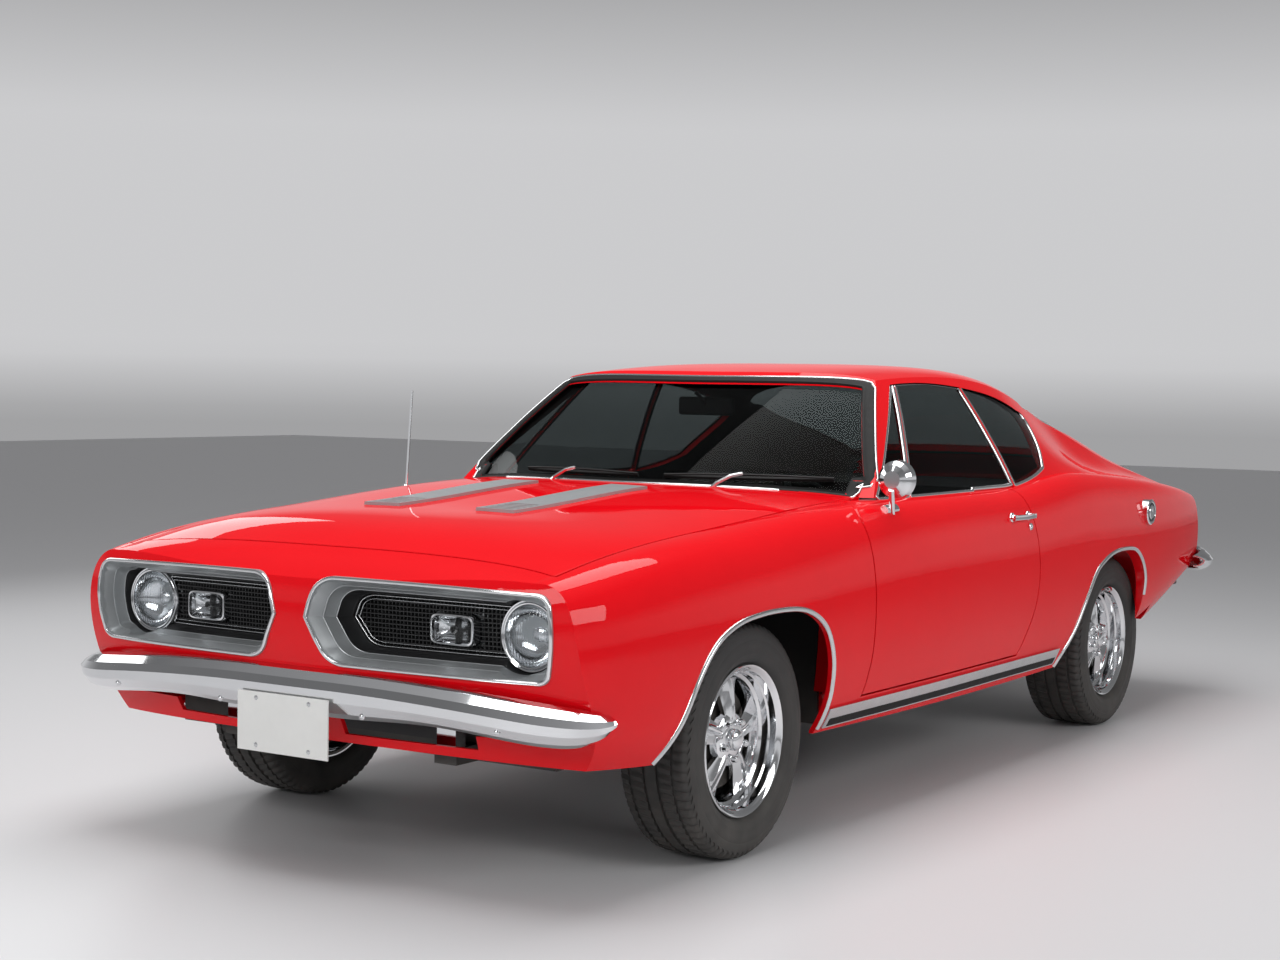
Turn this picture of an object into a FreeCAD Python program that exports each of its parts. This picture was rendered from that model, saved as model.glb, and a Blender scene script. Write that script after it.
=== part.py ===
import FreeCAD, Part
import math
import os

# Two-door fastback muscle car of the late 1960s, on five-spoke wheels.
# Millimetres. +Z is up, the nose points to -Y, and +X is the car's left side.
# The origin is on the ground, at the middle of the car's length and width.

V = FreeCAD.Vector

# Driving dimensions of the whole car
CAR_LENGTH = 4896.0
CAR_WIDTH = 1818.0
CAR_HEIGHT = 1340.0
WHEELBASE = 2743.0
FRONT_OVERHANG = 900.0
FRONT_TRACK = 1458.0
REAR_TRACK = 1412.0
PANEL_GAP = 6.0
OVERRUN = 60.0
TYRE_RADIUS = 318.0
TOUCH_GAP = 0.3

HALF_LENGTH = CAR_LENGTH / 2
HALF_WIDTH = CAR_WIDTH / 2
FRONT_AXLE_Y = FRONT_OVERHANG - HALF_LENGTH
REAR_AXLE_Y = FRONT_AXLE_Y + WHEELBASE

NOSE_END = -HALF_LENGTH - OVERRUN
TAIL_END = HALF_LENGTH + OVERRUN
SKY = CAR_HEIGHT + OVERRUN

# Walls of the body
SKIN_WALL = 14.0
ROOF_WALL = 34.0
GLASS_INSET = 5.0
GLASS_WALL = 6.0
LID_WALL = 20.0
CABIN_HALF_WIDTH = 735.0

# Body lines along the car: places along it as shares of the half length, then
# sizes as shares of the half width (X) or of the height (Z)
WIDEST_X_SHARES = [(-1.00, 0.868), (-0.94, 0.918), (-0.87, 0.953), (-0.776, 0.974), (-0.632, 0.985),
                   (-0.388, 0.994), (-0.20, 0.998), (0.00, 0.993), (0.12, 0.990), (0.286, 0.988), (0.488, 0.978),
                   (0.654, 0.958), (0.817, 0.920), (0.94, 0.872), (1.00, 0.840)]
WIDEST_Z_SHARES = [(-1.00, 0.448), (-0.632, 0.448), (0.00, 0.462), (0.488, 0.478), (1.00, 0.490)]
BELT_X_SHARES = [(-1.00, 0.765), (-0.90, 0.785), (-0.776, 0.795), (-0.49, 0.814), (-0.327, 0.853),
                 (0.00, 0.864), (0.286, 0.858), (0.49, 0.840), (0.817, 0.815), (1.00, 0.790)]
BELT_Z_SHARES = [(-1.00, 0.560), (-0.965, 0.586), (-0.94, 0.597), (-0.817, 0.633), (-0.633, 0.6605),
                 (-0.449, 0.683), (-0.327, 0.689), (0.00, 0.690), (0.12, 0.693), (0.286, 0.716),
                 (0.49, 0.705), (0.654, 0.683), (0.817, 0.653), (0.919, 0.627), (1.00, 0.597)]
CREASE_DROP = 12.0
CREASE_Z_SHARES = [(-1.00, 0.335), (-0.632, 0.328), (0.00, 0.328), (0.27, 0.330), (0.488, 0.345),
                   (0.654, 0.365), (0.817, 0.405), (1.00, 0.440)]
SILL_TUCK = 58.0
SILL_Z_SHARES = [(-1.00, 0.262), (-0.85, 0.240), (-0.632, 0.220), (-0.45, 0.214), (0.33, 0.214),
                 (0.488, 0.230), (0.654, 0.276), (0.817, 0.336), (0.94, 0.373), (1.00, 0.388)]
HOOD_Z_SHARES = [(-1.00, 0.535), (-0.988, 0.563), (-0.972, 0.590), (-0.94, 0.621), (-0.903, 0.647),
                 (-0.739, 0.683), (-0.486, 0.7127), (-0.388, 0.7164), (-0.20, 0.720)]
RIDGE_X_SHARES = [(-0.42, 0.655), (0.00, 0.650), (0.20, 0.650), (0.37, 0.628), (0.50, 0.632),
                  (0.57, 0.655), (0.70, 0.680), (0.80, 0.695), (1.00, 0.690)]
RIDGE_Z_SHARES = [(-0.42, 0.900), (-0.135, 0.959), (0.00, 0.969), (0.1225, 0.965), (0.245, 0.942),
                  (0.327, 0.912), (0.408, 0.874), (0.511, 0.820), (0.613, 0.763), (0.715, 0.716),
                  (0.797, 0.688), (0.858, 0.668), (0.919, 0.649), (1.00, 0.618)]
ROOF_Z_SHARES = [(-0.42, 0.915), (-0.163, 0.974), (0.00, 0.9965), (0.082, 1.0), (0.245, 0.989),
                 (0.368, 0.958), (0.490, 0.906), (0.613, 0.838), (0.715, 0.776), (0.797, 0.7295),
                 (0.858, 0.7030), (0.919, 0.683), (1.00, 0.655)]
LEDGE_SHARES = [(-0.50, 0.0), (0.22, 0.0), (0.32, 0.15), (0.42, 0.55), (0.54, 0.95), (0.70, 1.0), (1.0, 1.0)]
GLASS_BULGE = 12.0
FRONT_STATION_SHARES = [-1.03, -0.985, -0.96, -0.93, -0.89, -0.82, -0.74, -0.63, -0.50, -0.38, -0.26, -0.16]
REAR_STATION_SHARES = [-0.44, -0.34, -0.24, -0.12, 0.00, 0.12, 0.22, 0.31, 0.39, 0.47, 0.55, 0.64,
                       0.73, 0.81, 0.88, 0.94, 0.985, 1.03]

# Nose and tail faces: the sweep bends them back towards the sides, the lean tips them
NOSE_Y = -2420.0
NOSE_SWEEP = 60.0
NOSE_CORNER = 25.0
NOSE_LEAN = 100.0
NOSE_LEAN_SHARES = [(0.20, 1.50), (0.30, 0.85), (0.36, 0.48), (0.42, 0.18), (0.50, 0.0),
                    (0.555, 0.06), (0.60, 0.28), (0.65, 0.75), (0.72, 1.5), (0.80, 2.4)]
TAIL_Y = 2404.0
TAIL_SWEEP = 62.0
TAIL_CORNER = 70.0
TAIL_LEAN_SHARES = [(0.20, 1.90), (0.30, 1.25), (0.38, 0.72), (0.44, 0.40), (0.50, 0.30),
                    (0.56, 0.20), (0.62, 0.05), (0.66, 0.0), (0.75, -0.05), (0.85, 0.0), (0.95, 0.0), (1.05, 0.0)]
FACE_HALF_WIDTH = 820.0
FACE_STATIONS = 6

# Places of the section curves' poles, as shares across and up from one edge to the next
LOW_FLANK_SHARES = [(0.55, 0.33), (0.88, 0.66)]
CREASE_SHARES = (0.75, 0.28)
UPRIGHT_FLANK_SHARES = (0.30, 0.36)
SHOULDER_SHARES = [(0.74, 0.13), (0.32, 0.0)]
STRAIGHT_GLASS_SHARES = [(0.25, 0.25), (0.50, 0.50), (0.75, 0.75)]
SAGGING_GLASS_SHARES = [(0.26, 0.03), (0.62, 0.26), (0.86, 0.66)]
ROOF_CROWN_SHARES = (0.13, 0.74)
HOOD_CROWN_SHARES = (0.12, 0.50)
CROWN_SHARES = (0.50, 1.0)
FACE_LEVELS = 16


def spline(table, at):
    """Value at one place of the natural cubic curve through a table's points."""
    n = len(table)
    xs = [p[0] for p in table]
    ys = [p[1] for p in table]
    h = [xs[i + 1] - xs[i] for i in range(n - 1)]
    upper = [0.0] * n
    right = [0.0] * n
    for i in range(1, n - 1):
        rhs = 6 * ((ys[i + 1] - ys[i]) / h[i] - (ys[i] - ys[i - 1]) / h[i - 1])
        pivot = 2 * (h[i - 1] + h[i]) - h[i - 1] * upper[i - 1]
        upper[i] = h[i] / pivot
        right[i] = (rhs - h[i - 1] * right[i - 1]) / pivot
    second = [0.0] * n
    for i in range(n - 2, 0, -1):
        second[i] = right[i] - upper[i] * second[i + 1]
    inside = min(max(at, xs[0]), xs[-1])
    i = max(k for k in range(n - 1) if xs[k] <= inside)
    a = (xs[i + 1] - inside) / h[i]
    b = (inside - xs[i]) / h[i]
    value = (a * ys[i] + b * ys[i + 1]
             + ((a ** 3 - a) * second[i] + (b ** 3 - b) * second[i + 1]) * h[i] ** 2 / 6)
    slope = ((ys[i + 1] - ys[i]) / h[i]
             + (-(3 * a * a - 1) * second[i] + (3 * b * b - 1) * second[i + 1]) * h[i] / 6)
    return value + slope * (at - inside)


def wide(table, y):
    return HALF_WIDTH * spline(table, y / HALF_LENGTH)


def high(table, y):
    return CAR_HEIGHT * spline(table, y / HALF_LENGTH)


def mix(p, q, share_x, share_z):
    """Point that lies given shares of the way from p to q, in X and in Z."""
    return (p[0] + share_x * (q[0] - p[0]), p[1] + share_z * (q[1] - p[1]))


def side_poles(y):
    """Poles of the flank at one station: sill to crease, then crease to belt."""
    widest = (wide(WIDEST_X_SHARES, y), high(WIDEST_Z_SHARES, y))
    crease = (widest[0] - CREASE_DROP, high(CREASE_Z_SHARES, y))
    sill = (crease[0] - SILL_TUCK, high(SILL_Z_SHARES, y))
    belt = (wide(BELT_X_SHARES, y), high(BELT_Z_SHARES, y))
    low = [sill] + [mix(sill, crease, *shares) for shares in LOW_FLANK_SHARES] + [crease]
    below, above = UPRIGHT_FLANK_SHARES
    upper = [crease,
             mix(crease, widest, *CREASE_SHARES),
             (widest[0], widest[1] - below * (widest[1] - crease[1])),
             (widest[0], widest[1] + above * (belt[1] - widest[1]))]
    upper += [mix(belt, widest, *shares) for shares in SHOULDER_SHARES] + [belt]
    return low, upper


def glass_poles(y):
    """Poles from the belt to the roof rail; behind the windows they sag into a ledge."""
    belt = (wide(BELT_X_SHARES, y), high(BELT_Z_SHARES, y))
    ridge = (wide(RIDGE_X_SHARES, y), high(RIDGE_Z_SHARES, y))
    ledge = min(max(spline(LEDGE_SHARES, y / HALF_LENGTH), 0.0), 1.0)
    poles = [belt]
    for flat, sag in zip(STRAIGHT_GLASS_SHARES, SAGGING_GLASS_SHARES):
        share_x = flat[0] + ledge * (sag[0] - flat[0])
        share_z = flat[1] + ledge * (sag[1] - flat[1])
        x, z = mix(belt, ridge, share_x, share_z)
        poles.append((x + GLASS_BULGE * (1 - ledge), z))
    return poles + [ridge]


def crown_poles(edge, middle_z, first):
    """Poles of a crowned panel from one edge over the middle to the other edge."""
    half = [edge, mix(edge, (0, middle_z), *first), mix(edge, (0, middle_z), *CROWN_SHARES)]
    return half + [(0, middle_z)] + [(-x, z) for x, z in reversed(half)]


def inset(groups, walls):
    """Moves a section's poles inwards by each group's wall."""
    chain = [groups[0][0]]
    wall_at = [walls[0]]
    for group, wall in zip(groups, walls):
        chain += group[1:]
        wall_at += [wall] * (len(group) - 1)
    moved = []
    last = len(chain) - 1
    for i, point in enumerate(chain):
        before = chain[max(i - 1, 0)]
        after = chain[min(i + 1, last)]
        dx, dz = after[0] - before[0], after[1] - before[1]
        size = math.hypot(dx, dz)
        x = point[0] - wall_at[i] * dz / size
        z = point[1] + wall_at[i] * dx / size
        moved.append((x, z))
    result = []
    start = 0
    for group in groups:
        result.append(moved[start:start + len(group)])
        start += len(group) - 1
    return result


def section(y, kind, side_wall, top_wall):
    """Pole groups of one whole cross-section, from the left sill over the top to the right one."""
    low, upper = side_poles(y)
    left = [low, upper]
    walls = [side_wall, side_wall]
    if kind == "front":
        belt = upper[-1]
        top = crown_poles(belt, high(HOOD_Z_SHARES, y), HOOD_CROWN_SHARES)
    else:
        glass = glass_poles(y)
        left.append(glass)
        walls.append(top_wall)
        top = crown_poles(glass[-1], high(ROOF_Z_SHARES, y), ROOF_CROWN_SHARES)
    right = [[(-x, z) for x, z in reversed(group)] for group in reversed(left)]
    groups = left + [top] + right
    walls = walls + [top_wall] + walls[::-1]
    if side_wall or top_wall:
        groups = inset(groups, walls)
    return groups


def uniform_knots(count):
    inner = count - 3
    return [4] + [1] * (inner - 1) + [4], [i / inner for i in range(inner + 1)]


def skin_surface(rows, ys):
    """Curved sheet through one pole group of every station; ys are the stations' places."""
    columns = []
    for j in range(len(rows[0])):
        curve = Part.BSplineCurve()
        points = [V(row[j][0], y, row[j][1]) for row, y in zip(rows, ys)]
        curve.interpolate(Points=points, Parameters=[y / HALF_LENGTH for y in ys])
        columns.append(curve)
    poles = [[column.getPole(i + 1) for column in columns] for i in range(columns[0].NbPoles)]
    v_mults, v_knots = uniform_knots(len(columns))
    surface = Part.BSplineSurface()
    surface.buildFromPolesMultsKnots(poles, columns[0].getMultiplicities(), v_mults,
                                     columns[0].getKnots(), v_knots, False, False, 3, 3)
    return surface.toShape()


def line_poles(p, q):
    return [mix(p, q, k / 3, k / 3) for k in range(4)]


def closed_section(y, kind, side_wall, top_wall):
    """Section groups closed below: an inner section drops under the sills, an outer one spans them."""
    groups = section(y, kind, side_wall, top_wall)
    left, right = groups[0][0], groups[-1][-1]
    if side_wall == 0:
        return groups + [line_poles(right, left)]
    low_right, low_left = (right[0], -OVERRUN), (left[0], -OVERRUN)
    return groups + [line_poles(right, low_right), line_poles(low_right, low_left),
                     line_poles(low_left, left)]


def end_face(groups, y):
    edges = []
    for group in groups:
        mults, knots = uniform_knots(len(group))
        curve = Part.BSplineCurve()
        curve.buildFromPolesMultsKnots([V(x, y, z) for x, z in group], mults, knots, False, 3)
        edges.append(curve.toShape())
    return Part.Face(Part.Wire(edges))


def body_volume(kind, side_wall=0.0, top_wall=0.0):
    """Closed volume under the body's skin, or under a skin moved inwards by its walls."""
    stations = FRONT_STATION_SHARES if kind == "front" else REAR_STATION_SHARES
    ys = [share * HALF_LENGTH for share in stations]
    sections = [closed_section(y, kind, side_wall, top_wall) for y in ys]
    faces = [skin_surface([groups[k] for groups in sections], ys) for k in range(len(sections[0]))]
    faces += [end_face(sections[0], ys[0]), end_face(sections[-1], ys[-1])]
    shell = Part.makeShell(faces)
    shell.sewShape()
    solid = Part.Solid(shell)
    if solid.Volume < 0:
        solid.reverse()
    return solid


def face_block(end, depth=0.0):
    """Block behind the curved nose face (end -1) or ahead of the tail face (end 1), moved inwards."""
    place, sweep, corner, leans = ((-NOSE_Y, NOSE_SWEEP, NOSE_CORNER, NOSE_LEAN_SHARES) if end < 0
                                   else (TAIL_Y, TAIL_SWEEP, TAIL_CORNER, TAIL_LEAN_SHARES))
    grid = []
    for i in range(-FACE_STATIONS, FACE_STATIONS + 1):
        across = i / FACE_STATIONS * (1 + OVERRUN / FACE_HALF_WIDTH * 2)
        row = []
        for k in range(FACE_LEVELS + 1):
            level = leans[0][0] + (leans[-1][0] - leans[0][0]) * k / FACE_LEVELS
            lean = spline(leans, level)
            back = sweep * across ** 2 + corner * across ** 6 + NOSE_LEAN * lean + depth
            row.append(V(across * FACE_HALF_WIDTH, end * (place - back), level * CAR_HEIGHT))
        grid.append(row)
    surface = Part.BSplineSurface()
    surface.interpolate(grid)
    return surface.toShape().extrude(V(0, -end * CAR_LENGTH, 0))


def block(x0, x1, y0, y1, z0, z1):
    return Part.makeBox(x1 - x0, y1 - y0, z1 - z0, V(x0, y0, z0))


def cylinder(start, end, radius):
    axis = end - start
    return Part.makeCylinder(radius, axis.Length, start, axis)


def mirrored(shape):
    return shape.mirror(V(0, 0, 0), V(1, 0, 0))


def both_sides(shape):
    return [shape, mirrored(shape)]


def fused(shapes):
    return shapes[0].multiFuse(shapes[1:]).removeSplitter()


def outline_face(strokes, to_point):
    """Face inside strokes that follow each other: two points make a line, more make a curve."""
    edges = []
    for stroke in strokes:
        points = [to_point(a, b) for a, b in stroke]
        if len(points) == 2:
            edges.append(Part.makeLine(*points))
        else:
            curve = Part.BSplineCurve()
            curve.interpolate(points)
            edges.append(curve.toShape())
    first, last = edges[0].Vertexes[0].Point, edges[-1].Vertexes[-1].Point
    if first.distanceToPoint(last) > TOUCH_GAP:
        edges.append(Part.makeLine(last, first))
    return Part.Face(Part.Wire(edges))


def side_prism(strokes, x0, x1, shear=0.0):
    """Prism across the car of an outline in Y and Z; a shear shifts it back as it goes outwards."""
    face = outline_face(strokes, lambda y, z: V(x0, y, z))
    return face.extrude(V(x1 - x0, shear * (x1 - x0), 0))


def plan_prism(strokes, z0, z1):
    return outline_face(strokes, lambda x, y: V(x, y, z0)).extrude(V(0, 0, z1 - z0))


def front_prism(strokes, y0, y1):
    return outline_face(strokes, lambda x, z: V(x, y0, z)).extrude(V(0, y1 - y0, 0))


def scaled(points, size_a, size_b, a=0.0, b=0.0):
    """Outline points in millimetres from shares of two sizes, about one place."""
    return [(a + size_a * p, b + size_b * q) for p, q in points]


def body_yz(points):
    return scaled(points, HALF_LENGTH, CAR_HEIGHT)


def body_xy(points):
    return scaled(points, HALF_WIDTH, HALF_LENGTH)


def body_xz(points):
    return scaled(points, HALF_WIDTH, CAR_HEIGHT)


def turned(profile, centre, axis=V(1, 0, 0)):
    """Solid of revolution about X through a centre, from points of place along X and radius."""
    points = [centre + V(x, 0, r) for x, r in profile]
    face = Part.Face(Part.makePolygon(points + [points[0]]))
    return face.revolve(centre, axis, 360)


def tube_along(points, radius, bend):
    """Round bar through points, its corners rounded by a bend radius."""
    wire = rounded_path(points, bend)
    first = wire.Edges[0]
    start = first.valueAt(first.FirstParameter)
    axis = first.tangentAt(first.FirstParameter)
    ring = Part.Wire(Part.makeCircle(radius, start, axis))
    return wire.makePipeShell([ring], True, True)


def rounded_path(points, bend):
    edges = []
    start = points[0]
    for i in range(1, len(points) - 1):
        into = (points[i] - points[i - 1]).normalize()
        out = (points[i + 1] - points[i]).normalize()
        half = into.getAngle(out) / 2
        reach = bend * math.tan(half)
        a = points[i] - into * reach
        b = points[i] + out * reach
        centre_way = (out - into).normalize()
        mid = points[i] + centre_way * (bend / math.cos(half) - bend)
        edges.append(Part.makeLine(start, a))
        edges.append(Part.Arc(a, mid, b).toShape())
        start = b
    edges.append(Part.makeLine(start, points[-1]))
    return Part.Wire(edges)


def save(name, *solids):
    shape = solids[0] if len(solids) == 1 else Part.makeCompound(list(solids))
    pieces = [piece for piece in shape.Solids if piece.Volume > SLIVER_SIZE ** 3]
    shape = pieces[0] if len(pieces) == 1 else Part.makeCompound(pieces)
    shape.exportStep("parts/" + name + ".step")


# Openings and panel outlines in the body, as shares of the half length and the height
DOOR_HINGE_X = 900.0
DOOR_FRONT_Y = -935.0
DOOR_SHEAR_SHARE = 0.20
DOOR_FRONT_SHARES = [(-0.3925, 0.282), (-0.3835, 0.40), (-0.3810, 0.48), (-0.3800, 0.56), (-0.3780, 0.640)]
DOOR_SHOULDER_SHARES = [(-0.3780, 0.640), (-0.372, 0.668), (-0.350, 0.684), (-0.320, 0.6905)]
DOOR_TOP_SHARES = [(-0.320, 0.6905), (0.108, 0.6905)]
DOOR_REAR_SHARES = [(0.108, 0.6905), (0.116, 0.60), (0.1215, 0.52), (0.1150, 0.42), (0.098, 0.36),
                    (0.070, 0.282)]
WINDOW_FRONT_SHARES = [(-0.2920, 0.6905), (-0.1100, 0.9490)]
WINDOW_TOP_SHARES = [(-0.1100, 0.9490), (0.0, 0.9540), (0.13, 0.9390), (0.235, 0.9110), (0.290, 0.8830)]
WINDOW_REAR_SHARES = [(0.290, 0.8830), (0.312, 0.862), (0.300, 0.810), (0.262, 0.7340)]
WINDOW_LOW_SHARES = [(0.262, 0.7340), (0.200, 0.7080), (0.150, 0.6960), (0.108, 0.6905)]
WINDOW_SILL_SHARES = [(0.108, 0.6905), (-0.2920, 0.6905)]
VENT_BAR_SHARES = [(-0.0870, 0.9700), (-0.1985, 0.6905)]
REAR_BAR_SHARES = [(0.0975, 0.9700), (0.1400, 0.6850)]
BAR_WIDTH = 14.0
BAR_INSET = 1.0
BAR_WALL = 16.0
WINDOW_CLEARANCE = 7.0
ARCH_FRONT_SHARES = [[(-1.400, 0.50), (-1.370, 0.90), (-1.327, 1.038), (-1.186, 1.321), (-1.028, 1.635),
                      (-0.792, 1.887), (-0.478, 2.019), (-0.100, 2.069), (0.308, 2.075), (0.623, 2.044),
                      (0.858, 1.956), (1.016, 1.824), (1.120, 1.60), (1.170, 1.30), (1.180, 0.50)]]
ARCH_REAR_SHARES = [[(-1.90, 0.50), (-1.83, 0.90), (-1.775, 1.07), (-1.557, 1.38), (-1.40, 1.60),
                     (-1.116, 1.887), (-0.833, 2.013), (-0.519, 2.082), (-0.141, 2.097), (0.236, 2.06),
                     (0.487, 1.918), (0.629, 1.714), (0.650, 1.50), (0.645, 1.20), (0.640, 0.50)]]
WHEEL_WELL_RADIUS = 385.0
WHEEL_WELL_IN_X = 556.0
WHEEL_WELL_OUT_X = 842.0
WELL_WALL = 10.0

# Hood, cowl and nose seams
HOOD_FRONT_SHARES = [(0.0, -0.9335), (0.42, -0.9325), (0.792, -0.9300)]
HOOD_SIDE_SHARES = [(0.792, -0.9300), (0.797, -0.80), (0.803, -0.60), (0.808, -0.42), (0.808, -0.3230)]
HOOD_REAR_SHARES = [(0.808, -0.3230), (0.62, -0.3650), (0.34, -0.4130), (0.0, -0.4290)]
HOOD_SHARES = [HOOD_FRONT_SHARES, HOOD_SIDE_SHARES, HOOD_REAR_SHARES]
HOOD_LOW_Z = 690.0
NOSE_SEAM_X = 660.0
VALANCE_SLOT_SHARES = [(0.105, 0.2710), (0.555, 0.2710), (0.560, 0.2985), (0.715, 0.2985), (0.720, 0.3230),
                       (0.105, 0.3230)]
VALANCE_SEAM_X = 765.0
VALANCE_SEAM_Z = 500.0
NOSE_BACK_Y = -2200.0
COWL_LOW_Z = 850.0
COWL_REACH = 160.0
BULKHEAD_Y = -942.0
HOOD_SIDE_X = HALF_WIDTH * HOOD_SIDE_SHARES[-1][0]
HOOD_REAR_Y = HALF_LENGTH * HOOD_SIDE_SHARES[-1][1]
DOOR_TOP_Y = HALF_LENGTH * DOOR_TOP_SHARES[0][0]
POST_GAP = 17.0
BULKHEAD_HALF = CABIN_HALF_WIDTH - POST_GAP
POST_IN_X = 690.0
POST_REAR_Y = -640.0
POST_TOP_Z = 905.0
POST_FOOT_X = 770.0
POST_FOOT_Z = 360.0
POST_CROWN_Y = -760.0
POST_CROWN_Z = 980.0
GLASS_REBATE = 12.0

# Windshield plane: its lower and upper edges bend back towards the sides
SCREEN_BASE_Y = -965.0
SCREEN_BASE_BEND = 265.0
SCREEN_BASE_X = 689.0
SCREEN_BASE_Z = 950.0
SCREEN_TOP_Y = -400.0
SCREEN_TOP_BEND = 74.0
SCREEN_TOP_X = 584.0
SCREEN_TOP_Z = 1300.0
SCREEN_BULGE = 14.0
SCREEN_TURN_SHARE = 0.10
SCREEN_STATIONS = 8
SCREEN_RISE_SHARES = (-0.25, 0.0, 0.25, 0.5, 0.75, 1.0, 1.25)

# Rests that carry the shut doors and the shut trunk lid
JAMB_PAD_X = 770.0
JAMB_PAD_Z = 560.0
JAMB_PAD_SIZE = 50.0
LATCH_HALF = 60.0
LATCH_REACH = 90.0
LATCH_LOW_Z = 840.0

# Rear window, trunk lid and tail
REAR_GLASS_SHARES = [[(0.0, 0.3120), (0.30, 0.3145), (0.54, 0.3240)],
                     [(0.54, 0.3240), (0.612, 0.340), (0.618, 0.380)],
                     [(0.618, 0.380), (0.612, 0.55), (0.604, 0.680)],
                     [(0.604, 0.680), (0.598, 0.715), (0.52, 0.7230)],
                     [(0.52, 0.7230), (0.28, 0.7310), (0.0, 0.7330)]]
REAR_GLASS_LOW_Z = 900.0
GLASS_REST = 11.0
TRUNK_SHARES = [[(0.0, 0.7480), (0.36, 0.7470), (0.62, 0.7430)],
                [(0.62, 0.7430), (0.655, 0.748), (0.660, 0.770)],
                [(0.660, 0.770), (0.664, 0.85), (0.664, 0.930)],
                [(0.664, 0.930), (0.660, 0.9480), (0.635, 0.9520)],
                [(0.635, 0.9520), (0.33, 0.9620), (0.0, 0.9660)]]
TRUNK_LOW_Z = 830.0
SLIVER_SIZE = 25.0


# Nose: the lamp-and-grille frames stand in openings of the nose, one on each side
GRILLE_SHARES = [[(0.0627, 0.5004), (0.0713, 0.5202), (0.0800, 0.5400)],
                 [(0.0800, 0.5400), (0.104, 0.5625), (0.145, 0.5722)],
                 [(0.145, 0.5722), (0.47, 0.5715), (0.775, 0.5665)],
                 [(0.775, 0.5665), (0.812, 0.5610), (0.827, 0.5430)],
                 [(0.827, 0.5430), (0.833, 0.4900), (0.820, 0.4330)],
                 [(0.820, 0.4330), (0.808, 0.4195), (0.775, 0.4155)],
                 [(0.775, 0.4155), (0.48, 0.4160), (0.190, 0.4165)],
                 [(0.190, 0.4165), (0.142, 0.4215), (0.110, 0.4400)],
                 [(0.110, 0.4400), (0.0864, 0.4702), (0.0627, 0.5004)]]
GRILLE_FRAME_WALL = 9.0
GRILLE_FRAME_PROUD = 5.0
GRILLE_FRAME_DEPTH = 158.0
BUCKET_BACK_Y = -2180.0
BUCKET_STEPS = 4
BUCKET_FRONT_SHARE = 0.35
BUCKET_IN_SHARES = (0.070, 0.045, 0.150, 0.190)
GRILLE_FLOOR_WALL = 6.0
MESH_DEPTH = 19.0
MESH_SET_BACK = 128.0
MESH_BAR = 5.0
MESH_END_X = 585.0
MESH_BARS_ACROSS = 12
MESH_BARS_UP = 6
MESH_STEPS_ACROSS = 7
MESH_STEPS_UP = 3
MESH_LINE = 12.0
LAMP_X = 641.0
LAMP_Z = 653.0
LAMP_RADIUS = 79.0
LAMP_RING = 12.0
LAMP_SET_BACK = 110.0
LAMP_POCKET = 3.0
LAMP_DOME = 16.0
TURN_LAMP_X = 418.0
TURN_LAMP_SET_BACK = 113.0
TURN_LAMP_WIDTH = 136.0
TURN_LAMP_HEIGHT = 80.0
TURN_LAMP_CORNER = 18.0

# Bumpers
BUMPER_WALL = 5.0
FRONT_BUMPER_SHARES = [(0.0, -0.9968, 0.0, 1.0), (0.20, -0.9964, 0.0, 1.0), (0.45, -0.9935, -0.06, 1.0),
                       (0.70, -0.9850, -0.20, 1.0), (0.86, -0.9690, -0.32, 0.97), (0.945, -0.9530, -0.33, 0.80),
                       (0.9875, -0.9270, -0.22, 0.30)]
FRONT_BUMPER_Z = 486.0
BUMPER_HEIGHT = 104.0
BUMPER_BULGE = 48.0
BUMPER_DIP = 14.0
BUMPER_SHARES = [(-0.95, 1.0), (-0.62, 0.86), (-0.22, 0.50), (0.0, 0.12), (-0.08, -0.35), (-0.38, -0.78),
                 (-0.80, -1.0), (-0.95, -0.98)]
BUMPER_DIP_HALF = 175.0
BUMPER_DIP_RUN = 70.0
REAR_BUMPER_SHARES = [(0.0, 1.000, 0.0, 1.0), (0.20, 0.9985, 0.0, 1.0), (0.45, 0.9935, 0.0, 1.0),
                      (0.70, 0.9830, 0.0, 1.0), (0.86, 0.9620, 0.0, 1.0), (0.940, 0.9300, 0.0, 0.88),
                      (0.962, 0.8700, 0.0, 0.45)]
REAR_BUMPER_Z = 560.0
BUMPER_ARM_X = 330.0
BUMPER_ARM_WIDTH = 60.0
BUMPER_ARM_HEIGHT = 40.0
PLATE_WIDTH = 305.0
PLATE_HEIGHT = 152.0
PLATE_WALL = 4.0
PLATE_HOLE_RADIUS = 3.5
PLATE_HOLE_X = 88.9
PLATE_HOLE_Z = 60.3
PLATE_FRONT_Z = 318.0
PLATE_FRONT_DEPTH = 0.5
PLATE_FRONT_FOOT = 388.0
PLATE_FRONT_TOP = 410.0
PLATE_REAR_Z = 345.0
PLATE_REAR_DEPTH = 50.0
PLATE_REAR_FOOT = 465.0
PLATE_REAR_TOP = 500.0

BUMPER_ARM_TIP = 41.0
BUMPER_ARM_REACH = 210.0
BUMPER_PAD = 20.0
PLATE_BRACKET = 190.0

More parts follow.
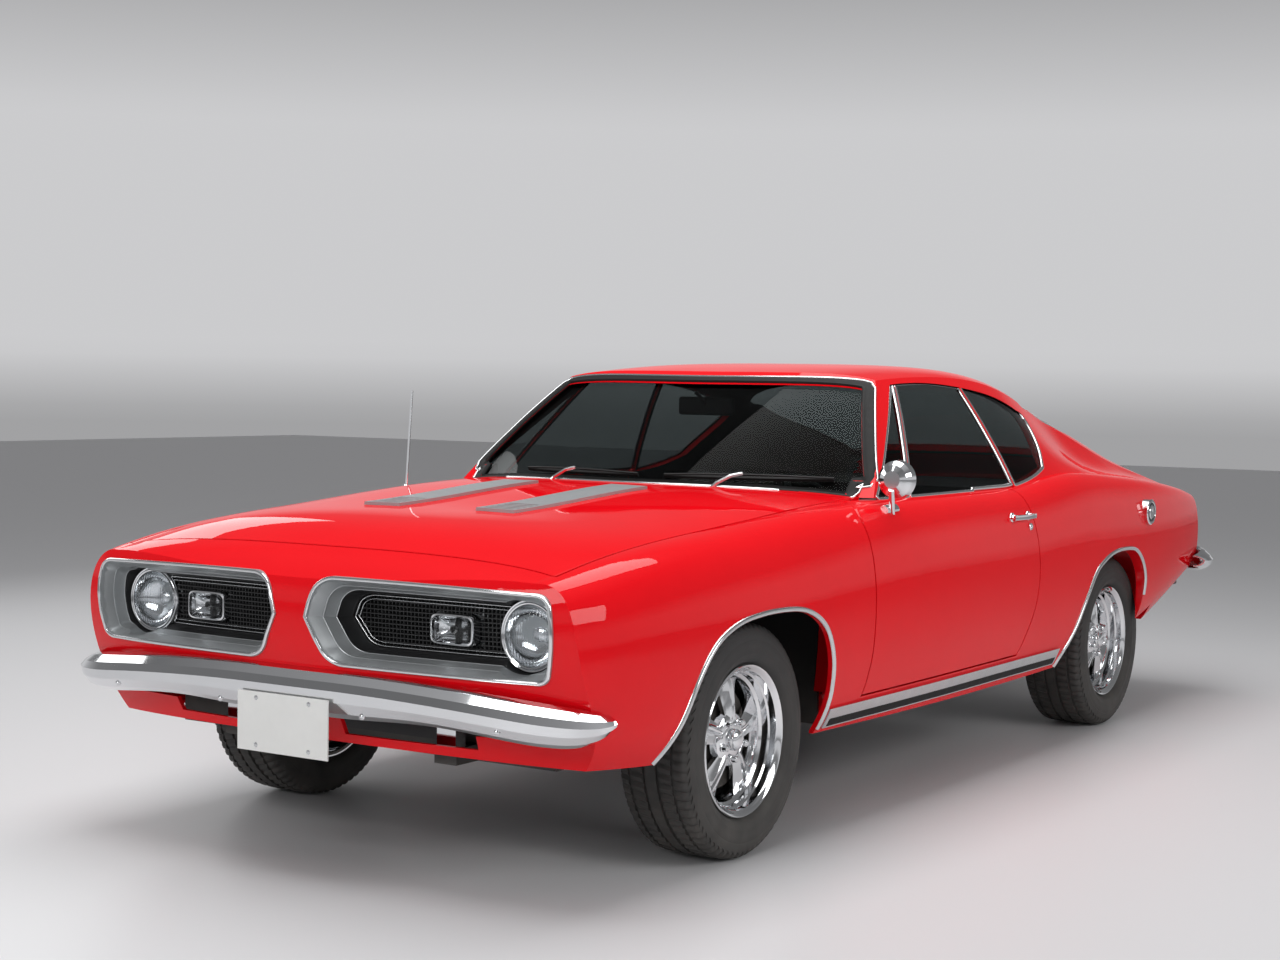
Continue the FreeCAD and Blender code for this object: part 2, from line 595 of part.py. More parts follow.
# Wheels and tyres
FRONT_TYRE_WIDTH = 225.0
REAR_TYRE_WIDTH = 235.0
RIM_WIDTH = 200.0
RIM_LIP_RADIUS = 206.0
RIM_SEAT_RADIUS = 190.0
RIM_WELL_RADIUS = 166.0
RIM_WALL = 7.0
RIM_LIP = 9.0
RIM_BED_SHARE = 0.60
RIM_WELL_SHARES = (-0.75, 0.30, 0.72)
RIM_INSIDE_SHARES = (-1.04, -0.80, 0.34, 0.76)
SPOKE_PLANE = 34.0
SPOKE_DISH = 24.0
SPOKE_DISH_SHARES = (0.3, 0.2)
SPOKE_KNEE_SHARE = 0.80
HUB_FLARE_SHARE = 1.08
SPOKE_WINDOW_SHARES = (1.20, 1.6)
SPOKE_WALL = 16.0
SPOKE_COUNT = 5
SPOKE_WIDTH = 58.0
HUB_RADIUS = 74.0
HUB_PROUD = 14.0
CAP_RADIUS = 30.0
CAP_HEIGHT = 26.0
DRUM_RADIUS = 138.0
DRUM_WIDTH = 58.0
BORE_RADIUS = 20.0
BEARING_CLEARANCE = 0.4
TYRE_SHARES = [(-0.37, 0.612), (-0.47, 0.655), (-0.50, 0.74), (-0.495, 0.84), (-0.455, 0.925), (-0.40, 0.970),
               (-0.33, 0.990), (-0.17, 0.998), (0.0, 1.0)]
TYRE_WALL_SHARES = [(0.0, 0.945), (-0.34, 0.93), (-0.40, 0.86), (-0.43, 0.76), (-0.40, 0.66), (-0.32, 0.612)]

# Steering and front suspension
KINGPIN_X = 650.0
KNUCKLE_TOP_Z = 420.0
KNUCKLE_LOW_Z = 228.0
KNUCKLE_RADIUS = 17.0
SPINDLE_TIP = 26.0
STEERING_ARM = 100.0
STEERING_ARM_Z = 262.0
ARM_RADIUS = 12.0
STEER_SEAT = 0.4
BACKING_RADIUS = 128.0
BACKING_WALL = 4.0
BACKING_GAP = 6.0
ROD_RADIUS = 11.0
RAIL_X = 360.0
RAIL_WIDTH = 70.0
RAIL_HEIGHT = 84.0
RAIL_Z = 262.0
RAIL_FRONT_Y = -2240.0
RAIL_RISE_Y = -1900.0
RAIL_RISE_Z = 304.0
CROSS_LENGTH = 150.0
CROSS_Z = 200.0
APRON_X = 405.0
APRON_WALL = 7.0
APRON_FRONT_Y = -2140.0
APRON_TOP_Z = 700.0
SPRING_X = 500.0
SPRING_RADIUS = 50.0
SPRING_WIRE = 8.0
SPRING_TURNS = 6
SPRING_LOW_Z = 262.0
SPRING_TOP_Z = 600.0
LOWER_ARM_Z = 232.0
UPPER_ARM_Z = 418.0
UPPER_ARM_X = 430.0
WISHBONE_HALF = 68.0
WISHBONE_ROOT_SHARE = 0.8
WISHBONE_RADIUS = 13.0
BALL_RADIUS = 26.0
BALL_HEIGHT = 14.0
TOWER_LENGTH = 120.0
TOWER_WALL = 20.0
RADIATOR_Y = -2150.0
RADIATOR_WIDTH = 660.0
RADIATOR_DEPTH = 50.0
RADIATOR_LOW_Z = 350.0
RADIATOR_TOP_Z = 745.0
SUPPORT_WALL = 30.0
SUPPORT_HALF = 640.0
HOOD_REST_X = 540.0
HOOD_REST_SIZE = 50.0

# Power train and running gear
ENGINE_WIDTH = 580.0
ENGINE_LENGTH = 690.0
ENGINE_HEIGHT = 520.0
ENGINE_REAR_Y = -1090.0
GEARBOX_LENGTH = 560.0
GEARBOX_WIDTH = 300.0
GEARBOX_TAIL_WIDTH = 150.0
GEARBOX_TOP_SHARE = 0.38
SHAFT_RADIUS = 36.0
SHAFT_Z = 318.0
AXLE_TUBE_RADIUS = 38.0
AXLE_DRUM_GAP = 6.0
DIFFERENTIAL_RADIUS = 128.0
DIFFERENTIAL_CURVE_SHARE = 0.92
LEAF_X = 500.0
LEAF_WIDTH = 60.0
LEAF_WALL = 22.0
LEAF_FRONT_Y = 790.0
LEAF_REAR_Y = 1890.0
LEAF_EYE_RADIUS = 24.0
LEAF_EYE_Z = 330.0
EXHAUST_X = 250.0
EXHAUST_Z = 205.0
EXHAUST_RADIUS = 28.0
EXHAUST_WALL = 3.0
EXHAUST_FRONT_Y = -1250.0
EXHAUST_REAR_Y = 2300.0
MUFFLER_RADIUS = 70.0
MUFFLER_LENGTH = 480.0
MUFFLER_Y = 300.0
TANK_WIDTH = 820.0
TANK_LENGTH = 420.0
TANK_Y = 1700.0
TANK_LOW_Z = 245.0

# Floor, firewall and cabin
FLOOR_Z = 272.0
FLOOR_WALL = 10.0
BULKHEAD_WALL = 12.0
KICK_Y = 720.0
REAR_FLOOR_Z = 455.0
FLOOR_REAR_Y = 2330.0
TUNNEL_HALF = 170.0
TUNNEL_HEIGHT = 120.0
TUNNEL_TOP_SHARE = 0.90
SHELF_Z = 872.0
SHELF_FRONT_Y = 1020.0
SHELF_REAR_Y = 1790.0
DASH_HALF = 682.0
DASH_SHARES = [(-0.3799, 0.668), (-0.300, 0.674), (-0.262, 0.668), (-0.248, 0.640), (-0.252, 0.560),
               (-0.275, 0.500), (-0.300, 0.470), (-0.3799, 0.470)]
WHEEL_X = 360.0
WHEEL_Y = -430.0
WHEEL_Z = 800.0
WHEEL_RADIUS = 186.0
WHEEL_RIM_RADIUS = 11.0
WHEEL_TILT = 22.0
COLUMN_RADIUS = 24.0
COLUMN_GAP = 0.5
WHEEL_DISH = 60.0
WHEEL_BOSS_RADIUS = 38.0
WHEEL_SPOKE_RADIUS = 9.0
COLUMN_LENGTH = 300.0
SEAT_X = 415.0
SEAT_WIDTH = 480.0
SEAT_SHARES = [(-0.130, 0.262), (-0.135, 0.335), (-0.115, 0.362), (0.040, 0.345), (0.070, 0.400), (0.125, 0.640),
               (0.140, 0.668), (0.170, 0.660), (0.168, 0.600), (0.115, 0.330), (0.098, 0.262)]
SEAT_RUNNER_IN = 40.0
SEAT_RUNNER_WIDTH = 40.0
REAR_SEAT_WIDTH = 1060.0
REAR_SEAT_SHARES = [(0.3000, 0.3474), (0.2990, 0.3530), (0.246, 0.3560), (0.243, 0.398), (0.256, 0.415),
                    (0.362, 0.394), (0.392, 0.600), (0.400, 0.6420), (0.4155, 0.6420), (0.4155, 0.3474)]

# Trim
LOUVRE_X = 198.0
LOUVRE_WIDTH = 128.0
LOUVRE_FRONT_Y = -1832.0
LOUVRE_REAR_Y = -1172.0
LOUVRE_PROUD = 9.0
LOUVRE_SLATS = 5
LOUVRE_SLAT = 14.0
MIRROR_Y = -760.0
MIRROR_X = 868.0
MIRROR_Z = 992.0
MIRROR_RADIUS = 58.0
MIRROR_DEPTH = 46.0
MIRROR_STALK = 9.0
MIRROR_RIM = 5.0
MIRROR_HEAD_SHARES = (0.45, 0.75, 0.95)
MIRROR_SHOULDER_SHARE = 0.6
DOOR_TOP_Z = CAR_HEIGHT * DOOR_TOP_SHARES[0][1]
AERIAL_X = -782.0
AERIAL_Y = -1020.0
AERIAL_BASE_Z = 860.0
AERIAL_RADIUS = 4.0
AERIAL_HEIGHT = 370.0
AERIAL_LEAN = 30.0
AERIAL_BOOT = 60.0
WIPER_PIVOTS = (330.0, -240.0)
WIPER_RADIUS = 6.0
WIPER_REACH = 480.0
WIPER_OUT_SHARE = 0.35
WIPER_RISE = 0.07
WIPER_POST = 40.0
FILLER_Y = 1430.0
FILLER_Z = 797.0
FILLER_X = 884.0
FILLER_RADIUS = 48.0
SILL_FRONT_Y = -1150.0
SILL_REAR_Y = 560.0
SILL_LOW_Z = 300.0
SILL_TOP_Z = 358.0
SILL_PROUD = 7.0
TAIL_LAMP_IN_X = 330.0
TAIL_LAMP_OUT_X = 700.0
TAIL_LAMP_LOW_Z = 668.0
TAIL_LAMP_TOP_Z = 770.0
TAIL_LAMP_PROUD = 6.0

def mirrored_plan(half):
    """Strokes of a whole plan outline from those of its left half, drawn from the middle round."""
    return half + [[(-x, y) for x, y in reversed(stroke)] for stroke in reversed(half)]


def grown(strokes, amount):
    """Outline strokes moved outwards by an amount, corners mitred; a negative amount shrinks them."""
    loop = [point for stroke in strokes for point in stroke[:-1]]
    count = len(loop)
    area = sum(loop[i - 1][0] * loop[i][1] - loop[i][0] * loop[i - 1][1] for i in range(count))
    sense = amount if area > 0 else -amount
    moved = []
    for i in range(count):
        (x0, y0), (x1, y1), (x2, y2) = loop[i - 1], loop[i], loop[(i + 1) % count]
        into = V(x1 - x0, y1 - y0, 0).normalize()
        out = V(x2 - x1, y2 - y1, 0).normalize()
        share = sense / (1 + into.dot(out))
        moved.append((x1 + share * (into.y + out.y), y1 - share * (into.x + out.x)))
    result = []
    start = 0
    for stroke in strokes:
        end = start + len(stroke) - 1
        result.append([moved[k % count] for k in range(start, end + 1)])
        start = end
    return result


def door_strokes():
    strokes = [body_yz(stroke) for stroke in (DOOR_FRONT_SHARES, DOOR_SHOULDER_SHARES,
                                              DOOR_TOP_SHARES, DOOR_REAR_SHARES)]
    return strokes + [[strokes[-1][-1], strokes[0][0]]]


def window_strokes():
    return [body_yz(stroke) for stroke in (WINDOW_FRONT_SHARES, WINDOW_TOP_SHARES, WINDOW_REAR_SHARES,
                                           WINDOW_LOW_SHARES, WINDOW_SILL_SHARES)]


def door_block(growth=0.0):
    """Slanted prism through the left flank: the door, or its hole when grown by the panel gap."""
    inner_x = CABIN_HALF_WIDTH - OVERRUN
    lag = DOOR_SHEAR_SHARE * (inner_x - DOOR_HINGE_X)
    strokes = [[(y + lag, z) for y, z in stroke] for stroke in grown(door_strokes(), growth)]
    return side_prism(strokes, inner_x, HALF_WIDTH + OVERRUN, DOOR_SHEAR_SHARE)


def window_block(growth=0.0):
    return side_prism(grown(window_strokes(), growth), HALF_WIDTH / 2, HALF_WIDTH + OVERRUN)


def bar_block(ends, ahead, behind):
    """Prism across the left flank along a slanted bar, reaching ahead of and behind its line."""
    (y0, z0), (y1, z1) = body_yz(ends)
    corners = [(y0 - ahead, z0), (y0 + behind, z0), (y1 + behind, z1), (y1 - ahead, z1)]
    return side_prism([corners[0:2], corners[1:3], corners[2:4], [corners[3], corners[0]]],
                      HALF_WIDTH / 2, HALF_WIDTH + OVERRUN)


def screen_bow(x):
    """Places along Y of the windshield's lower and upper edge at one distance from the middle."""
    turn = (x / SCREEN_BASE_X) ** 2
    base = SCREEN_BASE_Y + SCREEN_BASE_BEND * turn * (1 - SCREEN_TURN_SHARE * turn ** 3)
    top = SCREEN_TOP_Y + SCREEN_TOP_BEND * (x / SCREEN_TOP_X) ** 2
    return base, top


def screen_sheet():
    """Curved outer face of the windshield, wider and taller than the opening."""
    grid = []
    for i in range(-SCREEN_STATIONS, SCREEN_STATIONS + 1):
        x = i / SCREEN_STATIONS * (HALF_WIDTH + OVERRUN)
        base, top = screen_bow(x)
        row = []
        for rise in SCREEN_RISE_SHARES:
            bulge = SCREEN_BULGE * 4 * rise * (1 - rise)
            row.append(V(x, base + rise * (top - base) - bulge,
                         SCREEN_BASE_Z + rise * (SCREEN_TOP_Z - SCREEN_BASE_Z)))
        grid.append(row)
    surface = Part.BSplineSurface()
    surface.interpolate(grid)
    return surface.toShape()


def arch_block(shares, axle_y):
    points = [scaled(stroke, TYRE_RADIUS, TYRE_RADIUS, axle_y) for stroke in shares]
    return side_prism(points, CABIN_HALF_WIDTH - OVERRUN, HALF_WIDTH + OVERRUN)


class Body:
    """Volumes, skins and openings that the panels are cut from."""

    def __init__(self):
        nose, nose_inside = face_block(-1), face_block(-1, SKIN_WALL)
        tail, tail_inside = face_block(1), face_block(1, SKIN_WALL)
        self.front = body_volume("front").common(nose)
        self.front_inside = body_volume("front", SKIN_WALL, SKIN_WALL).common(nose_inside)
        self.front_skin = self.front.cut(self.front_inside)
        self.rear = body_volume("rear").common(tail)
        cabin = block(-CABIN_HALF_WIDTH, CABIN_HALF_WIDTH, -HALF_LENGTH, TAIL_END + OVERRUN,
                      -OVERRUN * 2, CAR_HEIGHT)
        self.rear_inside = body_volume("rear", SKIN_WALL, ROOF_WALL).common(cabin).common(tail_inside)
        self.door_hole = door_block(PANEL_GAP)
        self.window_hole = window_block()
        self.glass_band = body_volume("rear", GLASS_INSET, GLASS_INSET).cut(
            body_volume("rear", GLASS_INSET + GLASS_WALL, GLASS_INSET + GLASS_WALL))
        self.bar_band = body_volume("rear", BAR_INSET, BAR_INSET).cut(
            body_volume("rear", BAR_INSET + BAR_WALL, BAR_INSET + BAR_WALL))
        self.deck_floor = body_volume("rear", SKIN_WALL, LID_WALL)


def plan_block(shares, z0, growth=0.0):
    """Upright prism of a plan outline, from a level up past the roof."""
    strokes = grown(mirrored_plan([body_xy(stroke) for stroke in shares]), growth)
    return plan_prism(strokes, z0, CAR_HEIGHT + OVERRUN)


def screen_ahead():
    """All that lies ahead of the windshield's outer face."""
    return screen_sheet().extrude(V(0, -HALF_LENGTH, 0))


def screen_behind():
    return screen_sheet().extrude(V(0, HALF_LENGTH, 0))


def side_half(y0, y1, z0, z1, x0=0.0):
    return block(x0, HALF_WIDTH + OVERRUN, y0, y1, z0, z1)


def build_front_panels(body):
    hood_hole = plan_block(HOOD_SHARES, HOOD_LOW_Z, PANEL_GAP)
    hood = body.front_skin.common(plan_block(HOOD_SHARES, HOOD_LOW_Z))
    save("hood", hood)

    frame = front_prism(grown([body_xz(stroke) for stroke in GRILLE_SHARES], GRILLE_FRAME_WALL),
                        NOSE_END, NOSE_BACK_Y)
    frames = both_sides(frame)
    arms = both_sides(bumper_arm(-1))
    door_front = body_yz(DOOR_FRONT_SHARES)[0]
    valance_zone = block(-VALANCE_SEAM_X, VALANCE_SEAM_X, NOSE_END, NOSE_BACK_Y, 0, VALANCE_SEAM_Z)
    nose_zone = block(-NOSE_SEAM_X, NOSE_SEAM_X, NOSE_END, NOSE_BACK_Y, VALANCE_SEAM_Z, SKY)
    save("nose_panel", body.front_skin.common(nose_zone).cut([hood_hole] + frames + arms))
    corners = body_xz(VALANCE_SLOT_SHARES)
    slot = front_prism([[corners[k], corners[(k + 1) % len(corners)]] for k in range(len(corners))],
                       NOSE_END, NOSE_BACK_Y)
    save("front_valance", body.front_skin.common(valance_zone).cut(arms + both_sides(slot)))

    fender = body.front_skin.common(side_half(NOSE_END, SCREEN_BASE_Y / 2, 0, SKY, NOSE_SEAM_X))
    fender = fender.cut([hood_hole, frame, valance_zone, body.door_hole,
                         arch_block(ARCH_FRONT_SHARES, FRONT_AXLE_Y),
                         side_half(BULKHEAD_Y, 0, 0, door_front[1] + OVERRUN),
                         block(0, HOOD_SIDE_X, HOOD_REAR_Y, 0, 0, SKY),
                         block(0, HALF_WIDTH, DOOR_TOP_Y, 0, 0, SKY)])
    save("fender_left", fender)
    save("fender_right", mirrored(fender))

    cowl_zone = block(-HOOD_SIDE_X, HOOD_SIDE_X, BULKHEAD_Y - COWL_REACH, 0, COWL_LOW_Z, SKY)
    cowl = body.front_skin.common(cowl_zone)
    cowl = cowl.cut([hood_hole, screen_behind()])
    save("cowl_panel", cowl)
    bulkhead = block(-BULKHEAD_HALF, BULKHEAD_HALF, BULKHEAD_Y, BULKHEAD_Y + BULKHEAD_WALL,
                     FLOOR_Z + FLOOR_WALL, SKY)
    save("bulkhead", bulkhead.cut(tunnel_block(FLOOR_WALL)).common(body.front_inside))
    return cowl


def build_shell(body, cowl):
    floor_top = FLOOR_Z + FLOOR_WALL
    post_front = BULKHEAD_Y + BULKHEAD_WALL
    post = block(POST_IN_X, BULKHEAD_HALF, post_front, POST_REAR_Y, floor_top, POST_TOP_Z)
    foot = block(POST_IN_X, POST_FOOT_X, post_front, POST_REAR_Y, floor_top, POST_FOOT_Z)
    crown = block(POST_IN_X, CABIN_HALF_WIDTH, POST_CROWN_Y, POST_REAR_Y, POST_TOP_Z - OVERRUN, POST_CROWN_Z)
    crown = crown.common(body.rear).cut([screen_ahead(), cowl, body.front_skin, body.door_hole])
    post = fused([post.cut(body.front_skin), foot, crown])
    shell = body.rear.cut(body.rear_inside)
    jamb_pad = door_block(PANEL_GAP).cut(door_block(TOUCH_GAP)).common(
        block(JAMB_PAD_X, JAMB_PAD_X + JAMB_PAD_SIZE, 0, HALF_LENGTH, JAMB_PAD_Z, JAMB_PAD_Z + JAMB_PAD_SIZE))
    glass_rest = body_volume("rear", GLASS_REST, GLASS_REST)
    rebate = plan_block(REAR_GLASS_SHARES, REAR_GLASS_LOW_Z, GLASS_REBATE).cut(glass_rest)
    rear_bar = body.bar_band.common(bar_block(REAR_BAR_SHARES, BAR_WIDTH / 2, BAR_WIDTH / 2))
    rear_bar = rear_bar.common(window_block(BAR_WALL))
    well = cylinder(V(WHEEL_WELL_IN_X, REAR_AXLE_Y, TYRE_RADIUS),
                    V(WHEEL_WELL_OUT_X, REAR_AXLE_Y, TYRE_RADIUS), WHEEL_WELL_RADIUS)
    well = well.fuse(block(WHEEL_WELL_IN_X, WHEEL_WELL_OUT_X, REAR_AXLE_Y - WHEEL_WELL_RADIUS,
                           REAR_AXLE_Y + WHEEL_WELL_RADIUS, 0, TYRE_RADIUS))
    side_hole = fused([body.door_hole, body.window_hole])
    wheel_hole = fused([well, arch_block(ARCH_REAR_SHARES, REAR_AXLE_Y)])
    shell = shell.cut(block(-HALF_WIDTH - OVERRUN, HALF_WIDTH + OVERRUN, NOSE_END, BULKHEAD_Y, 0, SKY))
    for hole in (screen_ahead(), side_hole, mirrored(side_hole), wheel_hole, mirrored(wheel_hole), rebate,
                 plan_block(REAR_GLASS_SHARES, REAR_GLASS_LOW_Z),
                 plan_block(TRUNK_SHARES, TRUNK_LOW_Z, PANEL_GAP), both_sides(bumper_arm(1))):
        shell = shell.cut(hole)
    latch = block(-LATCH_HALF, LATCH_HALF, TAIL_Y - LATCH_REACH, TAIL_Y - TAIL_SWEEP / 2, LATCH_LOW_Z, SKY)
    latch = latch.common(body.deck_floor)
    latch.translate(V(0, 0, -TOUCH_GAP))
    pieces = [shell, latch]
    for piece in (post, rear_bar, jamb_pad):
        pieces += both_sides(piece)
    save("body_shell", fused(pieces))

    pane = plan_block(REAR_GLASS_SHARES, REAR_GLASS_LOW_Z, GLASS_REBATE - TOUCH_GAP)
    save("rear_glass", pane.common(body.glass_band))
    lid = body.rear.cut(body.deck_floor).common(plan_block(TRUNK_SHARES, TRUNK_LOW_Z))
    save("trunk_lid", lid)

    screen = screen_sheet()
    screen.translate(V(0, GLASS_INSET, -GLASS_INSET))
    slab = screen.extrude(V(0, GLASS_WALL / 2, -GLASS_WALL))
    slab = slab.common(body.rear_inside).cut([body.front] + both_sides(post))
    save("windshield", slab)
    return slab


def build_doors(body):
    flank = side_half(BULKHEAD_Y * 2, HALF_LENGTH / 2, 0, SKY, CABIN_HALF_WIDTH)
    door = body.rear.common(door_block()).common(flank)
    low = side_half(DOOR_FRONT_Y, HALF_LENGTH, 0, body_yz(DOOR_TOP_SHARES)[0][1], HALF_WIDTH / 2)
    behind_bar = bar_block(REAR_BAR_SHARES, BAR_WIDTH / 2 + WINDOW_CLEARANCE, HALF_LENGTH)
    vent_bar = bar_block(VENT_BAR_SHARES, BAR_WIDTH / 2, BAR_WIDTH / 2)
    sill = block(HALF_WIDTH / 2, HALF_WIDTH, DOOR_FRONT_Y, HALF_LENGTH, body_yz(DOOR_TOP_SHARES)[0][1] - PANEL_GAP,
                 body_yz(DOOR_TOP_SHARES)[0][1] + WINDOW_CLEARANCE)
    tall_zone = window_block(-WINDOW_CLEARANCE).fuse(
        sill.common(block(0, HALF_WIDTH, body_yz(WINDOW_FRONT_SHARES)[0][0] + OVERRUN / 2, 0, 0, SKY)))
    bar = body.bar_band.common(vent_bar).common(tall_zone)
    door = fused([door, bar])
    save("door_left", door)
    save("door_right", mirrored(door))
    panes = body.glass_band.common(tall_zone.cut(low)).cut([behind_bar, vent_bar])
    save("door_glass_left", panes)
    save("door_glass_right", mirrored(panes))
    quarter = bar_block(REAR_BAR_SHARES, -BAR_WIDTH / 2, HALF_LENGTH)
    quarter = body.glass_band.common(window_block(-TOUCH_GAP)).common(quarter)
    save("quarter_glass", *both_sides(quarter))


def bumper_arm(end):
    """Bracket that carries a bumper: end -1 on the front rail, end 1 on the rear floor."""
    level = FRONT_BUMPER_Z if end < 0 else REAR_BUMPER_Z
    foot = RAIL_Z + RAIL_HEIGHT if end < 0 else REAR_FLOOR_Z + FLOOR_WALL
    half_height = BUMPER_ARM_HEIGHT / 2
    x0, x1 = BUMPER_ARM_X, BUMPER_ARM_X + BUMPER_ARM_WIDTH
    tip = HALF_LENGTH - BUMPER_ARM_TIP
    back = tip - BUMPER_ARM_REACH
    bar = block(x0, x1, min(end * tip, end * back), max(end * tip, end * back),
                level - half_height, level + half_height)
    pad = tip - BUMPER_PAD
    low = level - (BUMPER_HEIGHT - BUMPER_WALL) / 2
    bar = bar.fuse(block(x0, x1, min(end * tip, end * pad), max(end * tip, end * pad), low, level))
    near = back + BUMPER_ARM_HEIGHT
    drop = block(x0, x1, min(end * near, end * back), max(end * near, end * back), foot, level)
    return bar.fuse(drop)


def bumper(plan, level, end):
    """Pressed bumper blade: a channel section lofted along its plan curve."""
    half = [(HALF_WIDTH * x, HALF_LENGTH * y, BUMPER_HEIGHT * rise, size) for x, y, rise, size in plan]
    points = [(-x, y, rise, size) for x, y, rise, size in reversed(half[1:])] + half
    wires = []
    for i, (x, y, rise, size) in enumerate(points):
        before, after = points[max(i - 1, 0)], points[min(i + 1, len(points) - 1)]
        along = V(after[0] - before[0], after[1] - before[1], 0).normalize()
        out = V(along.y, -along.x, 0) * (-end)
        dip = 0.0
        if end < 0:
            run = min(max((BUMPER_DIP_HALF + BUMPER_DIP_RUN - abs(x)) / BUMPER_DIP_RUN, 0.0), 1.0)
            dip = BUMPER_DIP * run * run * (3 - 2 * run)
        wires.append(bumper_section(V(x, y, level + rise), out, dip, size))
    return Part.makeLoft(wires, True)


def bumper_section(place, out, dip, size):
    """Closed channel outline at one place: a sloping upper face, a crease and a rolled lower face."""
    high = BUMPER_HEIGHT / 2 * size
    outer = scaled(BUMPER_SHARES, BUMPER_BULGE, high)
    inner = [(x - BUMPER_WALL, z - BUMPER_WALL * z / high) for x, z in outer[::-1]]
    points = outer + inner
    corners = [place + out * x + V(0, 0, z if z > 0 else z * (1 + dip / high)) for x, z in points]
    return Part.makePolygon(corners + [corners[0]])


def build_bumpers(body):
    for name, plan, level, end in (("front_bumper", FRONT_BUMPER_SHARES, FRONT_BUMPER_Z, -1),
                                   ("rear_bumper", REAR_BUMPER_SHARES, REAR_BUMPER_Z, 1)):
        hull = body_volume("front" if end < 0 else "rear", -TOUCH_GAP, -TOUCH_GAP)
        blade = bumper(plan, level, end).cut(hull.common(face_block(end, -TOUCH_GAP)))
        save(name, fused([blade] + both_sides(bumper_arm(end))))
    plates = []
    for end, low, depth, foot, top in ((-1, PLATE_FRONT_Z, PLATE_FRONT_DEPTH, PLATE_FRONT_FOOT, PLATE_FRONT_TOP),
                                       (1, PLATE_REAR_Z, PLATE_REAR_DEPTH, PLATE_REAR_FOOT, PLATE_REAR_TOP)):
        face = end * (HALF_LENGTH - depth)
        back = face - end * PLATE_WALL
        plate = block(-PLATE_WIDTH / 2, PLATE_WIDTH / 2, min(face, back), max(face, back),
                      low, low + PLATE_HEIGHT)
        deep = back - end * PLATE_BRACKET
        bracket = block(-BUMPER_ARM_WIDTH / 2, BUMPER_ARM_WIDTH / 2, min(deep, back), max(deep, back),
                        foot, top)
        middle = low + PLATE_HEIGHT / 2
        holes = [cylinder(V(x, face - OVERRUN / 2, middle + z), V(x, face + OVERRUN / 2, middle + z),
                          PLATE_HOLE_RADIUS)
                 for x in (-PLATE_HOLE_X, PLATE_HOLE_X) for z in (-PLATE_HOLE_Z, PLATE_HOLE_Z)]
        plates.append(plate.fuse(bracket.cut(body.front if end < 0 else body.rear)).cut(holes))
    save("number_plates", *plates)


def ring_prism(strokes, wall, y0, y1):
    """Hollow frame along Y around an outline; the wall lies outside the outline."""
    return front_prism(grown(strokes, wall), y0, y1).cut(front_prism(strokes, y0 - OVERRUN, y1 + OVERRUN))


def build_grilles():
    """Lamp-and-grille frames with their floors, and the egg-crate meshes inside them."""
    strokes = [body_xz(stroke) for stroke in GRILLE_SHARES]
    behind = face_block(-1, GRILLE_FRAME_DEPTH)
    tube = ring_prism(strokes, GRILLE_FRAME_WALL, NOSE_END, BUCKET_BACK_Y)
    lining = front_prism(strokes, NOSE_END, BUCKET_BACK_Y).common(face_block(-1))
    pocket = cylinder(V(LAMP_X, NOSE_END, LAMP_Z), V(LAMP_X, BUCKET_BACK_Y, LAMP_Z),
                      LAMP_RADIUS + LAMP_RING + LAMP_POCKET)
    lining = lining.cut(bucket_hollow(strokes)).cut(pocket)
    floor = front_prism(strokes, NOSE_END, BUCKET_BACK_Y).common(
        face_block(-1, GRILLE_FRAME_DEPTH - GRILLE_FLOOR_WALL))
    frame = fused([tube.common(face_block(-1, -GRILLE_FRAME_PROUD)), lining, floor]).cut(behind)
    save("grille_frames", *both_sides(frame))

    x0, x1 = strokes[0][0][0], MESH_END_X
    z0, z1 = strokes[6][0][1], strokes[2][0][1]
    bars = [upright_bar(x0 + (x1 - x0) * i / MESH_BARS_ACROSS, z0, z1) for i in range(1, MESH_BARS_ACROSS)]
    for i in range(1, MESH_BARS_UP):
        height = MESH_LINE if i * 2 == MESH_BARS_UP else MESH_BAR
        bars.append(level_bar(z0 + (z1 - z0) * i / MESH_BARS_UP, height, x0, x1))
    mesh = bars[0].multiFuse(bars[1:]).common(bucket_hollow(strokes, TOUCH_GAP))
    lamp_hole = cylinder(V(LAMP_X, NOSE_END, LAMP_Z), V(LAMP_X, BUCKET_BACK_Y, LAMP_Z),
                         LAMP_RADIUS + LAMP_RING)
    turn_hole = rounded_box(TURN_LAMP_X, LAMP_Z, TURN_LAMP_WIDTH, TURN_LAMP_HEIGHT, NOSE_END, BUCKET_BACK_Y)
    for hole in (lamp_hole, turn_hole):
        mesh = mesh.cut(hole)
    save("grille_mesh", *both_sides(mesh))


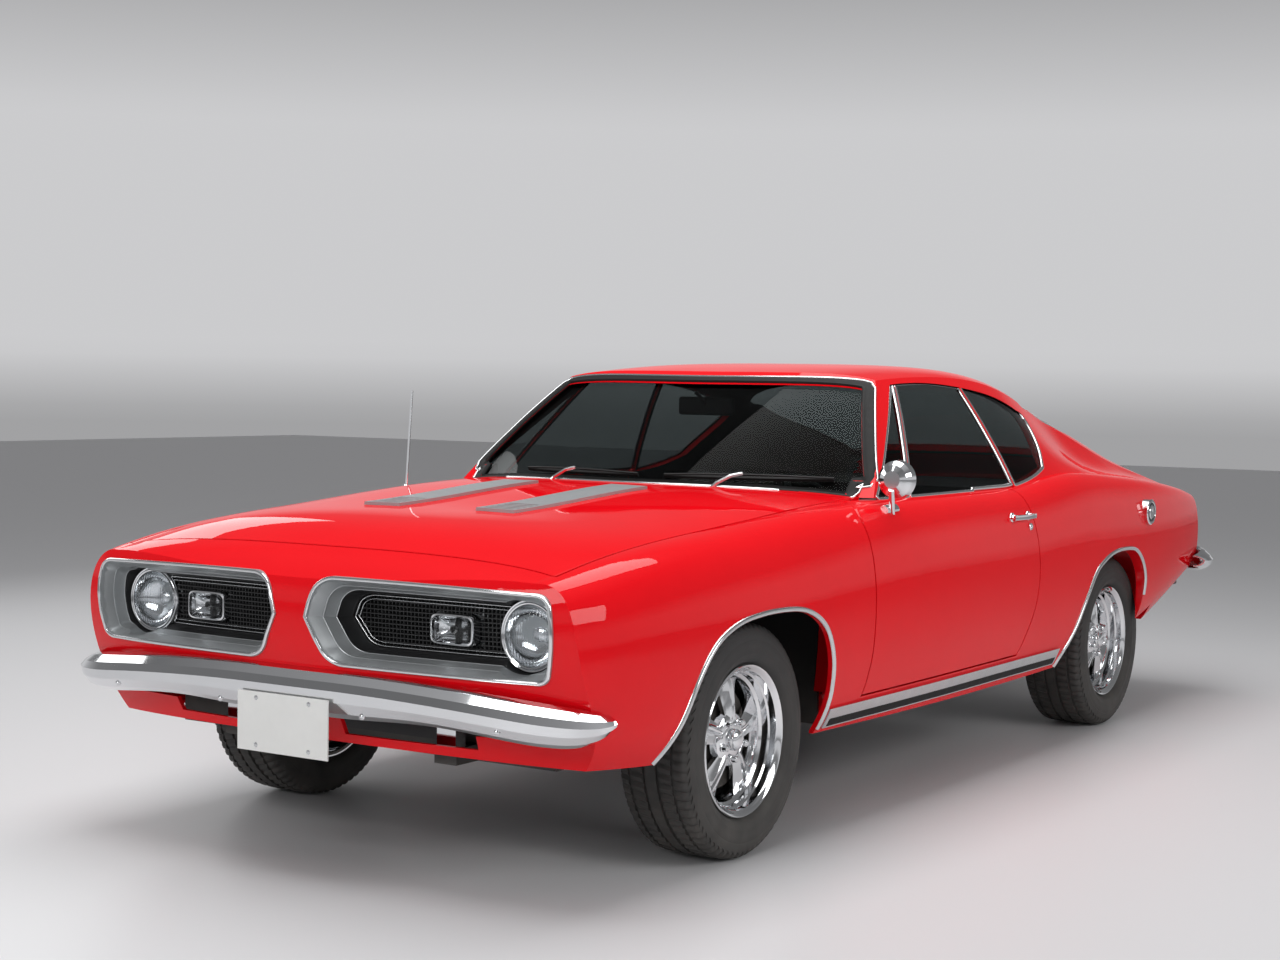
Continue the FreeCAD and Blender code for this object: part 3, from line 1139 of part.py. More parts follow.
def bucket_hollow(strokes, gap=0.0):
    """Space inside a bucket: it narrows from the opening's outline to the mesh, with flat facets."""
    outline = []
    for a, b, c in strokes:
        for k in range(BUCKET_STEPS):
            t = k / BUCKET_STEPS
            wa, wb, wc = (1 - t) * (1 - 2 * t), 4 * t * (1 - t), t * (2 * t - 1)
            outline.append((a[0] * wa + b[0] * wb + c[0] * wc, a[1] * wa + b[1] * wb + c[1] * wc))
    xs, zs = [x for x, _ in outline], [z for _, z in outline]
    x0, z0, wide, tall = min(xs), min(zs), max(xs) - min(xs), max(zs) - min(zs)
    left, right, low, top = BUCKET_IN_SHARES
    left, right = left + gap / wide, right + gap / wide
    low, top = low + gap / tall, top + gap / tall
    mouth = [V(x, nose_y(x, z) - GRILLE_FRAME_PROUD, z) for x, z in outline]
    inner = []
    for x, z in outline:
        inner_x = x0 + wide * (left + (x - x0) / wide * (1 - left - right))
        inner_z = z0 + tall * (low + (z - z0) / tall * (1 - low - top))
        inner.append(V(inner_x, nose_y(inner_x, inner_z) + MESH_SET_BACK, inner_z))
    front = [p + (p - q) * BUCKET_FRONT_SHARE for p, q in zip(mouth, inner)]
    back = [q + V(0, GRILLE_FRAME_DEPTH, 0) for q in inner]
    rings = [front, mouth, inner, back]
    faces = []
    count = len(outline)
    for ring, onward in zip(rings, rings[1:]):
        for k in range(count):
            a, b, c, d = ring[k], ring[(k + 1) % count], onward[(k + 1) % count], onward[k]
            faces += [Part.Face(Part.makePolygon([a, b, c, a])), Part.Face(Part.makePolygon([a, c, d, a]))]
    for ring in (front, back):
        middle = sum(ring[1:], ring[0]) * (1 / count)
        for k in range(count):
            faces.append(Part.Face(Part.makePolygon([ring[k], ring[(k + 1) % count], middle, ring[k]])))
    hollow = Part.makeSolid(Part.makeShell(faces))
    if hollow.Volume < 0:
        hollow.reverse()
    return hollow


def band_prism(front, depth, extent):
    """Slab behind a row of points, pushed out along a vector."""
    back = [point + V(0, depth, 0) for point in reversed(front)]
    return Part.Face(Part.makePolygon(front + back + [front[0]])).extrude(extent)


def upright_bar(x, z0, z1):
    levels = [z0 + (z1 - z0) * k / MESH_STEPS_UP for k in range(MESH_STEPS_UP + 1)]
    front = [V(x - MESH_BAR / 2, nose_y(x, z) + MESH_SET_BACK, z) for z in levels]
    return band_prism(front, MESH_DEPTH, V(MESH_BAR, 0, 0))


def level_bar(z, height, x0, x1):
    places = [x0 + (x1 - x0) * k / MESH_STEPS_ACROSS for k in range(MESH_STEPS_ACROSS + 1)]
    front = [V(x, nose_y(x, z) + MESH_SET_BACK, z - height / 2) for x in places]
    return band_prism(front, MESH_DEPTH, V(0, 0, height))


def rounded_box(x, z, width, height, y0, y1):
    box = block(x - width / 2, x + width / 2, y0, y1, z - height / 2, z + height / 2)
    edges = [edge for edge in box.Edges if abs(edge.tangentAt(edge.FirstParameter).y) > 0.5]
    return box.makeFillet(TURN_LAMP_CORNER, edges)


def nose_y(x, z):
    """Place of the nose face along the car at one point of the front view."""
    across = x / FACE_HALF_WIDTH
    lean = spline(NOSE_LEAN_SHARES, z / CAR_HEIGHT)
    return NOSE_Y + NOSE_SWEEP * across ** 2 + NOSE_CORNER * across ** 6 + NOSE_LEAN * lean


def build_lamps():
    """Round headlamps at the outer ends and clear turn lamps in the mesh, both standing on the floors."""
    front = nose_y(LAMP_X, LAMP_Z) + LAMP_SET_BACK
    back = nose_y(LAMP_X, LAMP_Z) + GRILLE_FRAME_DEPTH + OVERRUN / 2
    ring = turned_y([(0, LAMP_RADIUS), (-LAMP_RING / 2, LAMP_RADIUS + LAMP_RING / 2),
                     (0, LAMP_RADIUS + LAMP_RING), (back - front, LAMP_RADIUS), (back - front, 0),
                     (LAMP_RING, 0), (LAMP_RING, LAMP_RADIUS)],
                    V(LAMP_X, front, LAMP_Z))
    ball_radius = (LAMP_RADIUS ** 2 + LAMP_DOME ** 2) / (2 * LAMP_DOME)
    ball = Part.makeSphere(ball_radius, V(LAMP_X, front - LAMP_DOME + ball_radius, LAMP_Z))
    lens_zone = cylinder(V(LAMP_X, front - LAMP_DOME, LAMP_Z), V(LAMP_X, front + LAMP_RING, LAMP_Z), LAMP_RADIUS)
    lamp = ring.fuse(ball.common(lens_zone)).removeSplitter()
    floor = face_block(-1, GRILLE_FRAME_DEPTH - GRILLE_FLOOR_WALL)
    save("headlamps", *both_sides(lamp.cut(floor)))

    turn_front = nose_y(TURN_LAMP_X, LAMP_Z) + TURN_LAMP_SET_BACK
    lamp = rounded_box(TURN_LAMP_X, LAMP_Z, TURN_LAMP_WIDTH - TOUCH_GAP, TURN_LAMP_HEIGHT - TOUCH_GAP,
                       turn_front, turn_front + GRILLE_FRAME_DEPTH)
    save("turn_lamps", *both_sides(lamp.cut(floor)))


def turned_y(profile, centre):
    """Solid of revolution about Y through a centre, from points of place along Y and radius."""
    points = [centre + V(0, y, r) for y, r in profile]
    face = Part.Face(Part.makePolygon(points + [points[0]]))
    return face.revolve(centre, V(0, 1, 0), 360)


def tyre(width, centre):
    bead = RIM_WIDTH / 2 - RIM_LIP - TOUCH_GAP
    outer = [(-bead, RIM_SEAT_RADIUS + TOUCH_GAP), (-bead, RIM_LIP_RADIUS + RIM_LIP / 2)]
    outer += scaled(TYRE_SHARES[1:], width, TYRE_RADIUS)
    outer += [(-x, r) for x, r in reversed(outer[:-1])]
    inner = scaled(TYRE_WALL_SHARES, width, TYRE_RADIUS)
    inner = inner[:-1] + [(-bead + RIM_LIP * 2, RIM_SEAT_RADIUS + RIM_LIP),
                          (-bead + RIM_LIP * 2, RIM_SEAT_RADIUS + TOUCH_GAP)]
    inner = [(-x, r) for x, r in reversed(inner[1:])] + inner
    return turned(outer + inner, centre)


def rim(centre):
    """Deep five-spoke rim with the brake drum behind it; +X is its outer side."""
    half = RIM_WIDTH / 2
    bed = half * RIM_BED_SHARE
    well_in, well_out, seat_out = [bed * share for share in RIM_WELL_SHARES]
    back_seat, back_well, front_well, front_seat = [bed * share for share in RIM_INSIDE_SHARES]
    outer = [(-half, RIM_LIP_RADIUS), (-half + RIM_LIP, RIM_LIP_RADIUS), (-half + RIM_LIP, RIM_SEAT_RADIUS),
             (-bed, RIM_SEAT_RADIUS), (well_in, RIM_WELL_RADIUS), (well_out, RIM_WELL_RADIUS),
             (seat_out, RIM_SEAT_RADIUS), (half - RIM_LIP, RIM_SEAT_RADIUS),
             (half - RIM_LIP, RIM_LIP_RADIUS), (half, RIM_LIP_RADIUS)]
    inner = [(half, RIM_LIP_RADIUS - RIM_WALL), (half - RIM_WALL, RIM_SEAT_RADIUS - RIM_WALL),
             (front_seat, RIM_SEAT_RADIUS - RIM_WALL), (front_well, RIM_WELL_RADIUS - RIM_WALL),
             (back_well, RIM_WELL_RADIUS - RIM_WALL), (back_seat, RIM_SEAT_RADIUS - RIM_WALL),
             (-half + RIM_WALL, RIM_SEAT_RADIUS - RIM_WALL), (-half, RIM_LIP_RADIUS - RIM_WALL)]
    barrel = turned(outer + inner, centre)
    face = SPOKE_PLANE
    edge = RIM_WELL_RADIUS - RIM_WALL / 2
    knee, rim_end = [face - SPOKE_DISH * share for share in SPOKE_DISH_SHARES]
    disc = turned([(face - SPOKE_WALL, 0), (face + HUB_PROUD, 0), (face + HUB_PROUD, HUB_RADIUS),
                   (face, HUB_RADIUS * HUB_FLARE_SHARE), (knee, edge * SPOKE_KNEE_SHARE), (rim_end, edge),
                   (rim_end - SPOKE_WALL, edge), (face - SPOKE_WALL, HUB_RADIUS)], centre)
    windows = [spoke_window(centre, 360 * (k + 1 / 2) / SPOKE_COUNT) for k in range(SPOKE_COUNT)]
    disc = disc.cut(windows)
    cap = cylinder(centre + V(face, 0, 0), centre + V(face + HUB_PROUD + CAP_HEIGHT, 0, 0), CAP_RADIUS)
    drum_back = face - SPOKE_WALL - DRUM_WIDTH
    drum = cylinder(centre + V(drum_back, 0, 0), centre + V(face - SPOKE_WALL, 0, 0), DRUM_RADIUS)
    bore = cylinder(centre + V(drum_back - OVERRUN, 0, 0), centre + V(SPINDLE_TIP, 0, 0), BORE_RADIUS)
    return fused([barrel, disc, cap, drum]).cut(bore)


def spoke_window(centre, angle):
    """Cutter between two spokes; its sides run parallel to the spokes."""
    hub_share, wall_share = SPOKE_WINDOW_SHARES
    near, far = HUB_RADIUS * hub_share, RIM_WELL_RADIUS - RIM_WALL * wall_share
    half_turn = 180 / SPOKE_COUNT
    corners = []
    for radius, side in ((near, -1), (far, -1), (far, 1), (near, 1)):
        a = math.radians(side * (half_turn - math.degrees(math.asin(SPOKE_WIDTH / 2 / radius))))
        corners.append((radius, a))
    points = [V(0, r * math.sin(a), r * math.cos(a)) for r, a in corners]
    edges = [Part.makeLine(points[0], points[1]),
             Part.Arc(points[1], V(0, 0, far), points[2]).toShape(),
             Part.makeLine(points[2], points[3]),
             Part.Arc(points[3], V(0, 0, near), points[0]).toShape()]
    prism = Part.Face(Part.Wire(edges)).extrude(V(RIM_WIDTH / 2, 0, 0))
    prism.rotate(V(0, 0, 0), V(1, 0, 0), angle)
    prism.translate(centre + V(-OVERRUN / 2, 0, 0))
    return prism


def build_wheels():
    for end, axle_y, track, width in (("front", FRONT_AXLE_Y, FRONT_TRACK, FRONT_TYRE_WIDTH),
                                      ("rear", REAR_AXLE_Y, REAR_TRACK, REAR_TYRE_WIDTH)):
        centre = V(track / 2, axle_y, TYRE_RADIUS)
        left_tyre, left_rim = tyre(width, centre), rim(centre)
        save("tyre_" + end + "_left", left_tyre)
        save("tyre_" + end + "_right", mirrored(left_tyre))
        save("rim_" + end + "_left", left_rim)
        save("rim_" + end + "_right", mirrored(left_rim))


def drum_back_x(track):
    return track / 2 + SPOKE_PLANE - SPOKE_WALL - DRUM_WIDTH


def upright(x, y, z0, z1, radius):
    return cylinder(V(x, y, z0), V(x, y, z1), radius)


def build_knuckles():
    """Steered uprights: post on the kingpin line, spindle, backing plate and steering arm."""
    y = FRONT_AXLE_Y
    post = upright(KINGPIN_X, y, KNUCKLE_LOW_Z, KNUCKLE_TOP_Z, KNUCKLE_RADIUS)
    tip = FRONT_TRACK / 2 + SPINDLE_TIP - STEER_SEAT
    spindle = cylinder(V(KINGPIN_X, y, TYRE_RADIUS), V(tip, y, TYRE_RADIUS), BORE_RADIUS - BEARING_CLEARANCE)
    plate_x = drum_back_x(FRONT_TRACK) - BACKING_GAP - BACKING_WALL
    plate = cylinder(V(plate_x, y, TYRE_RADIUS), V(plate_x + BACKING_WALL, y, TYRE_RADIUS), BACKING_RADIUS)
    arm = cylinder(V(KINGPIN_X, y, STEERING_ARM_Z), V(KINGPIN_X, y + STEERING_ARM, STEERING_ARM_Z), ARM_RADIUS)
    left = fused([post, spindle, plate, arm])
    save("knuckle_left", left)
    save("knuckle_right", mirrored(left))
    rod_z = STEERING_ARM_Z - ARM_RADIUS - ROD_RADIUS - STEER_SEAT
    rod = cylinder(V(-KINGPIN_X, y + STEERING_ARM, rod_z), V(KINGPIN_X, y + STEERING_ARM, rod_z), ROD_RADIUS)
    save("steering_rod", rod)


def build_front_frame(body):
    """Rails, cross-member, wishbones, springs, radiator wall and inner aprons, as one welded frame."""
    y = FRONT_AXLE_Y
    rail = block(RAIL_X - RAIL_WIDTH / 2, RAIL_X + RAIL_WIDTH / 2, RAIL_FRONT_Y, BULKHEAD_Y - TOUCH_GAP, RAIL_Z,
                 RAIL_Z + RAIL_HEIGHT)
    cross = block(-RAIL_X, RAIL_X, y - CROSS_LENGTH / 2, y + CROSS_LENGTH / 2, CROSS_Z, RAIL_Z + TOWER_WALL)
    tower = block(RAIL_X, RAIL_X + RAIL_WIDTH, y - TOWER_LENGTH / 2, y + TOWER_LENGTH / 2, RAIL_Z,
                  SPRING_TOP_Z)
    tower_top = block(RAIL_X, SPRING_X + SPRING_RADIUS + TOWER_WALL, y - TOWER_LENGTH / 2, y + TOWER_LENGTH / 2,
                      SPRING_TOP_Z, SPRING_TOP_Z + TOWER_WALL)
    arms = []
    for level, root_x, ball_z in ((LOWER_ARM_Z, RAIL_X, KNUCKLE_LOW_Z - STEER_SEAT - BALL_HEIGHT),
                                  (UPPER_ARM_Z, UPPER_ARM_X, KNUCKLE_TOP_Z + STEER_SEAT)):
        ball = V(KINGPIN_X, y, ball_z + BALL_HEIGHT / 2)
        for side in (-1, 1):
            root = V(root_x - WISHBONE_RADIUS, y + side * WISHBONE_HALF * WISHBONE_ROOT_SHARE, level)
            arms.append(cylinder(root, ball - V(BALL_RADIUS / 2, 0, 0),
                                 BALL_HEIGHT / 2))
        arms.append(upright(KINGPIN_X, y, ball_z, ball_z + BALL_HEIGHT, BALL_RADIUS))
    seat = upright(SPRING_X, y, LOWER_ARM_Z - WISHBONE_RADIUS, SPRING_LOW_Z, SPRING_RADIUS)
    spring = spring_column(V(SPRING_X, y, 0))
    apron_end = BULKHEAD_Y - TOUCH_GAP
    apron = block(APRON_X, APRON_X + APRON_WALL, APRON_FRONT_Y, apron_end, RAIL_Z + RAIL_HEIGHT, APRON_TOP_Z)
    shelf = block(APRON_X, HALF_WIDTH, APRON_FRONT_Y, apron_end, APRON_TOP_Z, APRON_TOP_Z + APRON_WALL)
    rail_link = block(RAIL_X, APRON_X + APRON_WALL, APRON_FRONT_Y, apron_end, RAIL_Z + RAIL_HEIGHT - APRON_WALL,
                      RAIL_Z + RAIL_HEIGHT)
    shelf = shelf.common(body.front_inside).cut(body.door_hole)
    left = [rail, tower, tower_top, seat, spring, apron, shelf, rail_link] + arms
    wall = block(-SUPPORT_HALF, SUPPORT_HALF, RADIATOR_Y, RADIATOR_Y + SUPPORT_WALL, RAIL_Z, APRON_TOP_Z)
    hole = block(-RADIATOR_WIDTH / 2, RADIATOR_WIDTH / 2, RADIATOR_Y - OVERRUN, RADIATOR_Y + OVERRUN,
                 RADIATOR_LOW_Z, RADIATOR_TOP_Z)
    wall = wall.cut(hole)
    rests = block(HOOD_REST_X, HOOD_REST_X + HOOD_REST_SIZE, RADIATOR_Y, RADIATOR_Y + SUPPORT_WALL, RAIL_Z, SKY)
    rests = rests.common(body.front_inside)
    rests.translate(V(0, 0, -TOUCH_GAP))
    left.append(rests)
    frame = [cross, wall]
    for shape in left:
        frame += both_sides(shape)
    rise = block(-HALF_WIDTH, HALF_WIDTH, NOSE_END, RAIL_RISE_Y, 0, RAIL_RISE_Z)
    save("front_frame", fused(frame).cut(rise))
    radiator = block(-RADIATOR_WIDTH / 2, RADIATOR_WIDTH / 2,
                     RADIATOR_Y - RADIATOR_DEPTH / 2, RADIATOR_Y + RADIATOR_DEPTH,
                     RADIATOR_LOW_Z, RADIATOR_TOP_Z)
    save("radiator", radiator)


def spring_column(foot):
    """Coil spring drawn as a ribbed column around its damper."""
    points = [(0, SPRING_LOW_Z)]
    pitch = (SPRING_TOP_Z - SPRING_LOW_Z) / SPRING_TURNS
    for k in range(SPRING_TURNS):
        low = SPRING_LOW_Z + k * pitch
        points += [(SPRING_RADIUS - SPRING_WIRE, low), (SPRING_RADIUS, low + pitch / 4),
                   (SPRING_RADIUS, low + pitch / 2), (SPRING_RADIUS - SPRING_WIRE, low + pitch * 0.75)]
    points += [(SPRING_RADIUS - SPRING_WIRE, SPRING_TOP_Z), (0, SPRING_TOP_Z)]
    profile = [foot + V(x, 0, z) for x, z in points]
    return Part.Face(Part.makePolygon(profile + [profile[0]])).revolve(foot, V(0, 0, 1), 360)


def build_body_fittings(body):
    """Lamps, cap, trims, louvres, mirror, aerial and wipers that stand on the body's skin."""
    tail_zone = block(TAIL_LAMP_IN_X, TAIL_LAMP_OUT_X, 0, TAIL_END, TAIL_LAMP_LOW_Z, TAIL_LAMP_TOP_Z)
    lamp = face_block(1, -TAIL_LAMP_PROUD).common(tail_zone).cut(face_block(1))
    save("tail_lamps", *both_sides(lamp))
    cap = cylinder(V(FILLER_X - FILLER_RADIUS, FILLER_Y, FILLER_Z), V(FILLER_X, FILLER_Y, FILLER_Z), FILLER_RADIUS)
    save("fuel_cap", cap.cut(body.rear))

    strips = []
    for kind, inner, y0, y1 in (("front", body.front, SILL_FRONT_Y, BULKHEAD_Y),
                                ("rear", body.rear, BULKHEAD_Y, SILL_REAR_Y)):
        zone = side_half(y0, y1, SILL_LOW_Z, SILL_TOP_Z, CABIN_HALF_WIDTH)
        strips.append(body_volume(kind, -SILL_PROUD, -SILL_PROUD).common(zone).cut(inner))
    save("sill_trims", *both_sides(fused(strips)))

    louvre = block(LOUVRE_X - LOUVRE_WIDTH / 2, LOUVRE_X + LOUVRE_WIDTH / 2, LOUVRE_FRONT_Y, LOUVRE_REAR_Y,
                   HOOD_LOW_Z, SKY)
    louvre = body_volume("front", -LOUVRE_PROUD, -LOUVRE_PROUD).common(louvre).cut(body.front)
    slots = []
    for k in range(LOUVRE_SLATS):
        y = LOUVRE_FRONT_Y + LOUVRE_SLAT * (2 * k + 1)
        slots.append(block(LOUVRE_X - LOUVRE_WIDTH / 2 + LOUVRE_SLAT, LOUVRE_X + LOUVRE_WIDTH / 2 - LOUVRE_SLAT,
                           y, y + LOUVRE_SLAT, 0, SKY))
    save("hood_louvres", *both_sides(louvre.cut(slots)))

    centre = V(MIRROR_X, MIRROR_Y, MIRROR_Z)
    half = MIRROR_DEPTH / 2
    tip, shoulder, middle = [MIRROR_RADIUS * share for share in MIRROR_HEAD_SHARES]
    head = turned_y([(-half, 0), (-half, tip), (-half * MIRROR_SHOULDER_SHARE, shoulder),
                     (0, middle), (half, MIRROR_RADIUS), (half, MIRROR_RADIUS - MIRROR_RIM),
                     (half - MIRROR_RIM, MIRROR_RADIUS - MIRROR_RIM), (half - MIRROR_RIM, 0)], centre)
    foot = V(MIRROR_X - MIRROR_RADIUS / 2, MIRROR_Y + MIRROR_DEPTH, DOOR_TOP_Z - MIRROR_RADIUS)
    stalk = cylinder(foot, centre - V(0, half, MIRROR_RADIUS / 2), MIRROR_STALK)
    save("door_mirror", fused([head, stalk]).cut(body.rear))

    base = V(AERIAL_X, AERIAL_Y, AERIAL_BASE_Z)
    mast = cylinder(base, base + V(0, AERIAL_LEAN, AERIAL_HEIGHT), AERIAL_RADIUS)
    boot = Part.makeCone(AERIAL_RADIUS * 5, AERIAL_RADIUS * 2, AERIAL_BOOT, base, V(0, 0, 1))
    save("aerial", fused([mast, boot]).cut(body.front))


def screen_point(x, rise, proud):
    """Point that stands proud of the windshield's outer face."""
    base, top = screen_bow(x)
    bulge = SCREEN_BULGE * 4 * rise * (1 - rise)
    lean = math.atan2(top - base, SCREEN_TOP_Z - SCREEN_BASE_Z)
    return V(x, base + rise * (top - base) - bulge - proud * math.cos(lean),
             SCREEN_BASE_Z + rise * (SCREEN_TOP_Z - SCREEN_BASE_Z) + proud * math.sin(lean))


def build_wipers(body, windshield):
    arms = []
    for pivot_x in WIPER_PIVOTS:
        blade_start = screen_point(pivot_x - WIPER_REACH * WIPER_OUT_SHARE, WIPER_RISE, WIPER_RADIUS * 2)
        blade_end = screen_point(pivot_x + WIPER_REACH * (1 - WIPER_OUT_SHARE), WIPER_RISE, WIPER_RADIUS * 2)
        middle = (blade_start + blade_end) / 2
        pivot = screen_point(pivot_x, -WIPER_RISE, WIPER_RADIUS * 3)
        arms.append(fused([cylinder(blade_start, blade_end, WIPER_RADIUS),
                           cylinder(pivot, middle, WIPER_RADIUS),
                           cylinder(pivot - V(0, 0, WIPER_POST), pivot + V(0, 0, WIPER_RADIUS), WIPER_RADIUS * 2)]))
    save("wipers", *[arm.cut([body.front, windshield]) for arm in arms])


def build_floor(body):
    """Floor pan with its tunnel, kick-up, rear floor, wheelhouses, parcel shelf and trunk bulkhead."""
    half = HALF_WIDTH
    top = FLOOR_Z + FLOOR_WALL
    flat = block(-half, half, BULKHEAD_Y, KICK_Y, FLOOR_Z, top)
    kick = block(-half, half, KICK_Y, KICK_Y + FLOOR_WALL, FLOOR_Z, REAR_FLOOR_Z + FLOOR_WALL)
    rear = block(-half, half, KICK_Y, FLOOR_REAR_Y, REAR_FLOOR_Z, REAR_FLOOR_Z + FLOOR_WALL)
    tunnel_hole = tunnel_block(0)
    tunnel = tunnel_block(FLOOR_WALL).cut(tunnel_hole)
    shelf = block(-half, half, SHELF_FRONT_Y, SHELF_REAR_Y, SHELF_Z, SHELF_Z + FLOOR_WALL)
    wall = block(-half, half, SHELF_FRONT_Y, SHELF_FRONT_Y + FLOOR_WALL, REAR_FLOOR_Z, SHELF_Z + FLOOR_WALL)
    house = []
    hollow = []
    for side in (-1, 1):
        inner, outer = side * WHEEL_WELL_IN_X, side * (CABIN_HALF_WIDTH + OVERRUN)
        house.append(cylinder(V(inner - side * WELL_WALL, REAR_AXLE_Y, TYRE_RADIUS),
                              V(outer, REAR_AXLE_Y, TYRE_RADIUS), WHEEL_WELL_RADIUS + WELL_WALL))
        hollow.append(cylinder(V(inner, REAR_AXLE_Y, TYRE_RADIUS), V(outer + side * OVERRUN, REAR_AXLE_Y, TYRE_RADIUS),
                               WHEEL_WELL_RADIUS))
    pan = fused([flat.cut(tunnel_hole), kick.cut(tunnel_hole), rear, tunnel, shelf, wall] + house)
    pan = pan.cut(hollow + [block(-half, half, KICK_Y + OVERRUN / 2, TAIL_END, 0, REAR_FLOOR_Z)])
    save("floor_pan", pan.common(body.rear_inside))


def tunnel_block(growth):
    """Tunnel over the driveline, or its outer form when grown by the sheet's wall."""
    wide_half = TUNNEL_HALF + growth
    narrow = wide_half * TUNNEL_TOP_SHARE
    level = FLOOR_Z + TUNNEL_HEIGHT + growth
    corners = [(-wide_half, FLOOR_Z), (-narrow, level), (narrow, level), (wide_half, FLOOR_Z)]
    strokes = [[corners[k], corners[(k + 1) % 4]] for k in range(4)]
    return front_prism(strokes, BULKHEAD_Y, KICK_Y + FLOOR_WALL)


def polygon_side(shares):
    points = body_yz(shares)
    return [[points[k], points[(k + 1) % len(points)]] for k in range(len(points))]


def build_cabin():
    """Dashboard with its column, steering wheel, seats."""
    tilt = math.radians(WHEEL_TILT)
    axis = V(0, math.cos(tilt), math.sin(tilt))
    centre = V(WHEEL_X, WHEEL_Y, WHEEL_Z)
    hub = centre - axis * WHEEL_DISH
    dash = side_prism(polygon_side(DASH_SHARES), -DASH_HALF, DASH_HALF)
    column = cylinder(hub - axis * COLUMN_LENGTH, hub - axis * COLUMN_GAP, COLUMN_RADIUS)
    save("dashboard", fused([dash, column]))

    ring = Part.makeTorus(WHEEL_RADIUS, WHEEL_RIM_RADIUS, centre, axis)
    boss = cylinder(hub, centre - axis * WHEEL_RIM_RADIUS, WHEEL_BOSS_RADIUS)
    spokes = []
    for angle in (0, 180, 270):
        turn = math.radians(angle)
        out = V(math.cos(turn), -math.sin(tilt) * math.sin(turn), math.cos(tilt) * math.sin(turn))
        spokes.append(cylinder(centre - axis * WHEEL_DISH / 2, centre + out * WHEEL_RADIUS, WHEEL_SPOKE_RADIUS))
    save("steering_wheel", fused([ring, boss] + spokes))

    x0, x1 = SEAT_X - SEAT_WIDTH / 2, SEAT_X + SEAT_WIDTH / 2
    seat = side_prism(polygon_side(SEAT_SHARES), x0, x1)
    seat_low = CAR_HEIGHT * SEAT_SHARES[0][1]
    runners = []
    for x in (x0 + SEAT_RUNNER_IN, x1 - SEAT_RUNNER_IN - SEAT_RUNNER_WIDTH):
        runners.append(block(x, x + SEAT_RUNNER_WIDTH, HALF_LENGTH * SEAT_SHARES[0][0] + OVERRUN / 2,
                             HALF_LENGTH * SEAT_SHARES[-1][0] - OVERRUN / 2, FLOOR_Z + FLOOR_WALL, seat_low))
    save("front_seats", *both_sides(fused([seat] + runners)))
    save("rear_seat", side_prism(polygon_side(REAR_SEAT_SHARES), -REAR_SEAT_WIDTH / 2, REAR_SEAT_WIDTH / 2))


def build_driveline():
    """Engine block, gearbox with shaft, live rear axle on leaf springs, exhaust and tank."""
    engine_low = RAIL_Z + TOWER_WALL
    save("engine_block", block(-ENGINE_WIDTH / 2, ENGINE_WIDTH / 2, ENGINE_REAR_Y - ENGINE_LENGTH, ENGINE_REAR_Y,
                               engine_low, engine_low + ENGINE_HEIGHT))
    y0, y1 = ENGINE_REAR_Y, ENGINE_REAR_Y + GEARBOX_LENGTH
    wide_half, tail_half = GEARBOX_WIDTH / 2, GEARBOX_TAIL_WIDTH / 2
    low, top = SHAFT_Z - wide_half / 2, SHAFT_Z + wide_half * GEARBOX_TOP_SHARE
    corners = [(-wide_half * TUNNEL_TOP_SHARE, y0), (wide_half * TUNNEL_TOP_SHARE, y0),
               (tail_half, y1), (-tail_half, y1)]
    gearbox = plan_prism([[corners[k], corners[(k + 1) % 4]] for k in range(4)], low, top)
    shaft = cylinder(V(0, y0, SHAFT_Z), V(0, REAR_AXLE_Y - DIFFERENTIAL_RADIUS, SHAFT_Z), SHAFT_RADIUS)
    save("driveline", fused([gearbox, shaft]))

    end_x = REAR_TRACK / 2 + SPOKE_PLANE - SPOKE_WALL - DRUM_WIDTH - AXLE_DRUM_GAP
    tip = REAR_TRACK / 2 + SPINDLE_TIP - STEER_SEAT
    line = V(0, REAR_AXLE_Y, TYRE_RADIUS)
    axle = [cylinder(line - V(end_x, 0, 0), line + V(end_x, 0, 0), AXLE_TUBE_RADIUS),
            cylinder(line - V(tip, 0, 0), line + V(tip, 0, 0), BORE_RADIUS - BEARING_CLEARANCE),
            turned([(-DIFFERENTIAL_RADIUS, 0), (-DIFFERENTIAL_RADIUS, AXLE_TUBE_RADIUS),
                    (-DIFFERENTIAL_RADIUS / 2, DIFFERENTIAL_RADIUS * DIFFERENTIAL_CURVE_SHARE),
                    (0, DIFFERENTIAL_RADIUS),
                    (DIFFERENTIAL_RADIUS / 2, DIFFERENTIAL_RADIUS * DIFFERENTIAL_CURVE_SHARE),
                    (DIFFERENTIAL_RADIUS, AXLE_TUBE_RADIUS), (DIFFERENTIAL_RADIUS, 0)], line)]
    for shape in leaf_spring():
        axle += both_sides(shape)
    save("rear_axle", fused(axle))

    runs = []
    muffler_z = FLOOR_Z - TOUCH_GAP - MUFFLER_RADIUS
    for side in (-1, 1):
        x = side * EXHAUST_X
        path = [V(x, EXHAUST_FRONT_Y, engine_low), V(x, EXHAUST_FRONT_Y, EXHAUST_Z), V(x, EXHAUST_REAR_Y, EXHAUST_Z)]
        pipe = tube_along(path, EXHAUST_RADIUS, EXHAUST_RADIUS * 2)
        half = MUFFLER_LENGTH / 2
        can = cylinder(V(x, MUFFLER_Y - half, muffler_z), V(x, MUFFLER_Y + half, muffler_z), MUFFLER_RADIUS)
        bore = cylinder(V(x, EXHAUST_REAR_Y - OVERRUN, EXHAUST_Z), V(x, EXHAUST_REAR_Y + OVERRUN, EXHAUST_Z),
                        EXHAUST_RADIUS - EXHAUST_WALL)
        runs.append(fused([pipe, can]).cut(bore))
    save("exhaust", *runs)
    save("fuel_tank", block(-TANK_WIDTH / 2, TANK_WIDTH / 2, TANK_Y - TANK_LENGTH / 2, TANK_Y + TANK_LENGTH / 2,
                            TANK_LOW_Z, REAR_FLOOR_Z))


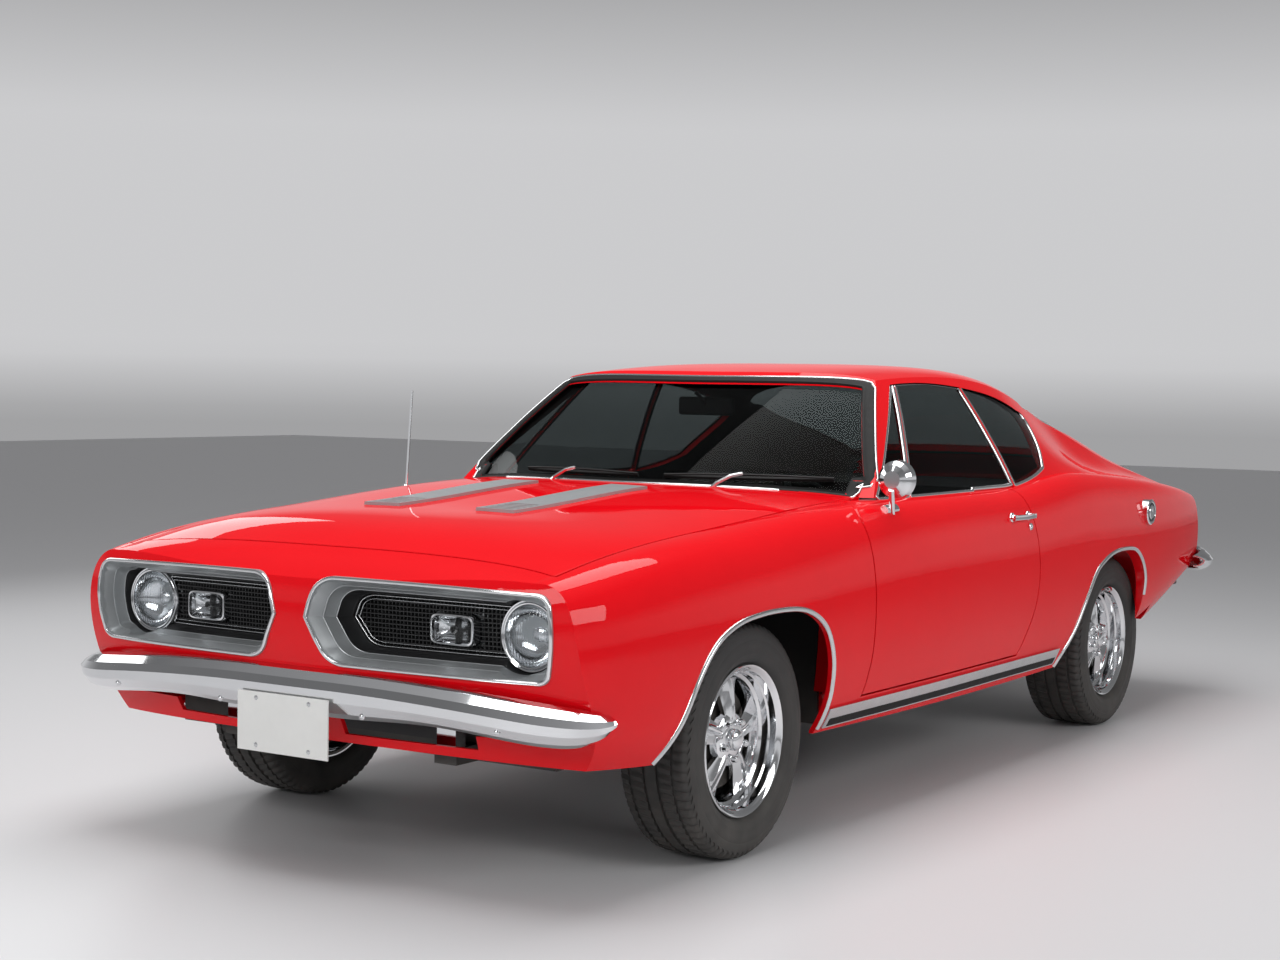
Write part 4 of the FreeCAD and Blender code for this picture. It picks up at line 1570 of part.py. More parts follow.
def leaf_spring():
    """Left leaf spring under the axle tube, with its two hangers up to the rear floor."""
    seat_z = TYRE_RADIUS - AXLE_TUBE_RADIUS - LEAF_WALL / 2
    x0, x1 = LEAF_X - LEAF_WIDTH / 2, LEAF_X + LEAF_WIDTH / 2
    lower = [(LEAF_FRONT_Y, LEAF_EYE_Z - LEAF_WALL), (REAR_AXLE_Y, seat_z - LEAF_WALL / 2),
             (LEAF_REAR_Y, LEAF_EYE_Z - LEAF_WALL)]
    upper = [(y, z + LEAF_WALL) for y, z in reversed(lower)]
    leaf = side_prism([lower, [lower[-1], upper[0]], upper, [upper[-1], lower[0]]], x0, x1)
    saddle = block(x0, x1, REAR_AXLE_Y - AXLE_TUBE_RADIUS, REAR_AXLE_Y + AXLE_TUBE_RADIUS, seat_z, TYRE_RADIUS)
    hangers = [block(x0, x1, y - LEAF_EYE_RADIUS, y + LEAF_EYE_RADIUS, LEAF_EYE_Z - LEAF_EYE_RADIUS, REAR_FLOOR_Z)
               for y in (LEAF_FRONT_Y, LEAF_REAR_Y)]
    return [leaf, saddle] + hangers


def main():
    os.makedirs("parts", exist_ok=True)
    body = Body()
    cowl = build_front_panels(body)
    windshield = build_shell(body, cowl)
    build_doors(body)
    build_bumpers(body)
    build_grilles()
    build_lamps()
    build_body_fittings(body)
    build_wipers(body, windshield)
    build_floor(body)
    build_cabin()
    build_front_frame(body)
    build_driveline()
    build_knuckles()
    build_wheels()


if __name__ == "__main__":
    main()
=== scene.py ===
"""Looks of a two-door fastback muscle car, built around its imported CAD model.

Metres. +Z is up, the nose points to -Y, and +X is the car's left side.
"""

import logging
import math
import random
from dataclasses import dataclass, field
from enum import Enum

import bmesh
import bpy
from mathutils import Matrix, Vector
from mathutils.bvhtree import BVHTree


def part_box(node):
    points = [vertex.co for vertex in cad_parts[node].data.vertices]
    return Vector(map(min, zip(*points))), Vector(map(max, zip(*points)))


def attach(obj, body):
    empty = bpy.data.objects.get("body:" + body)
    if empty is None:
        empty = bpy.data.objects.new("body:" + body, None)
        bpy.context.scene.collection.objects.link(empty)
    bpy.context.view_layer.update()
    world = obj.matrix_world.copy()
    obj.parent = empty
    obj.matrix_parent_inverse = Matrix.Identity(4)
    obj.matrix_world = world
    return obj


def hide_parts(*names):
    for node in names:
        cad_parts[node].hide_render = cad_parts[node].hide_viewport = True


log = logging.getLogger("car")
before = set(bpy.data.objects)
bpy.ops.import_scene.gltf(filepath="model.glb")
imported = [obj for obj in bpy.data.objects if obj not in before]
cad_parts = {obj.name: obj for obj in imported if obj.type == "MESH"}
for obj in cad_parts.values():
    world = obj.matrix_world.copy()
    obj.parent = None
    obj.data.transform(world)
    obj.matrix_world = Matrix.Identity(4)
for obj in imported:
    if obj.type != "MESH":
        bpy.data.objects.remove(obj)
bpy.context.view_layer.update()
SEED = 7

Point = tuple[float, float, float]
Outline = list[tuple[float, float]]


class Side(Enum):
    """Side of the car, with the sign of its X."""

    LEFT = 1
    RIGHT = -1


class Axis(Enum):
    """Axis that a turned piece goes round."""

    X = 0
    Y = 1


# ---- meshes


def new_piece(name: str, verts: list[Vector], faces: list[tuple[int, ...]], smooth: bool = True) -> bpy.types.Object:
    """Makes a mesh object from points and faces.

    Args:
        name: Name of the piece.
        verts: Its points, in the car's frame.
        faces: Indices of each face's points.
        smooth: Whether its faces are shaded smooth.

    Returns:
        The new object, linked to the scene.
    """
    mesh = bpy.data.meshes.new(name)
    mesh.from_pydata([tuple(v) for v in verts], [], faces)
    work = bmesh.new()
    work.from_mesh(mesh)
    bmesh.ops.recalc_face_normals(work, faces=work.faces)
    work.to_mesh(mesh)
    work.free()
    for polygon in mesh.polygons:
        polygon.use_smooth = smooth
    piece = bpy.data.objects.new(name, mesh)
    bpy.context.scene.collection.objects.link(piece)
    return piece


def crease(piece: bpy.types.Object, degrees: float = 35.0) -> bpy.types.Object:
    """Keeps edges sharper than an angle sharp in a smooth piece."""
    for edge_angle in (math.radians(degrees),):
        piece.data.set_sharp_from_angle(angle=edge_angle)
    return piece


def bevelled(piece: bpy.types.Object, width: float, segments: int = 2) -> bpy.types.Object:
    """Rounds a piece's hard edges by a width."""
    bevel = piece.modifiers.new("rounding", "BEVEL")
    bevel.width = width
    bevel.segments = segments
    bevel.limit_method = "ANGLE"
    bevel.angle_limit = math.radians(40)
    bevel.harden_normals = True
    return piece


def grid_faces(rows: int, columns: int, wrap_rows: bool, wrap_columns: bool) -> list[tuple[int, ...]]:
    """Quads of a grid of points.

    Args:
        rows: Number of rows of points.
        columns: Number of points in a row.
        wrap_rows: Whether the last row joins the first.
        wrap_columns: Whether each row's last point joins its first.

    Returns:
        The faces' point indices.
    """
    faces = []
    for i in range(rows if wrap_rows else rows - 1):
        for j in range(columns if wrap_columns else columns - 1):
            a = i * columns + j
            b = i * columns + (j + 1) % columns
            c = ((i + 1) % rows) * columns + (j + 1) % columns
            d = ((i + 1) % rows) * columns + j
            faces.append((a, b, c, d))
    return faces


def turned(name: str, profile: Outline, centre: Vector, axis: Axis, steps: int = 64, closed: bool = False,
           flip: float = 1.0) -> bpy.types.Object:
    """Makes a turned piece.

    Args:
        name: Name of the piece.
        profile: Points of place along the axis and radius.
        centre: Point that the axis passes through.
        axis: Axis that the profile is turned about.
        steps: Number of steps round the axis.
        closed: Whether the profile's last point joins its first.
        flip: -1 to mirror the profile along the axis.

    Returns:
        The turned piece.
    """
    verts = []
    for i in range(steps):
        angle = math.tau * i / steps
        for along, radius in profile:
            a, b = radius * math.cos(angle), radius * math.sin(angle)
            offset = Vector((along * flip, a, b)) if axis is Axis.X else Vector((a, along * flip, b))
            verts.append(centre + offset)
    return crease(new_piece(name, verts, grid_faces(steps, len(profile), True, closed)))


def swept(name: str, path: list[Vector], ups: list[Vector], section: Outline, closed: bool = False) -> bpy.types.Object:
    """Sweeps a section along a path.

    Args:
        name: Name of the piece.
        path: Points along the piece.
        ups: Direction away from the surface that the piece lies on, at each point.
        section: Points across the path and up from it.
        closed: Whether the path's end joins its start.

    Returns:
        The swept piece.
    """
    verts = []
    count = len(path)
    for i, (place, up) in enumerate(zip(path, ups)):
        before = path[i - 1] if i or closed else path[0]
        after = path[(i + 1) % count] if i + 1 < count or closed else path[-1]
        along = (after - before).normalized()
        across = along.cross(up).normalized()
        true_up = across.cross(along).normalized()
        verts += [place + across * u + true_up * v for u, v in section]
    faces = grid_faces(count, len(section), closed, True)
    if not closed:
        size = len(section)
        faces.append(tuple(range(size)))
        faces.append(tuple(range((count - 1) * size, count * size)))
    return crease(new_piece(name, verts, faces), 50)


def round_section(radius: float, steps: int = 10) -> Outline:
    """Points of a round section."""
    return [(radius * math.cos(math.tau * k / steps), radius * math.sin(math.tau * k / steps)) for k in range(steps)]


def half_round(width: float, height: float, steps: int = 6) -> Outline:
    """Points of a half-round moulding section."""
    return [(width / 2 * math.cos(math.pi * k / steps), height * math.sin(math.pi * k / steps)) for k in range(steps + 1)]


def rod(name: str, path: list[Vector], radius: float, steps: int = 10) -> bpy.types.Object:
    """Makes a round rod along a path."""
    up = Vector((0.11, 0.23, 0.97)).normalized()
    return swept(name, path, [up] * len(path), round_section(radius, steps))


def slab(name: str, low: Point, high: Point, rounding: float) -> bpy.types.Object:
    """Makes a box with rounded edges between two corners."""
    verts = [Vector((x, y, z)) for x in (low[0], high[0]) for y in (low[1], high[1]) for z in (low[2], high[2])]
    faces = [(0, 1, 3, 2), (4, 6, 7, 5), (0, 4, 5, 1), (2, 3, 7, 6), (0, 2, 6, 4), (1, 5, 7, 3)]
    return bevelled(new_piece(name, verts, faces, True), rounding, 3)


def joined(name: str, parts: list[bpy.types.Object]) -> bpy.types.Object:
    """Joins parts into one mesh, with their modifiers applied.

    Args:
        name: Name of the joined piece.
        parts: The parts, which are removed.

    Returns:
        The joined piece.
    """
    graph = bpy.context.evaluated_depsgraph_get()
    work = bmesh.new()
    for part in parts:
        mesh = bpy.data.meshes.new_from_object(part.evaluated_get(graph))
        mesh.transform(part.matrix_world)
        work.from_mesh(mesh)
        bpy.data.meshes.remove(mesh)
    mesh = bpy.data.meshes.new(name)
    work.to_mesh(mesh)
    work.free()
    piece = bpy.data.objects.new(name, mesh)
    bpy.context.scene.collection.objects.link(piece)
    for part in parts:
        bpy.data.objects.remove(part)
    return piece


# ---- surfaces of the CAD nodes


class Skin:
    """A CAD node's surface, for laying pieces on it."""

    def __init__(self, *nodes: str) -> None:
        """Reads the nodes' meshes."""
        verts: list[Vector] = []
        faces: list[tuple[int, ...]] = []
        for node in nodes:
            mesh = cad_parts[node].data
            base = len(verts)
            verts += [v.co.copy() for v in mesh.vertices]
            faces += [tuple(base + k for k in polygon.vertices) for polygon in mesh.polygons]
        self.tree = BVHTree.FromPolygons(verts, faces)

    def hit(self, start: Vector, way: Vector) -> tuple[Vector, Vector] | None:
        """Finds where a ray meets the surface.

        Args:
            start: Start of the ray.
            way: Direction of the ray.

        Returns:
            The place and the outward normal there, or None.
        """
        place, normal, _, _ = self.tree.ray_cast(start, way.normalized())
        if place is None:
            return None
        return place, (normal if normal.dot(way) < 0 else -normal)

    def on_side(self, y: float, z: float, side: Side) -> tuple[Vector, Vector] | None:
        """Finds the surface from the side at a place along the car and a height."""
        return self.hit(Vector((1.3 * side.value, y, z)), Vector((-side.value, 0, 0)))


def rim_loops(node: str, way: Vector, least: float = 0.35) -> list[tuple[list[Vector], list[Vector]]]:
    """Finds the outlines of a node's faces that look one way.

    Args:
        node: Name of the CAD node.
        way: Direction that the faces look.
        least: Least share of the direction in a face's normal.

    Returns:
        A list of outlines, each with its points and the normals there, longest first.
    """
    work = bmesh.new()
    work.from_mesh(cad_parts[node].data)
    bmesh.ops.remove_doubles(work, verts=work.verts, dist=2e-5)
    work.normal_update()
    chosen = {f for f in work.faces if f.normal.dot(way) > least}
    border = {}
    for edge in work.edges:
        inside = [f for f in edge.link_faces if f in chosen]
        if len(inside) == 1:
            for vert in edge.verts:
                border.setdefault(vert, []).append((edge.other_vert(vert), inside[0].normal.copy()))
    loops = []
    unused = set(border)
    while unused:
        start = unused.pop()
        points, normals, here = [start.co.copy()], [border[start][0][1]], start
        while True:
            onward = [(v, n) for v, n in border[here] if v in unused]
            if not onward:
                break
            here, normal = onward[0]
            unused.discard(here)
            points.append(here.co.copy())
            normals.append(normal)
        if len(points) > 8:
            loops.append((points, normals))
    work.free()
    return sorted(loops, key=lambda loop: -path_length(loop[0]))


def path_length(points: list[Vector]) -> float:
    """Length of a path through points."""
    return sum((points[i + 1] - points[i]).length for i in range(len(points) - 1))


def even_path(points: list[Vector], normals: list[Vector], step: float) -> tuple[list[Vector], list[Vector]]:
    """Spaces the points of a closed path evenly.

    Args:
        points: Points round the path.
        normals: Normals at the points.
        step: Distance between the new points.

    Returns:
        The new points and normals.
    """
    ring, ups = points + [points[0]], normals + [normals[0]]
    total = path_length(ring)
    count = max(int(total / step), 8)
    new_points, new_ups = [], []
    i, done = 0, 0.0
    for k in range(count):
        goal = total * k / count
        while i < len(ring) - 2 and done + (ring[i + 1] - ring[i]).length < goal:
            done += (ring[i + 1] - ring[i]).length
            i += 1
        size = (ring[i + 1] - ring[i]).length or 1.0
        share = (goal - done) / size
        new_points.append(ring[i].lerp(ring[i + 1], share))
        new_ups.append(ups[i].lerp(ups[i + 1], share).normalized())
    return new_points, new_ups


# ---- finishes


class EffectGroups:
    """Shader node groups that several finishes use."""

    def __init__(self) -> None:
        """Makes each group once."""
        self.mottle = self._mottle()
        self.low_dust = self._low_dust()

    @staticmethod
    def _mottle() -> bpy.types.NodeTree:
        """Group for soft variation: a mask from 0 to 1 and a fine height."""
        group = bpy.data.node_groups.new("mottle", "ShaderNodeTree")
        face = group.interface
        face.new_socket(name="Scale", in_out="INPUT", socket_type="NodeSocketFloat").default_value = 20.0
        face.new_socket(name="Fine Scale", in_out="INPUT", socket_type="NodeSocketFloat").default_value = 400.0
        face.new_socket(name="Mask", in_out="OUTPUT", socket_type="NodeSocketFloat")
        face.new_socket(name="Height", in_out="OUTPUT", socket_type="NodeSocketFloat")
        nodes, links = group.nodes, group.links
        start, end = nodes.new("NodeGroupInput"), nodes.new("NodeGroupOutput")
        place = nodes.new("ShaderNodeTexCoord")
        broad, fine = nodes.new("ShaderNodeTexNoise"), nodes.new("ShaderNodeTexNoise")
        broad.inputs["Detail"].default_value = 4.0
        fine.inputs["Detail"].default_value = 2.0
        for noise, name in ((broad, "Scale"), (fine, "Fine Scale")):
            links.new(place.outputs["Object"], noise.inputs["Vector"])
            links.new(start.outputs[name], noise.inputs["Scale"])
        links.new(broad.outputs["Fac"], end.inputs["Mask"])
        links.new(fine.outputs["Fac"], end.inputs["Height"])
        return group

    @staticmethod
    def _low_dust() -> bpy.types.NodeTree:
        """Group for dust that gathers low on the car: a mask from 0 to 1."""
        group = bpy.data.node_groups.new("low_dust", "ShaderNodeTree")
        face = group.interface
        face.new_socket(name="Top", in_out="INPUT", socket_type="NodeSocketFloat").default_value = 0.45
        face.new_socket(name="Amount", in_out="INPUT", socket_type="NodeSocketFloat").default_value = 0.2
        face.new_socket(name="Mask", in_out="OUTPUT", socket_type="NodeSocketFloat")
        nodes, links = group.nodes, group.links
        start, end = nodes.new("NodeGroupInput"), nodes.new("NodeGroupOutput")
        place, split = nodes.new("ShaderNodeTexCoord"), nodes.new("ShaderNodeSeparateXYZ")
        share, fade = nodes.new("ShaderNodeMath"), nodes.new("ShaderNodeMath")
        noise, mixed = nodes.new("ShaderNodeTexNoise"), nodes.new("ShaderNodeMath")
        share.operation, fade.operation, mixed.operation = "DIVIDE", "SUBTRACT", "MULTIPLY"
        fade.use_clamp = True
        fade.inputs[0].default_value = 1.0
        noise.inputs["Scale"].default_value = 14.0
        links.new(place.outputs["Object"], split.inputs["Vector"])
        links.new(place.outputs["Object"], noise.inputs["Vector"])
        links.new(split.outputs["Z"], share.inputs[0])
        links.new(start.outputs["Top"], share.inputs[1])
        links.new(share.outputs["Value"], fade.inputs[1])
        links.new(fade.outputs["Value"], mixed.inputs[0])
        links.new(noise.outputs["Fac"], mixed.inputs[1])
        scaled = nodes.new("ShaderNodeMath")
        scaled.operation = "MULTIPLY"
        links.new(mixed.outputs["Value"], scaled.inputs[0])
        links.new(start.outputs["Amount"], scaled.inputs[1])
        links.new(scaled.outputs["Value"], end.inputs["Mask"])
        return group


@dataclass(frozen=True)
class Finish:
    """One surface finish and how it varies over the surface."""

    name: str
    slot: str
    colour: Point
    shade: Point
    roughness: tuple[float, float]
    metallic: float = 0.0
    specular: float = 0.5
    coat: float = 0.0
    coat_roughness: float = 0.03
    transmission: float = 0.0
    ior: float = 1.5
    alpha: float = 1.0
    scale: float = 18.0
    fine_scale: float = 400.0
    bump: float = 0.0
    bump_depth: float = 0.0003
    dust: float = 0.0
    dust_top: float = 0.5
    dust_colour: Point = (0.30, 0.27, 0.23)

    def material(self, groups: EffectGroups) -> bpy.types.Material:
        """Makes the finish's material.

        Args:
            groups: The shared effect groups.

        Returns:
            The new material.
        """
        made = bpy.data.materials.new(self.name)
        made.use_nodes = True
        nodes, links = made.node_tree.nodes, made.node_tree.links
        shader = nodes["Principled BSDF"]
        mottle = nodes.new("ShaderNodeGroup")
        mottle.node_tree = groups.mottle
        mottle.inputs["Scale"].default_value = self.scale
        mottle.inputs["Fine Scale"].default_value = self.fine_scale
        tone = nodes.new("ShaderNodeMix")
        tone.data_type = "RGBA"
        tone.inputs["A"].default_value = (*self.colour, 1.0)
        tone.inputs["B"].default_value = (*self.shade, 1.0)
        links.new(mottle.outputs["Mask"], tone.inputs["Factor"])
        colour = tone.outputs["Result"]
        if self.dust > 0:
            dust, dusty = nodes.new("ShaderNodeGroup"), nodes.new("ShaderNodeMix")
            dust.node_tree = groups.low_dust
            dust.inputs["Top"].default_value = self.dust_top
            dust.inputs["Amount"].default_value = self.dust
            dusty.data_type = "RGBA"
            dusty.inputs["B"].default_value = (*self.dust_colour, 1.0)
            links.new(colour, dusty.inputs["A"])
            links.new(dust.outputs["Mask"], dusty.inputs["Factor"])
            colour = dusty.outputs["Result"]
        links.new(colour, shader.inputs["Base Color"])
        rough = nodes.new("ShaderNodeMapRange")
        rough.inputs["To Min"].default_value, rough.inputs["To Max"].default_value = self.roughness
        links.new(mottle.outputs["Mask"], rough.inputs["Value"])
        links.new(rough.outputs["Result"], shader.inputs["Roughness"])
        if self.bump > 0:
            bump = nodes.new("ShaderNodeBump")
            bump.inputs["Strength"].default_value = self.bump
            bump.inputs["Distance"].default_value = self.bump_depth
            links.new(mottle.outputs["Height"], bump.inputs["Height"])
            links.new(bump.outputs["Normal"], shader.inputs["Normal"])
        shader.inputs["Metallic"].default_value = self.metallic
        shader.inputs["Specular IOR Level"].default_value = self.specular
        shader.inputs["Coat Weight"].default_value = self.coat
        shader.inputs["Coat Roughness"].default_value = self.coat_roughness
        shader.inputs["Transmission Weight"].default_value = self.transmission
        shader.inputs["IOR"].default_value = self.ior
        shader.inputs["Alpha"].default_value = self.alpha
        return made


PAINT = Finish("red_paint", "paint", (0.80, 0.004, 0.009), (0.74, 0.003, 0.008), (0.22, 0.28), specular=0.0, coat=0.55,
               coat_roughness=0.02, scale=6.0, fine_scale=900.0, bump=0.0, dust=0.05, dust_top=0.30)
CHROME = Finish("chrome_plate", "chrome", (0.82, 0.83, 0.84), (0.74, 0.75, 0.77), (0.035, 0.11), metallic=1.0,
                scale=9.0, fine_scale=700.0, bump=0.02)
TRIM = Finish("bright_trim", "trim_bright", (0.74, 0.75, 0.76), (0.62, 0.63, 0.64), (0.14, 0.26), metallic=1.0,
              scale=24.0, fine_scale=900.0, bump=0.05)
ARGENT = Finish("argent_paint", "argent", (0.46, 0.48, 0.49), (0.38, 0.40, 0.41), (0.30, 0.42), metallic=0.55,
                scale=20.0, fine_scale=900.0, bump=0.06)
MESH_BLACK = Finish("grille_black", "mesh_black", (0.012, 0.012, 0.013), (0.022, 0.022, 0.023), (0.35, 0.55),
                    scale=40.0, fine_scale=700.0, bump=0.08)
GLASS = Finish("window_glass", "window", (0.30, 0.33, 0.33), (0.26, 0.29, 0.29), (0.0, 0.02), transmission=1.0,
               ior=1.08, alpha=1.0, scale=4.0)
LAMP_GLASS = Finish("lamp_glass", "lamp_clear", (0.93, 0.95, 0.96), (0.88, 0.90, 0.92), (0.02, 0.08), transmission=1.0,
                    ior=1.35, scale=30.0, fine_scale=180.0, bump=0.25, bump_depth=0.001)
RED_LENS = Finish("red_lens", "lamp_red", (0.50, 0.010, 0.012), (0.38, 0.006, 0.008), (0.10, 0.20), coat=0.8,
                  scale=40.0, fine_scale=260.0, bump=0.4, bump_depth=0.0008)
PLATE = Finish("plate_white", "plate", (0.80, 0.80, 0.78), (0.74, 0.74, 0.72), (0.30, 0.45), coat=0.4, scale=30.0,
               fine_scale=800.0, bump=0.05, dust=0.15)
CABIN = Finish("cabin_black", "cabin_plastic", (0.020, 0.020, 0.021), (0.030, 0.030, 0.031), (0.45, 0.62), scale=30.0,
               fine_scale=1400.0, bump=0.35, bump_depth=0.0004)
VINYL = Finish("seat_vinyl", "vinyl", (0.020, 0.019, 0.020), (0.033, 0.031, 0.032), (0.36, 0.52), scale=22.0,
               fine_scale=1200.0, bump=0.4, bump_depth=0.0005)
UNDERSIDE = Finish("chassis_black", "underside", (0.020, 0.020, 0.021), (0.034, 0.032, 0.030), (0.5, 0.75), scale=16.0,
                   fine_scale=300.0, bump=0.3, dust=0.5)
IRON = Finish("dark_iron", "iron", (0.060, 0.058, 0.056), (0.095, 0.088, 0.080), (0.5, 0.75), metallic=0.6, scale=26.0,
              fine_scale=300.0, bump=0.5, dust=0.4)
PIPE = Finish("pipe_steel", "pipe_steel", (0.34, 0.32, 0.30), (0.22, 0.19, 0.17), (0.35, 0.6), metallic=0.9, scale=12.0,
              fine_scale=240.0, bump=0.3, dust=0.3)
CORE = Finish("radiator_core", "core", (0.040, 0.040, 0.042), (0.060, 0.060, 0.062), (0.4, 0.6), metallic=0.6,
              scale=60.0, fine_scale=900.0, bump=0.5)
TYRE = Finish("tyre_rubber", "tyre", (0.016, 0.016, 0.017), (0.028, 0.027, 0.027), (0.55, 0.75), scale=24.0,
              fine_scale=700.0, bump=0.3, dust=0.25, dust_top=0.7)
SEAL = Finish("black_rubber", "cabin_plastic", (0.008, 0.008, 0.008), (0.014, 0.014, 0.014), (0.5, 0.7), specular=0.2,
              scale=40.0, fine_scale=800.0, bump=0.2)
DRUM = Finish("brake_drum", "iron", (0.055, 0.052, 0.050), (0.085, 0.075, 0.066), (0.45, 0.7), metallic=0.7,
              scale=40.0, fine_scale=400.0, bump=0.4)
FINISHES = (PAINT, CHROME, TRIM, ARGENT, MESH_BLACK, GLASS, LAMP_GLASS, RED_LENS, PLATE, CABIN, VINYL, UNDERSIDE, IRON,
            PIPE, CORE, TYRE, SEAL, DRUM)


class Wardrobe:
    """All the materials, and the dressing of pieces and CAD nodes with them."""

    def __init__(self) -> None:
        """Makes every material."""
        groups = EffectGroups()
        self.materials = {finish.name: finish.material(groups) for finish in FINISHES}

    def dress(self, piece: bpy.types.Object, finish: Finish, body: str | None = None,
              stands_for: tuple[str, ...] = ()) -> bpy.types.Object:
        """Gives a piece its finish and its body.

        Args:
            piece: The piece or CAD node.
            finish: Its finish.
            body: The CAD body that it moves with, or None for a CAD node.
            stands_for: CAD nodes that it replaces.

        Returns:
            The piece.
        """
        piece.data.materials.clear()
        piece.data.materials.append(self.materials[finish.name])
        if body is not None:
            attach(piece, body)
        if stands_for:
            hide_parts(*stands_for)
        return piece


# ---- the car


@dataclass
class Panels:
    """Finishes of the CAD nodes that stay as they are."""

    by_finish: dict[Finish, tuple[str, ...]] = field(default_factory=lambda: {
        PAINT: ("body_shell", "cowl_panel", "fender_left", "fender_right", "nose_panel", "front_valance", "hood",
                "door_left", "door_right", "trunk_lid"),
        UNDERSIDE: ("bulkhead", "floor_pan", "front_frame", "fuel_tank"),
        GLASS: ("windshield", "rear_glass", "door_glass_left", "door_glass_right", "quarter_glass"),
        ARGENT: ("grille_frames", "hood_louvres"),
        CHROME: ("front_bumper", "rear_bumper", "door_mirror", "aerial"),
        TRIM: ("sill_trims", "fuel_cap"),
        RED_LENS: ("tail_lamps",),
        PLATE: ("number_plates",),
        CABIN: ("dashboard",),
        IRON: ("engine_block", "driveline", "rear_axle", "knuckle_left", "knuckle_right", "steering_rod"),
        PIPE: ("exhaust",),
        CORE: ("radiator",),
    })

    def build(self, wardrobe: Wardrobe) -> int:
        """Dresses the nodes.

        Args:
            wardrobe: The materials.

        Returns:
            Number of nodes dressed.
        """
        count = 0
        for finish, nodes in self.by_finish.items():
            for node in nodes:
                wardrobe.dress(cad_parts[node], finish)
                count += 1
        return count


@dataclass
class Wheel:
    """One tyre and rim, turned about X, with its outer side away from the car."""

    name: str
    side: Side
    centre: Vector
    width: float
    radius: float = 0.318
    rim_half: float = 0.100
    lip_radius: float = 0.206
    steps: int = 216
    pitch: int = 3

    def tyre(self) -> bpy.types.Object:
        """Makes the tyre with its grooves and tread blocks.

        Returns:
            The tyre.
        """
        w, r, bead = self.width / 2, self.radius, self.lip_radius
        half = [(0.088, bead - 0.010, 0), (0.0905, bead + 0.001, 0), (w * 0.90, bead + 0.010, 0),
                (w * 0.955, r * 0.70, 0), (w * 0.985, r * 0.735, 0), (w * 0.990, r * 0.742, 0), (w * 0.985, r * 0.75, 0),
                (w * 1.0, r * 0.80, 0), (w * 0.995, r * 0.84, 0), (w * 0.985, r * 0.853, 0), (w * 0.992, r * 0.86, 0),
                (w * 0.965, r * 0.905, 0), (w * 0.945, r * 0.925, 1), (w * 0.905, r * 0.950, 2), (w * 0.85, r * 0.972, 2),
                (w * 0.80, r * 0.985, 2), (w * 0.72, r * 0.991, 2), (w * 0.625, r * 0.9945, 2), (w * 0.615, r * 0.974, 0),
                (w * 0.545, r * 0.974, 0), (w * 0.535, r * 0.996, 3), (w * 0.38, r * 0.998, 3), (w * 0.225, r * 0.9995, 3),
                (w * 0.215, r * 0.976, 0), (w * 0.145, r * 0.976, 0), (w * 0.135, r * 1.0, 1), (0.0, r * 1.0, 1)]
        profile = half + [(-x, radius, kind) for x, radius, kind in reversed(half[:-1])]
        depth = {0: 0.0, 1: 0.0015, 2: 0.0062, 3: 0.0058}
        verts = []
        for i in range(self.steps):
            for x, radius, kind in profile:
                shift = 0 if kind != 3 else (1 if x > 0 else 2)
                phase = (i + shift) % self.pitch
                cut = depth[kind] if phase == 0 else 0.0
                lag = (0.010 * x / w if kind in (2, 3) else 0.0)
                angle = math.tau * i / self.steps + lag / self.radius * 2
                r_here = radius - cut
                verts.append(self.centre + Vector((x * self.side.value, r_here * math.cos(angle), r_here * math.sin(angle))))
        return crease(new_piece(f"{self.name}_tyre_piece", verts, grid_faces(self.steps, len(profile), True, False)), 32)

    def barrel(self) -> bpy.types.Object:
        """Makes the stepped chrome barrel and lip."""
        h, lip = self.rim_half, self.lip_radius
        profile = [(h - 0.003, lip), (h, lip - 0.003), (h - 0.002, lip - 0.008), (h - 0.008, lip - 0.013),
                   (h - 0.012, lip - 0.019), (h - 0.030, lip - 0.021), (h - 0.034, lip - 0.026), (h - 0.052, lip - 0.028),
                   (h - 0.058, lip - 0.036), (h - 0.072, lip - 0.040), (h - 0.080, lip - 0.046), (0.004, lip - 0.047),
                   (-h * 0.5, lip - 0.044), (-h * 0.7, lip - 0.022), (-h + 0.004, lip - 0.016), (-h, lip - 0.003),
                   (-h, lip), (-h + 0.006, lip + 0.0005), (-h * 0.86, lip - 0.010), (-h * 0.5, lip - 0.014),
                   (-h * 0.4, lip - 0.036), (h * 0.3, lip - 0.036), (h * 0.5, lip - 0.014), (h * 0.86, lip - 0.010),
                   (h - 0.006, lip + 0.0005)]
        return turned(f"{self.name}_barrel", profile, self.centre, Axis.X, 96, True, self.side.value)

    def spoke(self, angle: float) -> bpy.types.Object:
        """Makes one folded spoke.

        Args:
            angle: Its direction about the axle.

        Returns:
            The spoke.
        """
        stations = [(0.038, 0.024, 0.052, 0.006), (0.070, 0.027, 0.050, 0.012), (0.100, 0.033, 0.044, 0.015),
                    (0.130, 0.041, 0.038, 0.016), (0.150, 0.048, 0.036, 0.013), (0.163, 0.056, 0.038, 0.006)]
        verts = []
        turn = Matrix.Rotation(angle, 3, "X")
        for radius, half, plane, ridge in stations:
            section = [(-half, plane - 0.012), (-half, plane), (-half * 0.72, plane + ridge * 0.25),
                       (-half * 0.30, plane + ridge), (-half * 0.14, plane + ridge * 0.96), (0.0, plane + ridge * 0.45),
                       (half * 0.14, plane + ridge * 0.96), (half * 0.30, plane + ridge),
                       (half * 0.72, plane + ridge * 0.25), (half, plane), (half, plane - 0.012)]
            for across, x in section:
                point = turn @ Vector((0, across, radius))
                verts.append(self.centre + Vector((x * self.side.value, point.y, point.z)))
        count = len(stations)
        faces = grid_faces(count, 11, False, True)
        faces += [tuple(range(11)), tuple(range((count - 1) * 11, count * 11))]
        return crease(new_piece(f"{self.name}_spoke", verts, faces), 28)

